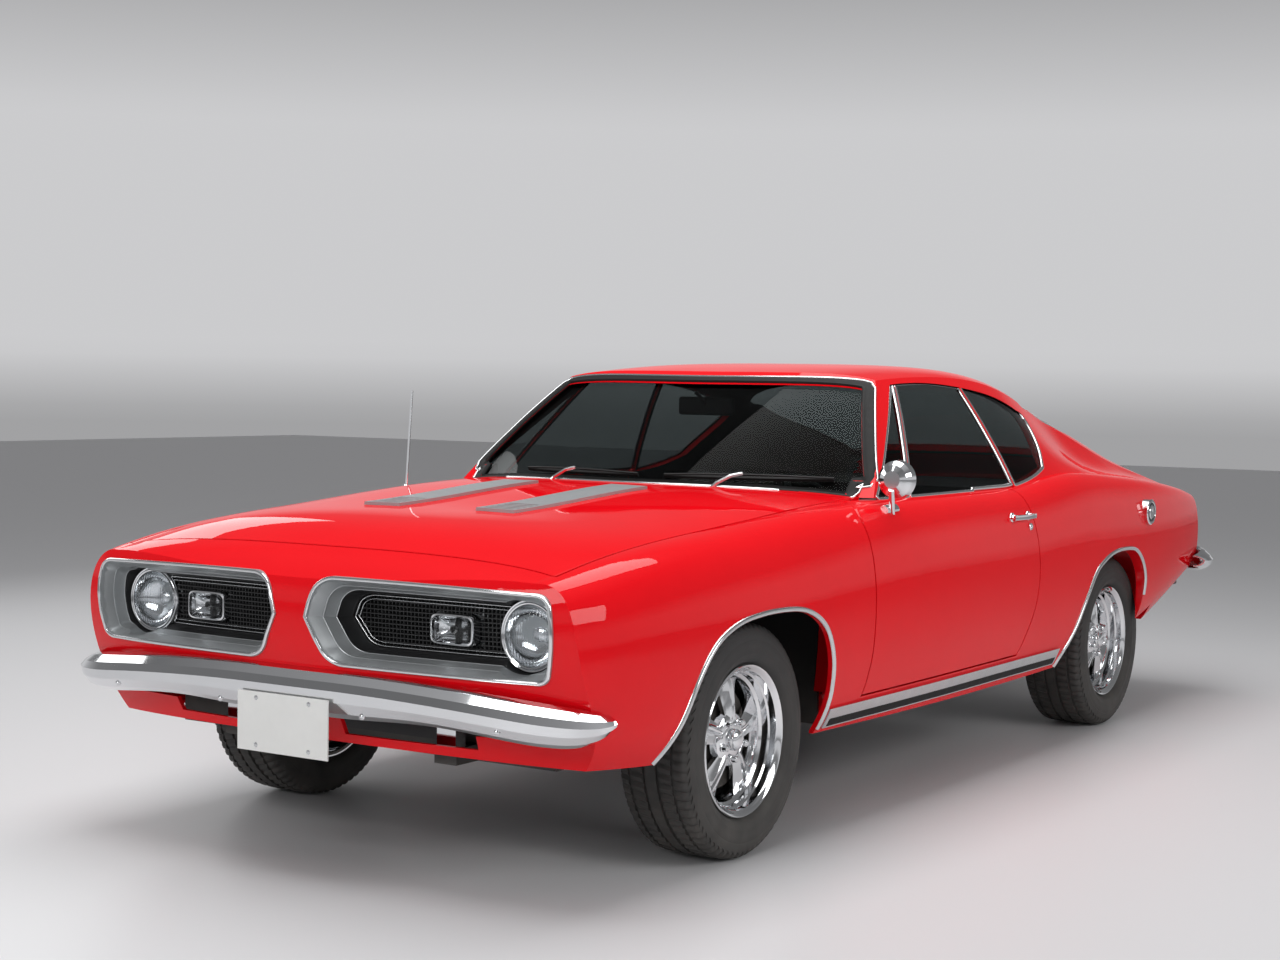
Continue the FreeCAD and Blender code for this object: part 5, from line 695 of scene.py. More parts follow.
    def hub(self) -> list[bpy.types.Object]:
        """Makes the hub disc, centre cap and lug nuts.

        Returns:
            The hub's parts.
        """
        s = self.side.value
        disc = turned(f"{self.name}_disc", [(0.030, 0.0), (0.062, 0.0), (0.062, 0.034), (0.058, 0.062), (0.052, 0.071),
                                             (0.034, 0.076), (0.030, 0.0)], self.centre, Axis.X, 60, False, s)
        cap = turned(f"{self.name}_cap", [(0.060, 0.030), (0.070, 0.0295), (0.073, 0.027), (0.078, 0.026), (0.083, 0.020),
                                           (0.085, 0.012), (0.0855, 0.0)], self.centre, Axis.X, 48, False, s)
        parts = [disc, cap]
        for k in range(5):
            turn = math.tau * (k + 0.5) / 5
            place = self.centre + Vector((0, 0.052 * math.sin(turn), 0.052 * math.cos(turn)))
            nut = [(0.056, 0.0125), (0.060, 0.0125), (0.061, 0.0095), (0.074, 0.0095), (0.078, 0.006), (0.079, 0.0)]
            parts.append(turned(f"{self.name}_nut", nut, place, Axis.X, 6 if k < 0 else 12, False, s))
        return parts

    def drum(self) -> bpy.types.Object:
        """Makes the finned brake drum behind the spokes."""
        profile = [(-0.040, 0.0), (-0.040, 0.128), (-0.036, 0.137)]
        for k in range(5):
            x = -0.034 + k * 0.010
            profile += [(x, 0.137), (x + 0.003, 0.137), (x + 0.003, 0.131), (x + 0.008, 0.131)]
        profile += [(0.018, 0.136), (0.022, 0.128), (0.022, 0.080), (0.028, 0.070), (0.028, 0.0)]
        return turned(f"{self.name}_drum", profile, self.centre, Axis.X, 64, False, self.side.value)

    def build(self, wardrobe: Wardrobe) -> int:
        """Builds the wheel and dresses it.

        Args:
            wardrobe: The materials.

        Returns:
            Number of pieces made.
        """
        body = f"wheel_{self.name}"
        wardrobe.dress(self.tyre(), TYRE, body, (f"tyre_{self.name}",))
        rim = joined(f"{self.name}_rim_piece", [self.barrel()] + [self.spoke(math.tau * k / 5) for k in range(5)] + self.hub())
        wardrobe.dress(rim, CHROME, body, (f"rim_{self.name}",))
        wardrobe.dress(self.drum(), DRUM, body)
        return 3


@dataclass
class Mouldings:
    """Bright strips along the windows and wheel arches, with the windshield's rubber seal."""

    window_width: float = 0.016
    window_height: float = 0.005
    seal_rows: Outline = field(default_factory=lambda: [
        (-0.0050, 0.0), (-0.0045, 0.0090), (0.0035, 0.0020), (0.014, 0.0015), (0.024, 0.0015), (0.034, 0.0015), (0.036, 0.0)])
    seal_fall: float = 0.004
    line_width: float = 0.008
    line_height: float = 0.004
    arch_width: float = 0.016
    arch_height: float = 0.007
    front_arch: Outline = field(default_factory=lambda: [
        (-1.386, 0.70), (-1.370, 0.90), (-1.327, 1.038), (-1.186, 1.321), (-1.028, 1.635), (-0.792, 1.887),
        (-0.478, 2.019), (-0.100, 2.069), (0.308, 2.075), (0.623, 2.044), (0.858, 1.956), (1.016, 1.824), (1.120, 1.60),
        (1.170, 1.30), (1.176, 0.95)])
    rear_arch: Outline = field(default_factory=lambda: [
        (-1.83, 0.90), (-1.775, 1.07), (-1.557, 1.38), (-1.40, 1.60), (-1.116, 1.887), (-0.833, 2.013), (-0.519, 2.082),
        (-0.141, 2.097), (0.236, 2.06), (0.487, 1.918), (0.629, 1.714), (0.650, 1.50)])
    front_axle_y: float = -1.548
    rear_axle_y: float = 1.195
    wheel_radius: float = 0.318

    def around_glass(self, name: str, node: str, way: Vector, body: str, wardrobe: Wardrobe, count: int = 1) -> int:
        """Lays strips round a pane's outline.

        Args:
            name: Name of the strips.
            node: The pane's CAD node.
            way: Direction that the pane looks.
            body: Body that the strips ride on.
            wardrobe: The materials.
            count: Number of outlines to follow.

        Returns:
            Number of strips laid.
        """
        loops = rim_loops(node, way)[:count]
        for k, (points, normals) in enumerate(loops):
            path, ups = even_path(points, normals, 0.012)
            strip = swept(f"{name}_{k}", path, ups, half_round(self.window_width, self.window_height), True)
            wardrobe.dress(strip, TRIM, body)
        return len(loops)

    def seal(self, wardrobe: Wardrobe) -> int:
        """Lays the windshield's black rubber over the opening's edge, with a thin bright line outside it.

        Args:
            wardrobe: The materials.

        Returns:
            Number of pieces made.
        """
        points, normals = rim_loops("windshield", Vector((0, -0.9, 0.436)), 0.62)[0]
        path, ups = even_path(points, normals, 0.012)
        skin = Skin("windshield", "body_shell", "cowl_panel")
        verts, outer = [], list(path)
        for amount, lift in self.seal_rows:
            for k, place in enumerate(moved_out(path, ups, amount)):
                found = skin.hit(place + ups[k] * 0.03, -ups[k])
                if found and (found[0] - place).dot(ups[k]) > -self.seal_fall:
                    outer[k] = found[0]
            verts += [place + up * lift for place, up in zip(outer, ups)]
        band = new_piece("windshield_seal", verts, grid_faces(len(self.seal_rows), len(path), False, True))
        wardrobe.dress(band, SEAL, "chassis")
        line = swept("windshield_moulding", outer, ups, half_round(self.line_width, self.line_height), True)
        wardrobe.dress(line, TRIM, "chassis")
        return 2

    def arch(self, name: str, nodes: tuple[str, ...], shares: Outline, axle_y: float, side: Side, wardrobe: Wardrobe) -> int:
        """Lays one wheel-arch moulding on the skin beside the arch's edge.

        Args:
            name: Name of the moulding.
            nodes: CAD nodes that carry it.
            shares: Arch outline in wheel radii about the axle.
            axle_y: The axle's place along the car.
            side: Side of the car.
            wardrobe: The materials.

        Returns:
            Number of mouldings laid.
        """
        skin = Skin(*nodes)
        outline = smooth_outline([(axle_y + y * self.wheel_radius, z * self.wheel_radius) for y, z in shares], 5)
        middle = (axle_y, self.wheel_radius)
        path, ups = [], []
        for y, z in outline:
            out = Vector((0, y - middle[0], z - middle[1])).normalized() * 0.010
            found = skin.on_side(y + out.y, z + out.z, side)
            if found and abs(found[0].x) > 0.75:
                path.append(found[0] - Vector((0, out.y * 0.3, out.z * 0.3)))
                ups.append(found[1])
        if len(path) < 6:
            return 0
        strip = swept(name, path, ups, half_round(self.arch_width, self.arch_height))
        wardrobe.dress(strip, TRIM, "chassis")
        return 1

    def build(self, wardrobe: Wardrobe) -> int:
        """Lays all the mouldings.

        Args:
            wardrobe: The materials.

        Returns:
            Number of mouldings made.
        """
        count = self.seal(wardrobe)
        count += self.around_glass("rear_glass_moulding", "rear_glass", Vector((0, 0.5, 0.85)), "chassis", wardrobe)
        for side in Side:
            word = side.name.lower()
            way = Vector((side.value * 0.9, 0, 0.4))
            count += self.around_glass(f"door_glass_frame_{word}", f"door_glass_{word}", way, f"door_{word}", wardrobe, 2)
            count += self.around_glass(f"quarter_frame_{word}", "quarter_glass", way, "chassis", wardrobe)
            count += self.arch(f"front_arch_moulding_{word}", (f"fender_{word}",), self.front_arch, self.front_axle_y,
                               side, wardrobe)
            count += self.arch(f"rear_arch_moulding_{word}", ("body_shell",), self.rear_arch, self.rear_axle_y, side,
                               wardrobe)
        return count


def moved_out(path: list[Vector], ups: list[Vector], amount: float) -> list[Vector]:
    """Moves a closed path away from its middle, square to its run.

    Args:
        path: Points round the path.
        ups: Surface normals at the points.
        amount: How far the path moves.

    Returns:
        The moved points.
    """
    middle = sum(path, Vector()) / len(path)
    moved = []
    for k, place in enumerate(path):
        along = path[(k + 1) % len(path)] - path[k - 1]
        out = along.cross(ups[k]).normalized()
        moved.append(place + out * (amount if out.dot(place - middle) > 0 else -amount))
    return moved


def smooth_outline(points: Outline, parts: int) -> Outline:
    """Adds points on a smooth curve between an outline's points.

    Args:
        points: The outline's own points.
        parts: Number of steps between two of them.

    Returns:
        The finer outline.
    """
    finer = []
    last = len(points) - 1
    for i in range(last):
        before, a, b, after = points[max(i - 1, 0)], points[i], points[i + 1], points[min(i + 2, last)]
        for k in range(parts):
            t = k / parts
            finer.append(tuple(
                0.5 * (2 * a[d] + (b[d] - before[d]) * t + (2 * before[d] - 5 * a[d] + 4 * b[d] - after[d]) * t ** 2
                       + (3 * a[d] - before[d] - 3 * b[d] + after[d]) * t ** 3) for d in (0, 1)))
    return finer + [points[last]]


@dataclass
class NoseEnd:
    """Grille buckets, meshes, headlamps and turn lamps."""

    half_width: float = 0.9095
    height: float = 1.340
    strokes: tuple[Outline, ...] = (
        [(0.0627, 0.5004), (0.0713, 0.5202), (0.0800, 0.5400)], [(0.0800, 0.5400), (0.104, 0.5625), (0.145, 0.5722)],
        [(0.145, 0.5722), (0.47, 0.5715), (0.775, 0.5665)], [(0.775, 0.5665), (0.812, 0.5610), (0.827, 0.5430)],
        [(0.827, 0.5430), (0.833, 0.4900), (0.820, 0.4330)], [(0.820, 0.4330), (0.808, 0.4195), (0.775, 0.4155)],
        [(0.775, 0.4155), (0.48, 0.4160), (0.190, 0.4165)], [(0.190, 0.4165), (0.142, 0.4215), (0.110, 0.4400)],
        [(0.110, 0.4400), (0.0864, 0.4702), (0.0627, 0.5004)])
    leans: Outline = field(default_factory=lambda: [
        (0.40, 0.2675), (0.41, 0.2219), (0.43, 0.1422), (0.46, 0.0545), (0.50, 0.0), (0.53, 0.0101), (0.56, 0.0752),
        (0.575, 0.1334), (0.60, 0.28)])
    face_y: float = -2.420
    sweep: float = 0.060
    corner: float = 0.025
    lean: float = 0.100
    face_half: float = 0.820
    mesh_depth: float = 0.128
    mesh_low: float = 0.588
    mesh_top: float = 0.727
    inner_shares: tuple[float, float, float, float] = (0.072, 0.047, 0.155, 0.195)
    bezel_width: float = 0.0095
    bezel_proud: float = 0.0052
    lamp_x: float = 0.641
    lamp_z: float = 0.653
    lamp_radius: float = 0.079
    lamp_ring: float = 0.012
    lamp_depth: float = 0.108
    pocket: float = 0.0932
    turn_x: float = 0.418
    turn_width: float = 0.136
    turn_height: float = 0.080
    turn_depth: float = 0.104

    def surface(self, x: float, z: float) -> float:
        """Place of the nose face along the car at one point of the front view."""
        share = z / self.height
        lean = self.leans[0][1]
        for (z0, lean0), (z1, lean1) in zip(self.leans, self.leans[1:]):
            if share >= z0:
                lean = lean0 + (lean1 - lean0) * min((share - z0) / (z1 - z0), 1.0)
        across = x / self.face_half
        return self.face_y + self.sweep * across ** 2 + self.corner * across ** 6 + self.lean * lean

    def outer(self, step: float = 0.006) -> Outline:
        """Points round the opening's outline, about a step apart, in metres."""
        points = []
        for a, b, c in self.strokes:
            count = max(int(math.hypot((c[0] - a[0]) * self.half_width, (c[1] - a[1]) * self.height) / step), 4)
            for k in range(count):
                t = k / count
                wa, wb, wc = (1 - t) * (1 - 2 * t), 4 * t * (1 - t), t * (2 * t - 1)
                points.append(((a[0] * wa + b[0] * wb + c[0] * wc) * self.half_width,
                               (a[1] * wa + b[1] * wb + c[1] * wc) * self.height))
        return points

    def shrunk(self, outline: Outline, share: float) -> Outline:
        """Moves the opening's outline towards the mesh's outline, and clear of the headlamp.

        Args:
            outline: Points round the opening.
            share: 0 for the opening, 1 for the mesh.

        Returns:
            The moved points.
        """
        xs, zs = [x for x, _ in outline], [z for _, z in outline]
        x0, x1, z0, z1 = min(xs), max(xs), min(zs), max(zs)
        left, right, low, top = (part * share for part in self.inner_shares)
        moved = []
        for x, z in outline:
            u, v = (x - x0) / (x1 - x0), (z - z0) / (z1 - z0)
            x, z = x0 + (x1 - x0) * (left + u * (1 - left - right)), z0 + (z1 - z0) * (low + v * (1 - low - top))
            reach = math.hypot(x - self.lamp_x, z - self.lamp_z)
            if reach < self.pocket:
                x = self.lamp_x + (x - self.lamp_x) * self.pocket / reach
                z = self.lamp_z + (z - self.lamp_z) * self.pocket / reach
            moved.append((x, z))
        return moved

    def ring(self, name: str, outline: Outline, depth: float, width: float, proud: float, side: Side) -> bpy.types.Object:
        """Lays a bright line round an outline.

        Args:
            name: Name of the line.
            outline: Points round it.
            depth: How far behind the nose face it lies.
            width: Its width.
            proud: Its height.
            side: Side of the car.

        Returns:
            The line's piece.
        """
        path = [Vector((x * side.value, self.surface(x, z) + depth, z)) for x, z in outline]
        return swept(name, path, [Vector((0, -1, 0))] * len(path), half_round(width, proud, 8), True)

    def bucket(self, side: Side) -> tuple[bpy.types.Object, bpy.types.Object]:
        """Makes the stepped bucket: argent to half its depth, then black down to its floor; the black wall and the
        black floor behind the mesh are painted shade of the bucket's depth.

        Args:
            side: Side of the car.

        Returns:
            The argent part and the black part, which is painted shade.
        """
        outline = self.outer()
        front = [(0.03, 0.0), (0.07, 0.003), (0.38, 0.036), (0.41, 0.037), (0.43, 0.043), (0.66, 0.070), (0.70, 0.071)]
        # The black rows deep in the bucket are painted shade; the closed last row is a black sheet behind the mesh
        # where there is only shade.
        painted_shade_deep = [(0.70, 0.071), (0.72, 0.078), (0.93, 0.108), (0.99, 0.112), (1.0, 0.122), (1.0, 0.149)]
        pieces = []
        for word, steps in (("bucket", front), ("painted_shade_well", painted_shade_deep)):
            verts = []
            for share, depth in steps:
                verts += [Vector((x * side.value, self.surface(x, z) + depth, z)) for x, z in self.shrunk(outline, share)]
            faces = grid_faces(len(steps), len(outline), False, True)
            if steps is painted_shade_deep:
                faces.append(tuple(range((len(steps) - 1) * len(outline), len(steps) * len(outline))))
            pieces.append(crease(new_piece(f"grille_{word}_{side.name.lower()}", verts, faces), 25))
        return pieces[0], pieces[1]

    def mesh(self) -> bpy.types.Object:
        """Makes the fine egg-crate meshes of both sides, open at the lamps."""
        verts: list[Vector] = []
        faces: list[tuple[int, ...]] = []
        edge = self.shrunk(self.outer(), 1.0)
        xs = [x for x, _ in edge]
        low, high = self.lamp_z - self.turn_height / 2, self.lamp_z + self.turn_height / 2
        left, right = self.turn_x - self.turn_width / 2, self.turn_x + self.turn_width / 2
        for side in Side:
            for x in stepped(min(xs) + 0.008, self.lamp_x - 0.030, 0.0115):
                span = crossing(edge, x, 0)
                spans = [span] if span else []
                if span and left < x < right:
                    spans = [(span[0], low), (high, span[1])]
                if span and abs(x - self.lamp_x) < self.pocket:
                    half = math.sqrt(self.pocket ** 2 - (x - self.lamp_x) ** 2)
                    spans = [(span[0], self.lamp_z - half), (self.lamp_z + half, span[1])]
                for a, b in spans:
                    if b - a > 0.004:
                        self._bar(verts, faces, [(x, a), (x, b)], 0.0013, 0, side)
            for z in stepped(self.mesh_low + 0.006, self.mesh_top - 0.006, 0.0115):
                span = crossing(edge, z, 1)
                half = math.sqrt(max(self.pocket ** 2 - (z - self.lamp_z) ** 2, 0.0))
                spans = [(span[0], self.lamp_x - half)]
                if low < z < high:
                    spans = [(span[0], left), (right, self.lamp_x - half)]
                for a, b in spans:
                    path = [(a + (b - a) * k / 9, z) for k in range(10)]
                    self._bar(verts, faces, path, 0.0013, 1, side)
        return new_piece("grille_mesh_piece", verts, faces, False)

    def _bar(self, verts: list[Vector], faces: list[tuple[int, ...]], path: Outline, half: float, across: int,
             side: Side) -> None:
        """Adds one bar of the mesh to the lists of points and faces."""
        base = len(verts)
        for x, z in path:
            y = self.surface(x, z) + self.mesh_depth
            for u, v in ((-half, 0.0), (half, 0.0), (half, 0.012), (-half, 0.012)):
                dx, dz = (u, 0.0) if across == 0 else (0.0, u)
                verts.append(Vector(((x + dx) * side.value, y + v, z + dz)))
        for face in grid_faces(len(path), 4, False, True):
            faces.append(tuple(base + k for k in face))

    def headlamps(self) -> tuple[bpy.types.Object, bpy.types.Object, bpy.types.Object]:
        """Makes the headlamps' chrome rings, reflectors and ribbed lenses.

        Returns:
            The rings, the reflectors and the lenses, both sides each.
        """
        r, wide = self.lamp_radius, self.lamp_ring
        front = self.surface(self.lamp_x, self.lamp_z) + self.lamp_depth
        rings, bowls, lenses = [], [], []
        for side in Side:
            centre = Vector((self.lamp_x * side.value, front, self.lamp_z))
            ring = [(0.034, r + wide), (0.006, r + wide + 0.0005), (0.0, r + wide - 0.001), (-0.003, r + wide * 0.70),
                    (-0.002, r + wide * 0.45), (0.001, r + wide * 0.38), (-0.001, r + wide * 0.30), (-0.004, r + wide * 0.12),
                    (-0.003, r - 0.0015), (0.003, r - 0.003), (0.007, r - 0.002), (0.030, r - 0.002)]
            rings.append(turned("ring", ring, centre, Axis.Y, 96, True))
            bowl = [(0.006, r - 0.0025), (0.018, r - 0.008), (0.034, r * 0.74), (0.044, r * 0.48), (0.048, 0.020),
                    (0.036, 0.019), (0.032, 0.014), (0.031, 0.0)]
            bowls.append(turned("bowl", bowl, centre, Axis.Y, 64))
            lenses.append(self._ribbed_lens(centre, r - 0.0025))
        return joined("headlamp_rings", rings), joined("headlamp_bowls", bowls), joined("headlamp_lenses", lenses)

    @staticmethod
    def _ribbed_lens(centre: Vector, radius: float) -> bpy.types.Object:
        """Makes one domed lens with upright flutes in bands."""
        count = 84
        verts, faces, index = [], [], {}
        for i in range(count + 1):
            for k in range(count + 1):
                u, v = -1 + 2 * i / count, -1 + 2 * k / count
                x, z = u * math.sqrt(1 - v * v / 2) * radius, v * math.sqrt(1 - u * u / 2) * radius
                inside = 1 - (x * x + z * z) / radius ** 2
                pitch = 0.0062 if abs(z) < radius * 0.30 else 0.0094
                flute = 0.0008 * abs(math.sin(math.pi * x / pitch))
                band = 0.0007 if abs(abs(z) - radius * 0.30) < radius * 0.02 else 0.0
                index[(i, k)] = len(verts)
                verts.append(centre + Vector((x, -0.0135 * inside - 0.001 + (flute + band) * min(inside * 4, 1.0), z)))
        for i in range(count):
            for k in range(count):
                faces.append((index[(i, k)], index[(i + 1, k)], index[(i + 1, k + 1)], index[(i, k + 1)]))
        lens = new_piece("lens", verts, faces)
        thick = lens.modifiers.new("wall", "SOLIDIFY")
        thick.thickness = 0.003
        thick.offset = 0.0
        return lens

    def turn_lamps(self) -> tuple[bpy.types.Object, bpy.types.Object, bpy.types.Object]:
        """Makes the turn lamps' chrome housings, their bulbs and clear lenses.

        Returns:
            The housings, the bulbs and the lenses, both sides each.
        """
        bezels, bulbs, lenses = [], [], []
        front = self.surface(self.turn_x, self.lamp_z) + self.turn_depth
        for side in Side:
            rows = [(0.5, 0.045), (0.5, 0.010), (0.485, 0.004), (0.455, 0.003), (0.440, 0.008), (0.430, 0.020),
                    (0.36, 0.030), (0.20, 0.036), (0.05, 0.037)]
            bezels.append(self._square_form("bezel", side, front, rows, True))
            lens = [(0.437, 0.010), (0.432, 0.002), (0.405, -0.002), (0.36, -0.0035), (0.16, -0.0045), (0.14, -0.0030),
                    (0.04, -0.0030)]
            lenses.append(self._square_form("turn_lens", side, front, lens, True))
            bulb = Vector((self.turn_x * side.value, front + 0.020, self.lamp_z))
            bulbs.append(turned("bulb", [(-0.012, 0.0), (-0.010, 0.005), (-0.004, 0.009), (0.004, 0.009), (0.016, 0.006)], bulb,
                                Axis.Y, 24))
        return joined("turn_lamp_bezels", bezels), joined("turn_lamp_bulbs", bulbs), joined("turn_lamp_lenses", lenses)

    def _square_form(self, name: str, side: Side, front: float, rows: Outline, capped: bool) -> bpy.types.Object:
        """Makes nested rounded squares that step along the car.

        Args:
            name: Name of the piece.
            side: Side of the car.
            front: Place of its front along the car.
            rows: Half size as a share of the lamp, and depth, of each square.
            capped: Whether the last square is closed.

        Returns:
            The piece.
        """
        steps = 64
        verts = []
        for share, depth in rows:
            half_x = self.turn_width * share
            half_z = max(self.turn_height / 2 - (self.turn_width / 2 - half_x), half_x * 0.2)
            for k in range(steps):
                turn = math.tau * k / steps
                c, s = math.cos(turn), math.sin(turn)
                x = math.copysign(abs(c) ** 0.36, c) * half_x
                z = math.copysign(abs(s) ** 0.36, s) * half_z
                verts.append(Vector(((self.turn_x + x) * side.value, front + depth, self.lamp_z + z)))
        faces = grid_faces(len(rows), steps, False, True)
        if capped:
            faces.append(tuple(range((len(rows) - 1) * steps, len(rows) * steps)))
        return crease(new_piece(name, verts, faces), 30)

    def build(self, wardrobe: Wardrobe) -> int:
        """Builds and dresses the nose's pieces.

        Args:
            wardrobe: The materials.

        Returns:
            Number of pieces made.
        """
        outer = self.outer()
        count = 0
        for side in Side:
            word = side.name.lower()
            bright, painted_shade_deep = self.bucket(side)
            wardrobe.dress(bright, ARGENT, "chassis")
            # The black well and its closed floor are painted shade of the bucket's depth.
            wardrobe.dress(painted_shade_deep, MESH_BLACK, "chassis")
            bezel = self.ring(f"grille_bezel_{word}", offset_outline(outer, self.bezel_width * 0.46), -self.bezel_proud,
                              self.bezel_width, 0.0030, side)
            wardrobe.dress(bezel, CHROME, "chassis")
            inner = self.shrunk(outer, 1.0)
            lines = joined(f"grille_lines_{word}", [
                self.ring("line", offset_outline(inner, -0.0035), self.mesh_depth - 0.006, 0.0045, 0.0035, side),
                self.ring("line", offset_outline(inner, -0.0130), self.mesh_depth - 0.003, 0.0030, 0.0025, side)])
            wardrobe.dress(lines, TRIM, "chassis")
            count += 4
        wardrobe.dress(self.mesh(), MESH_BLACK, "chassis", ("grille_mesh",))
        rings, bowls, lenses = self.headlamps()
        wardrobe.dress(rings, CHROME, "chassis")
        wardrobe.dress(bowls, CHROME, "chassis")
        wardrobe.dress(lenses, LAMP_GLASS, "chassis", ("headlamps",))
        bezels, bulbs, turn = self.turn_lamps()
        wardrobe.dress(bezels, CHROME, "chassis")
        wardrobe.dress(bulbs, MESH_BLACK, "chassis")
        wardrobe.dress(turn, LAMP_GLASS, "chassis", ("turn_lamps",))
        return count + 7


def offset_outline(outline: Outline, amount: float) -> Outline:
    """Moves a closed outline outwards along its own normals.

    Args:
        outline: Points round it.
        amount: How far; less than zero moves it inwards.

    Returns:
        The moved points.
    """
    count = len(outline)
    area = sum(a[0] * b[1] - b[0] * a[1] for a, b in zip(outline, outline[1:] + outline[:1]))
    sign = 1.0 if area > 0 else -1.0
    moved = []
    for k, (x, z) in enumerate(outline):
        before, after = outline[k - 1], outline[(k + 1) % count]
        tangent = Vector((after[0] - before[0], after[1] - before[1])).normalized()
        moved.append((x + tangent.y * sign * amount, z - tangent.x * sign * amount))
    return moved


def stepped(low: float, high: float, step: float) -> list[float]:
    """Places spaced evenly between two ends, about a step apart."""
    count = max(int((high - low) / step), 1)
    return [low + (high - low) * k / count for k in range(count + 1)]


def crossing(outline: Outline, place: float, axis: int) -> tuple[float, float] | None:
    """Finds where a line at one place crosses a closed outline.

    Args:
        outline: Points round it.
        place: Place of the line.
        axis: Coordinate that the place is on, 0 or 1.

    Returns:
        The lowest and highest crossing, or None.
    """
    found = []
    for a, b in zip(outline, outline[1:] + outline[:1]):
        if (a[axis] - place) * (b[axis] - place) < 0:
            share = (place - a[axis]) / (b[axis] - a[axis])
            found.append(a[1 - axis] + (b[1 - axis] - a[1 - axis]) * share)
    return (min(found), max(found)) if len(found) > 1 else None


@dataclass
class SideFittings:
    """Door handles, sill stripe, fuel filler, mirror glass and mirror foot."""

    handle_front: float = 0.085
    handle_rear: float = 0.265
    handle_z: float = 0.838
    sill_front: float = -1.130
    sill_rear: float = 0.545
    sill_low: float = 0.300
    sill_middle: float = 0.327
    filler: Point = (0.884, 1.430, 0.797)
    filler_radius: float = 0.048
    shoe_x: float = 0.838
    shoe_front: float = -0.765
    shoe_rear: float = -0.690

    def handle(self, side: Side) -> bpy.types.Object:
        """Makes a door handle: a thin paddle on two posts, with a lock button below its rear end."""
        skin = Skin(f"door_{side.name.lower()}")
        s = side.value
        path, ups = [], []
        for k in range(13):
            share = k / 12
            y = self.handle_front + (self.handle_rear - self.handle_front) * share
            found = skin.on_side(y, self.handle_z, side)
            lift = 0.016 + 0.010 * math.sin(math.pi * min(share * 1.15, 1.0))
            path.append(found[0] + Vector((s * lift, 0, 0)))
            ups.append(Vector((s, 0, 0)))
        width = [(0.009, 0.0), (0.0075, 0.004), (0.0, 0.0055), (-0.0075, 0.004), (-0.009, 0.0), (-0.007, -0.003), (0.007, -0.003)]
        parts = [swept("paddle", path, ups, width)]
        for k in (1, 10):
            seat = skin.on_side(path[k].y, self.handle_z, side)[0]
            parts.append(turned("post", [(0.0, 0.0), (0.0, 0.017), (0.003, 0.0165), (0.006, 0.011), (0.022, 0.009),
                                         (0.022, 0.0)], seat, Axis.X, 24, False, s))
        button = skin.on_side(self.handle_rear - 0.026, self.handle_z - 0.036, side)[0]
        parts.append(turned("lock", [(0.0, 0.0), (0.0, 0.0125), (0.003, 0.0125), (0.006, 0.010), (0.006, 0.007),
                                     (0.004, 0.006), (0.004, 0.0)], button, Axis.X, 28, False, s))
        return joined(f"door_handle_{side.name.lower()}", parts)

    def stripe(self, side: Side) -> bpy.types.Object:
        """Makes the black lower stripe of the sill trim."""
        skin = Skin("sill_trims")
        verts, columns = [], 40
        for k in range(columns + 1):
            y = self.sill_front + (self.sill_rear - self.sill_front) * k / columns
            for z, lift in ((self.sill_low + 0.004, 0.0002), (self.sill_low + 0.006, 0.0014), (self.sill_middle - 0.004, 0.0014),
                            (self.sill_middle, 0.0002)):
                found = skin.on_side(y, z, side)
                place = found[0] if found else Vector((0.88 * side.value, y, z))
                verts.append(place + Vector((side.value * lift, 0, 0)))
        return new_piece(f"sill_stripe_{side.name.lower()}", verts, grid_faces(columns + 1, 4, False, False))

    def fuel_filler(self) -> tuple[bpy.types.Object, bpy.types.Object]:
        """Makes the filler's fluted chrome ring and its dark dial.

        Returns:
            The ring and the dial.
        """
        found = Skin("body_shell", "fuel_cap").on_side(self.filler[1], self.filler[2], Side.LEFT)
        seat, r = found[0], self.filler_radius
        ring = turned("filler_ring", [(-0.012, r), (0.001, r + 0.001), (0.0045, r - 0.003), (0.0045, r - 0.009), (0.002, r - 0.012),
                                      (0.0035, r * 0.56), (0.0065, r * 0.50), (0.0065, r * 0.22), (0.0080, 0.0)], seat, Axis.X, 72)
        dial = turned("filler_dial", [(0.0032, r - 0.0125), (0.0040, r - 0.013), (0.0045, r * 0.60), (0.0038, r * 0.57)], seat,
                      Axis.X, 72)
        return ring, dial

    def mirror_base(self) -> bpy.types.Object:
        """Makes the mirror's foot: a low chrome shoe on the door."""
        low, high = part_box("door_mirror")
        skin = Skin("door_left")
        path, ups = [], []
        for k in range(9):
            y = self.shoe_front + (self.shoe_rear - self.shoe_front) * k / 8
            found = skin.hit(Vector((self.shoe_x, y, 1.2)), Vector((0, 0, -1)))
            path.append(found[0])
            ups.append(found[1])
        shoe = swept("shoe", path, ups, [(-0.015, 0.0), (-0.012, 0.006), (-0.005, 0.009), (0.005, 0.009), (0.012, 0.006),
                                         (0.015, 0.0)])
        return crease(shoe, 40.0)

    def mirror_face(self) -> bpy.types.Object:
        """Makes the mirror's glass, which looks to the rear."""
        low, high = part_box("door_mirror")
        centre = Vector((0.868, high[1] - 0.0045, 0.992))
        return turned("mirror_glass", [(0.0, 0.0), (0.0, 0.0525), (-0.001, 0.0525)], centre, Axis.Y, 48)

    def build(self, wardrobe: Wardrobe) -> int:
        """Builds and dresses the side's pieces.

        Args:
            wardrobe: The materials.

        Returns:
            Number of pieces made.
        """
        for side in Side:
            wardrobe.dress(self.handle(side), CHROME, f"door_{side.name.lower()}")
            wardrobe.dress(self.stripe(side), SEAL, "chassis")
        ring, dial = self.fuel_filler()
        wardrobe.dress(ring, CHROME, "chassis")
        wardrobe.dress(dial, MESH_BLACK, "chassis")
        wardrobe.dress(self.mirror_face(), CHROME, "door_left")
        wardrobe.dress(self.mirror_base(), CHROME, "door_left")
        return 8


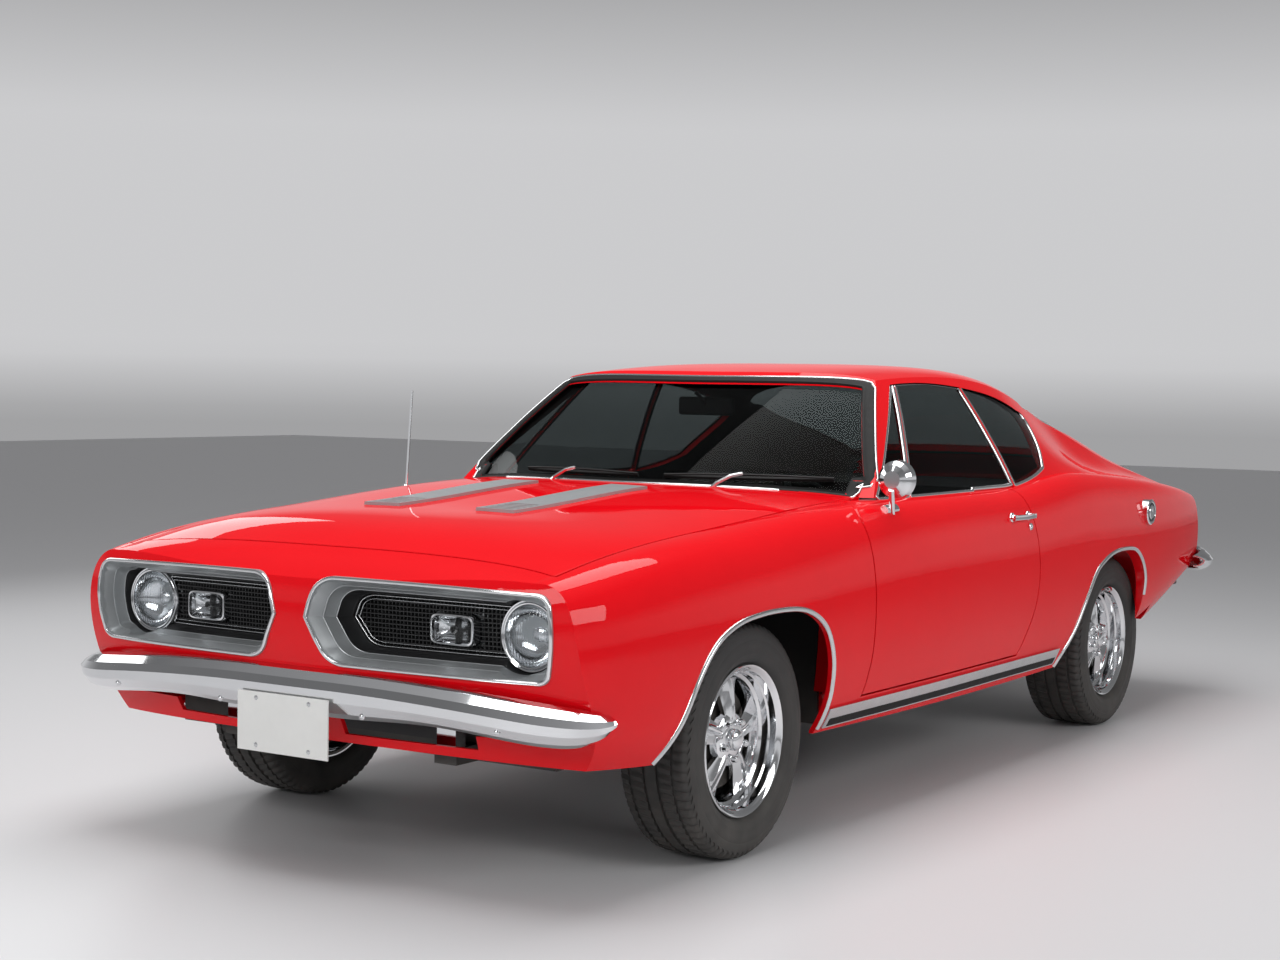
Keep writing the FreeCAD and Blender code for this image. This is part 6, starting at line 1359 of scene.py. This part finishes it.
@dataclass
class Wipers:
    """Wiper arms with their blades, on the lower edge of the windshield."""

    base_y: float = -0.965
    base_bend: float = 0.265
    base_x: float = 0.689
    base_z: float = 0.950
    top_y: float = -0.400
    top_bend: float = 0.074
    top_x: float = 0.584
    top_z: float = 1.300
    bulge: float = 0.014
    pivots: tuple[float, float] = (0.330, -0.240)
    reach: float = 0.480
    out_share: float = 0.35
    rise: float = 0.07

    def point(self, x: float, rise: float, proud: float) -> Vector:
        """Point that stands proud of the windshield, at a share of its height."""
        base = self.base_y + self.base_bend * (x / self.base_x) ** 2
        top = self.top_y + self.top_bend * (x / self.top_x) ** 2
        lean = math.atan2(top - base, self.top_z - self.base_z)
        return Vector((x, base + rise * (top - base) - self.bulge * 4 * rise * (1 - rise) - proud * math.cos(lean),
                       self.base_z + rise * (self.top_z - self.base_z) + proud * math.sin(lean)))

    def build(self, wardrobe: Wardrobe) -> int:
        """Builds and dresses both wipers.

        Args:
            wardrobe: The materials.

        Returns:
            Number of pieces made.
        """
        arms, blades = [], []
        up = Vector((0, -0.62, 0.78))
        for pivot in self.pivots:
            x0, x1 = pivot - self.reach * self.out_share, pivot + self.reach * (1 - self.out_share)
            line = [self.point(x0 + (x1 - x0) * k / 10, self.rise, 0.011) for k in range(11)]
            blades.append(swept("rubber", line, [up] * 11, [(-0.003, -0.009), (0.003, -0.009), (0.0045, 0.001), (-0.0045, 0.001)]))
            bridge = [p + up * (0.003 + 0.008 * math.sin(math.pi * k / 10)) for k, p in enumerate(line)]
            blades.append(swept("bridge", bridge, [up] * 11, [(-0.003, -0.001), (0.003, -0.001), (0.003, 0.0025), (-0.003, 0.0025)]))
            foot = self.point(pivot, -self.rise, 0.018)
            middle = bridge[5] + up * 0.004
            bend = [foot, foot.lerp(middle, 0.3) + up * 0.012, foot.lerp(middle, 0.7) + up * 0.012, middle]
            curve = []
            for i in range(3):
                curve += [bend[i].lerp(bend[i + 1], k / 5) for k in range(5)]
            curve.append(bend[-1])
            arms.append(swept("arm", curve, [up] * len(curve), [(-0.006, -0.002), (0.006, -0.002), (0.004, 0.004), (-0.004, 0.004)]))
            low = foot - Vector((0, 0, 0.040))
            arms.append(rod("post", [low, foot + Vector((0, 0, 0.004))], 0.0115, 20))
        wardrobe.dress(joined("wiper_arms", arms), TRIM, "chassis", ("wipers",))
        wardrobe.dress(joined("wiper_blades", blades), SEAL, "chassis")
        return 2


@dataclass
class Seat:
    """One padded bench or bucket seat, given as stations along its side outline."""

    name: str
    low_x: float
    high_x: float
    cushion: tuple[tuple[float, float, float, float], ...]
    back: tuple[tuple[float, float, float, float], ...]
    channels: int = 7

    def pad(self, name: str, stations: tuple[tuple[float, float, float, float], ...]) -> bpy.types.Object:
        """Makes a crowned pad with sewn channels.

        Args:
            name: Name of the pad.
            stations: Face place and height, and back place and height, from one end of the pad to the other.

        Returns:
            The pad.
        """
        columns, edge = 56, 8
        half = (self.high_x - self.low_x) / 2
        middle = (self.high_x + self.low_x) / 2
        stations = fine_stations(stations, 5)
        rows = []
        last = len(stations) - 1
        for i, (ya, za, yb, zb) in enumerate(stations):
            end = min(i, last - i) / last * 2
            soft_end = 1 - (1 - min(end * 2.6, 1.0)) ** 2.4
            row = []
            for k in range(columns + 1):
                u = -1 + 2 * k / columns
                soft_side = 1 - abs(u) ** 6
                groove = abs(math.sin(math.pi * self.channels * (u * 0.5 + 0.5)))
                tuck = 1 - 0.10 * (1 - groove ** 0.35) * (1 if abs(u) < 0.78 and 0.12 < i / last < 0.88 else 0)
                fill = (0.30 + 0.70 * soft_side * soft_end) * tuck
                x = middle + half * u * (0.965 + 0.035 * soft_end)
                row.append(Vector((x, yb + (ya - yb) * fill, zb + (za - zb) * fill)))
            rows.append(row)
        front = [p for row in rows for p in row]
        back = []
        for i, (_, _, yb, zb) in enumerate(stations):
            for k in range(columns + 1):
                u = -1 + 2 * k / columns
                back.append(Vector((middle + half * u * 0.965, yb, zb)))
        size = (last + 1) * (columns + 1)
        faces = grid_faces(last + 1, columns + 1, False, False)
        faces += [tuple(size + k for k in reversed(face)) for face in grid_faces(last + 1, columns + 1, False, False)]
        border = [k for k in range(columns + 1)] + [i * (columns + 1) + columns for i in range(1, last + 1)]
        border += [last * (columns + 1) + k for k in range(columns - 1, -1, -1)] + [i * (columns + 1) for i in range(last - 1, 0, -1)]
        for a, b in zip(border, border[1:] + border[:1]):
            faces.append((b, a, size + a, size + b))
        return crease(new_piece(name, front + back, faces), 60)


def fine_stations(stations: tuple[tuple[float, ...], ...], parts: int) -> list[tuple[float, ...]]:
    """Adds stations on a smooth curve between the given ones."""
    finer: list[tuple[float, ...]] = []
    last = len(stations) - 1
    for i in range(last):
        before, a, b, after = stations[max(i - 1, 0)], stations[i], stations[i + 1], stations[min(i + 2, last)]
        for k in range(parts):
            t = k / parts
            finer.append(tuple(
                0.5 * (2 * a[d] + (b[d] - before[d]) * t + (2 * before[d] - 5 * a[d] + 4 * b[d] - after[d]) * t ** 2
                       + (3 * a[d] - before[d] - 3 * b[d] + after[d]) * t ** 3) for d in range(len(a))))
    return finer + [stations[last]]


@dataclass
class Cabin:
    """Seats, instruments, inner mirror and steering wheel."""

    seat_half: float = 0.238
    seat_x: float = 0.415
    wheel: Vector = field(default_factory=lambda: Vector((0.360, -0.430, 0.800)))
    wheel_radius: float = 0.186
    tilt: float = math.radians(22.0)

    def seats(self, wardrobe: Wardrobe) -> int:
        """Makes the front buckets and the rear bench.

        Args:
            wardrobe: The materials.

        Returns:
            Number of pieces made.
        """
        bucket_cushion = ((-0.328, 0.460, -0.316, 0.372), (-0.300, 0.487, -0.290, 0.372), (-0.200, 0.489, -0.200, 0.372),
                          (-0.050, 0.472, -0.050, 0.372), (0.080, 0.462, 0.080, 0.372), (0.130, 0.470, 0.150, 0.390))
        bucket_back = ((0.128, 0.470, 0.235, 0.420), (0.158, 0.540, 0.262, 0.500), (0.200, 0.640, 0.305, 0.600),
                       (0.245, 0.740, 0.345, 0.700), (0.290, 0.840, 0.385, 0.810), (0.325, 0.888, 0.400, 0.862))
        bench_cushion = ((0.604, 0.500, 0.620, 0.478), (0.612, 0.552, 0.640, 0.478), (0.700, 0.549, 0.700, 0.478),
                         (0.800, 0.538, 0.800, 0.480), (0.880, 0.532, 0.900, 0.482))
        bench_back = ((0.890, 0.540, 0.985, 0.520), (0.912, 0.620, 0.998, 0.600), (0.935, 0.720, 1.005, 0.700),
                      (0.958, 0.800, 1.010, 0.780), (0.975, 0.852, 1.014, 0.836))
        pieces = []
        for side in Side:
            x = self.seat_x * side.value
            word = side.name.lower()
            seat = Seat(f"bucket_{word}", x - self.seat_half, x + self.seat_half, bucket_cushion, bucket_back)
            pieces += [seat.pad(f"bucket_cushion_{word}", bucket_cushion), seat.pad(f"bucket_back_{word}", bucket_back)]
        bench = Seat("bench", -0.525, 0.525, bench_cushion, bench_back, 14)
        rear = [bench.pad("bench_cushion", bench_cushion), bench.pad("bench_back", bench_back)]
        for number, piece in enumerate(pieces):
            wardrobe.dress(piece, VINYL, "chassis", ("front_seats",) if number == 0 else ())
        for number, piece in enumerate(rear):
            wardrobe.dress(piece, VINYL, "chassis", ("rear_seat",) if number == 0 else ())
        bases = []
        for side in Side:
            x = self.seat_x * side.value
            for foot in (-0.165, 0.165):
                bases.append(slab("runner", (x + foot - 0.018, -0.300, 0.2825), (x + foot + 0.018, 0.230, 0.374), 0.004))
        wardrobe.dress(joined("seat_runners", bases), IRON, "chassis")
        wardrobe.dress(slab("bench_base", (-0.515, 0.735, 0.4655), (0.515, 1.000, 0.4785), 0.003), CABIN, "chassis")
        return len(pieces) + len(rear) + 2

    def steering_wheel(self) -> tuple[bpy.types.Object, bpy.types.Object]:
        """Makes the wheel's grip and its bright horn ring with spokes.

        Returns:
            The grip and the bright parts.
        """
        axis = Vector((0, math.cos(self.tilt), math.sin(self.tilt)))
        side = Vector((1, 0, 0))
        up = axis.cross(side).normalized()
        count = 96
        grip = []
        ups = []
        for k in range(count):
            turn = math.tau * k / count
            out = side * math.cos(turn) + up * math.sin(turn)
            grip.append(self.wheel + out * self.wheel_radius)
            ups.append(axis)
        bumps = round_section(0.0105, 14)
        rim = swept("steering_grip", grip, ups, bumps, True)
        bright = []
        ring = [self.wheel - axis * 0.012 + (side * math.cos(math.tau * k / 64) + up * math.sin(math.tau * k / 64)) * 0.112
                for k in range(64)]
        bright.append(swept("horn_ring", ring, [axis] * 64, round_section(0.0035, 8), True))
        for turn in (0.0, math.pi, -math.pi / 2):
            out = side * math.cos(turn) + up * math.sin(turn)
            start, stop = self.wheel - axis * 0.040 + out * 0.020, self.wheel + out * (self.wheel_radius - 0.006)
            middle = start.lerp(stop, 0.45) - axis * 0.004
            path = [start, start.lerp(middle, 0.5), middle, middle.lerp(stop, 0.5), stop]
            bright.append(swept("spoke", path, [axis] * 5, [(-0.013, -0.002), (0.013, -0.002), (0.011, 0.003), (-0.011, 0.003)]))
        hub = self.wheel - axis * 0.060
        ringed = [(0.0, 0.030), (0.010, 0.038), (0.036, 0.036), (0.046, 0.030), (0.050, 0.020), (0.052, 0.0)]
        verts = []
        for k in range(40):
            turn = math.tau * k / 40
            out = side * math.cos(turn) + up * math.sin(turn)
            verts += [hub + axis * along + out * radius for along, radius in ringed]
        bright.append(crease(new_piece("boss", verts, grid_faces(40, len(ringed), True, False))))
        return rim, joined("steering_bright", bright)

    def instruments(self) -> tuple[bpy.types.Object, bpy.types.Object]:
        """Makes the instrument rings and their dark dials on the dashboard's face.

        Returns:
            The rings and the dials.
        """
        skin = Skin("dashboard")
        rings, dials = [], []
        for x, radius in ((0.235, 0.052), (0.360, 0.060), (0.485, 0.052), (0.585, 0.030)):
            found = skin.hit(Vector((x, 0.3, 0.785)), Vector((0, -1, 0)))
            seat = found[0]
            rings.append(turned("dial_ring", [(0.000, radius), (0.008, radius), (0.010, radius - 0.003), (0.008, radius - 0.006),
                                              (0.001, radius - 0.007)], seat, Axis.Y, 40))
            dials.append(turned("dial", [(0.0012, radius - 0.006), (0.0012, 0.006), (0.006, 0.005), (0.006, 0.0)], seat,
                                Axis.Y, 40))
        return joined("instrument_rings", rings), joined("instrument_dials", dials)

    def inner_mirror(self) -> bpy.types.Object:
        """Makes the inner mirror on its stalk below the windshield's top edge."""
        low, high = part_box("windshield")
        top = Skin("windshield").hit(Vector((0.0, 0.4, 1.235)), Vector((0, -1, 0)))[0]
        place = top + Vector((0.0, 0.075, -0.045))
        head = slab("head", (place.x - 0.105, place.y - 0.012, place.z - 0.030), (place.x + 0.105, place.y + 0.012, place.z + 0.030),
                    0.010)
        stalk = rod("stalk", [top + Vector((0, 0.006, 0)), top + Vector((0, 0.030, -0.012)), place], 0.006)
        return joined("inner_mirror", [head, stalk])

    def build(self, wardrobe: Wardrobe) -> int:
        """Builds and dresses the cabin.

        Args:
            wardrobe: The materials.

        Returns:
            Number of pieces made.
        """
        count = self.seats(wardrobe)
        grip, bright = self.steering_wheel()
        wardrobe.dress(grip, CABIN, "steering_wheel", ("steering_wheel",))
        wardrobe.dress(bright, TRIM, "steering_wheel")
        rings, dials = self.instruments()
        wardrobe.dress(rings, TRIM, "chassis")
        wardrobe.dress(dials, MESH_BLACK, "chassis")
        wardrobe.dress(self.inner_mirror(), CABIN, "chassis")
        return count + 5


@dataclass
class Lining:
    """Black trim on the inner faces of the roof, the pillars and the doors."""

    lift: float = 0.0015
    axis_z: float = 0.85
    front_y: float = -0.80
    rear_y: float = 1.90
    half_width: float = 0.86

    def layer(self, node: str, least: float, low_z: float) -> bpy.types.Object:
        """Copies the faces of a node that look into the cabin.

        Args:
            node: Name of the CAD node.
            least: Least share of the inward direction in a face's normal.
            low_z: Height from which faces are taken.

        Returns:
            The layer, which stands a little proud of the node's faces.
        """
        work = bmesh.new()
        work.from_mesh(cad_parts[node].data)
        bmesh.ops.remove_doubles(work, verts=work.verts, dist=2e-5)
        work.normal_update()
        outside = []
        for face in work.faces:
            centre = face.calc_center_median()
            inward = Vector((0.0, min(max(centre.y, self.front_y), self.rear_y), self.axis_z)) - centre
            near = self.front_y < centre.y < self.rear_y and centre.z > low_z and abs(centre.x) < self.half_width
            if not near or face.normal.dot(inward.normalized()) < least:
                outside.append(face)
        bmesh.ops.delete(work, geom=outside, context="FACES")
        work.normal_update()
        places = [vert.co + vert.normal * self.lift for vert in work.verts]
        for vert, place in zip(work.verts, places):
            vert.co = place
        mesh = bpy.data.meshes.new(f"{node}_lining")
        work.to_mesh(mesh)
        work.free()
        piece = bpy.data.objects.new(f"{node}_lining", mesh)
        bpy.context.scene.collection.objects.link(piece)
        return crease(piece, 30.0)

    def build(self, wardrobe: Wardrobe) -> int:
        """Builds and dresses the layers.

        Args:
            wardrobe: The materials.

        Returns:
            Number of layers made.
        """
        wardrobe.dress(self.layer("body_shell", 0.15, 0.52), CABIN, "chassis")
        for node in ("door_left", "door_right"):
            wardrobe.dress(self.layer(node, 0.60, 0.30), CABIN, node)
        return 3


@dataclass
class Bolts:
    """Bolt heads of the front bumper and of both number plates, and the black sleeves of the bumper's arms."""

    arm_x: float = 0.360
    arm_half: float = 0.0312
    arm_tip: float = -2.4015
    arm_pad: float = -2.3865
    arm_back: float = -2.150
    arm_low: float = 0.4645
    arm_high: float = 0.5075
    pad_low: float = 0.4355

    bumper_x: tuple[float, ...] = (0.240, 0.640)
    bumper_z: float = 0.436
    bumper_radius: float = 0.009
    plate_x: float = 0.0889
    plate_rise: float = 0.0603
    plate_radius: float = 0.0065
    plate_head: float = 0.0012
    head_shares: Outline = field(default_factory=lambda: [
        (0.0, 1.0), (0.24, 1.0), (0.32, 0.78), (0.71, 0.62), (0.95, 0.30), (1.0, 0.0)])

    def head(self, seat: Vector, radius: float, end: int, rise: float = 0.0063) -> bpy.types.Object:
        """Makes a domed head on a washer that looks to the front or to the rear."""
        profile = [(rise * up, radius * out) for up, out in self.head_shares]
        return turned("bolt", profile, seat, Axis.Y, 24, False, end)

    def build(self, wardrobe: Wardrobe) -> int:
        """Builds and dresses the bolt heads.

        Args:
            wardrobe: The materials.

        Returns:
            Number of pieces made.
        """
        bumper, plates, heads, screws = Skin("front_bumper"), Skin("number_plates"), [], []
        for x in self.bumper_x:
            for side in Side:
                found = bumper.hit(Vector((x * side.value, -3.0, self.bumper_z)), Vector((0, 1, 0)))
                if found:
                    heads.append(self.head(found[0] - Vector((0, 0.0005, 0)), self.bumper_radius, -1))
        for end, middle in ((-1, 0.394), (1, 0.421)):
            for side in Side:
                for rise in (-self.plate_rise, self.plate_rise):
                    x = (self.plate_x + 0.006) * side.value
                    found = plates.hit(Vector((x, 3.0 * end, middle + rise)), Vector((0, -end, 0)))
                    if found:
                        seat = Vector((self.plate_x * side.value, found[0].y, middle + rise))
                        screws.append(self.head(seat, self.plate_radius, end, self.plate_head))
        sleeves = []
        for side in Side:
            near, far = sorted((self.arm_x + k * self.arm_half) * side.value for k in (-1, 1))
            sleeves.append(slab("arm", (near, self.arm_tip, self.arm_low), (far, self.arm_back, self.arm_high), 0.004))
            sleeves.append(slab("pad", (near, self.arm_tip, self.pad_low), (far, self.arm_pad, self.arm_high), 0.002))
            foot = Vector((self.arm_x * side.value, self.arm_tip, (self.pad_low + self.arm_low) / 2))
            sleeves.append(self.head(foot, self.bumper_radius, -1))
        wardrobe.dress(joined("bumper_arm_sleeves", sleeves), SEAL, "chassis")
        wardrobe.dress(joined("bumper_bolts", heads), CHROME, "chassis")
        wardrobe.dress(joined("plate_bolts", screws), TRIM, "chassis")
        return 2


@dataclass
class Studio:
    """Floor, light and the camera at the photograph's place."""

    place: Point = (3.598, -6.339, 1.280)
    yaw: float = math.radians(33.05)
    pitch: float = math.radians(2.79)
    roll: float = math.radians(0.86)
    lens: float = 58.69
    floor_half: float = 26.0
    sky: Outline = field(default_factory=lambda: [(0.49, 0.36), (0.505, 0.60), (0.56, 0.60), (0.62, 0.20), (0.80, 0.16)])

    def camera(self) -> bpy.types.Object:
        """Makes the camera.

        Returns:
            The camera, set as the scene's own.
        """
        data = bpy.data.cameras.new("camera")
        data.lens = self.lens
        data.sensor_width = 36.0
        data.clip_end = 200.0
        camera = bpy.data.objects.new("camera", data)
        bpy.context.scene.collection.objects.link(camera)
        sy, cy, sp, cp = math.sin(self.yaw), math.cos(self.yaw), math.sin(self.pitch), math.cos(self.pitch)
        sr, cr = math.sin(self.roll), math.cos(self.roll)
        ahead = Vector((-sy * cp, cy * cp, -sp))
        right = Vector((cy, sy, 0.0))
        up = right.cross(ahead)
        axes = (right * cr + up * sr, up * cr - right * sr, -ahead)
        matrix = Matrix(axes).transposed().to_4x4()
        matrix.translation = Vector(self.place)
        camera.matrix_world = matrix
        bpy.context.scene.camera = camera
        return camera

    def lamp(self, name: str, place: Point, aim: Point, size: tuple[float, float], power: float) -> None:
        """Makes one soft box.

        Args:
            name: Its name.
            place: Where it stands.
            aim: Point that it shines at.
            size: Its width and height.
            power: Its power in watts.
        """
        data = bpy.data.lights.new(name, "AREA")
        data.shape = "RECTANGLE"
        data.size, data.size_y = size
        data.energy = power
        lamp = bpy.data.objects.new(name, data)
        lamp.location = place
        lamp.rotation_euler = (Vector(aim) - Vector(place)).to_track_quat("-Z", "Y").to_euler()
        bpy.context.scene.collection.objects.link(lamp)

    def floor(self) -> None:
        """Makes the pale floor."""
        h = self.floor_half
        verts = [Vector((-h, -h, 0)), Vector((h, -h, 0)), Vector((h, h, 0)), Vector((-h, h, 0))]
        floor = new_piece("floor", verts, [(0, 1, 2, 3)], False)
        made = bpy.data.materials.new("pale_floor")
        made.use_nodes = True
        shader = made.node_tree.nodes["Principled BSDF"]
        shader.inputs["Base Color"].default_value = (0.62, 0.62, 0.63, 1.0)
        shader.inputs["Roughness"].default_value = 0.45
        floor.data.materials.append(made)

    def world(self) -> None:
        """Makes the surroundings: a dark hall for the light, with a pale backdrop that the camera, metal and glass see."""
        world = bpy.data.worlds.new("studio")
        world.use_nodes = True
        bpy.context.scene.world = world
        nodes, links = world.node_tree.nodes, world.node_tree.links
        place, split = nodes.new("ShaderNodeTexCoord"), nodes.new("ShaderNodeSeparateXYZ")
        ramp, level = nodes.new("ShaderNodeValToRGB"), nodes.new("ShaderNodeMapRange")
        stops = ramp.color_ramp.elements
        stops[0].position, stops[0].color = 0.0, (0.30, 0.30, 0.31, 1.0)
        stops[1].position, stops[1].color = 1.0, (0.50, 0.50, 0.51, 1.0)
        for at, shade in self.sky:
            stop = stops.new(at)
            stop.color = (shade, shade, shade * 1.02, 1.0)
        links.new(place.outputs["Generated"], split.inputs["Vector"])
        level.inputs["From Min"].default_value = -1.0
        links.new(split.outputs["Z"], level.inputs["Value"])
        links.new(level.outputs["Result"], ramp.inputs["Fac"])
        back = nodes["Background"]
        links.new(ramp.outputs["Color"], back.inputs["Color"])
        back.inputs["Strength"].default_value = 1.0

    def build(self) -> None:
        """Builds the studio."""
        bpy.context.scene.view_settings.view_transform = "Standard"
        self.floor()
        self.world()
        self.camera()
        self.lamp("overhead_box", (0.0, -0.5, 5.2), (0.0, -0.3, 0.0), (3.2, 7.0), 240.0)
        self.lamp("left_box", (5.6, -1.0, 3.0), (0.3, 0.0, 0.6), (5.0, 1.6), 110.0)
        self.lamp("front_box", (0.6, -7.0, 3.0), (0.0, -1.5, 0.5), (4.0, 1.5), 110.0)
        self.lamp("right_box", (-5.6, 0.0, 3.0), (0.0, 0.0, 0.6), (6.0, 1.6), 80.0)


def main() -> None:
    """Builds the car's looks and the studio, piece by piece."""
    logging.basicConfig(level=logging.INFO)
    random.seed(SEED)
    wardrobe = Wardrobe()
    log.info("panels: %d nodes", Panels().build(wardrobe))
    for name, side, x, y, width in (("front_left", Side.LEFT, 0.729, -1.548, 0.225),
                                    ("front_right", Side.RIGHT, 0.729, -1.548, 0.225),
                                    ("rear_left", Side.LEFT, 0.706, 1.195, 0.235),
                                    ("rear_right", Side.RIGHT, 0.706, 1.195, 0.235)):
        wheel = Wheel(name, side, Vector((x * side.value, y, 0.318)), width)
        log.info("wheel %s: %d pieces", name, wheel.build(wardrobe))
    log.info("mouldings: %d", Mouldings().build(wardrobe))
    log.info("nose end: %d", NoseEnd().build(wardrobe))
    log.info("side fittings: %d", SideFittings().build(wardrobe))
    log.info("wipers: %d", Wipers().build(wardrobe))
    log.info("cabin: %d", Cabin().build(wardrobe))
    log.info("lining: %d", Lining().build(wardrobe))
    log.info("bolts: %d", Bolts().build(wardrobe))
    Studio().build()


if __name__ == "__main__":
    main()
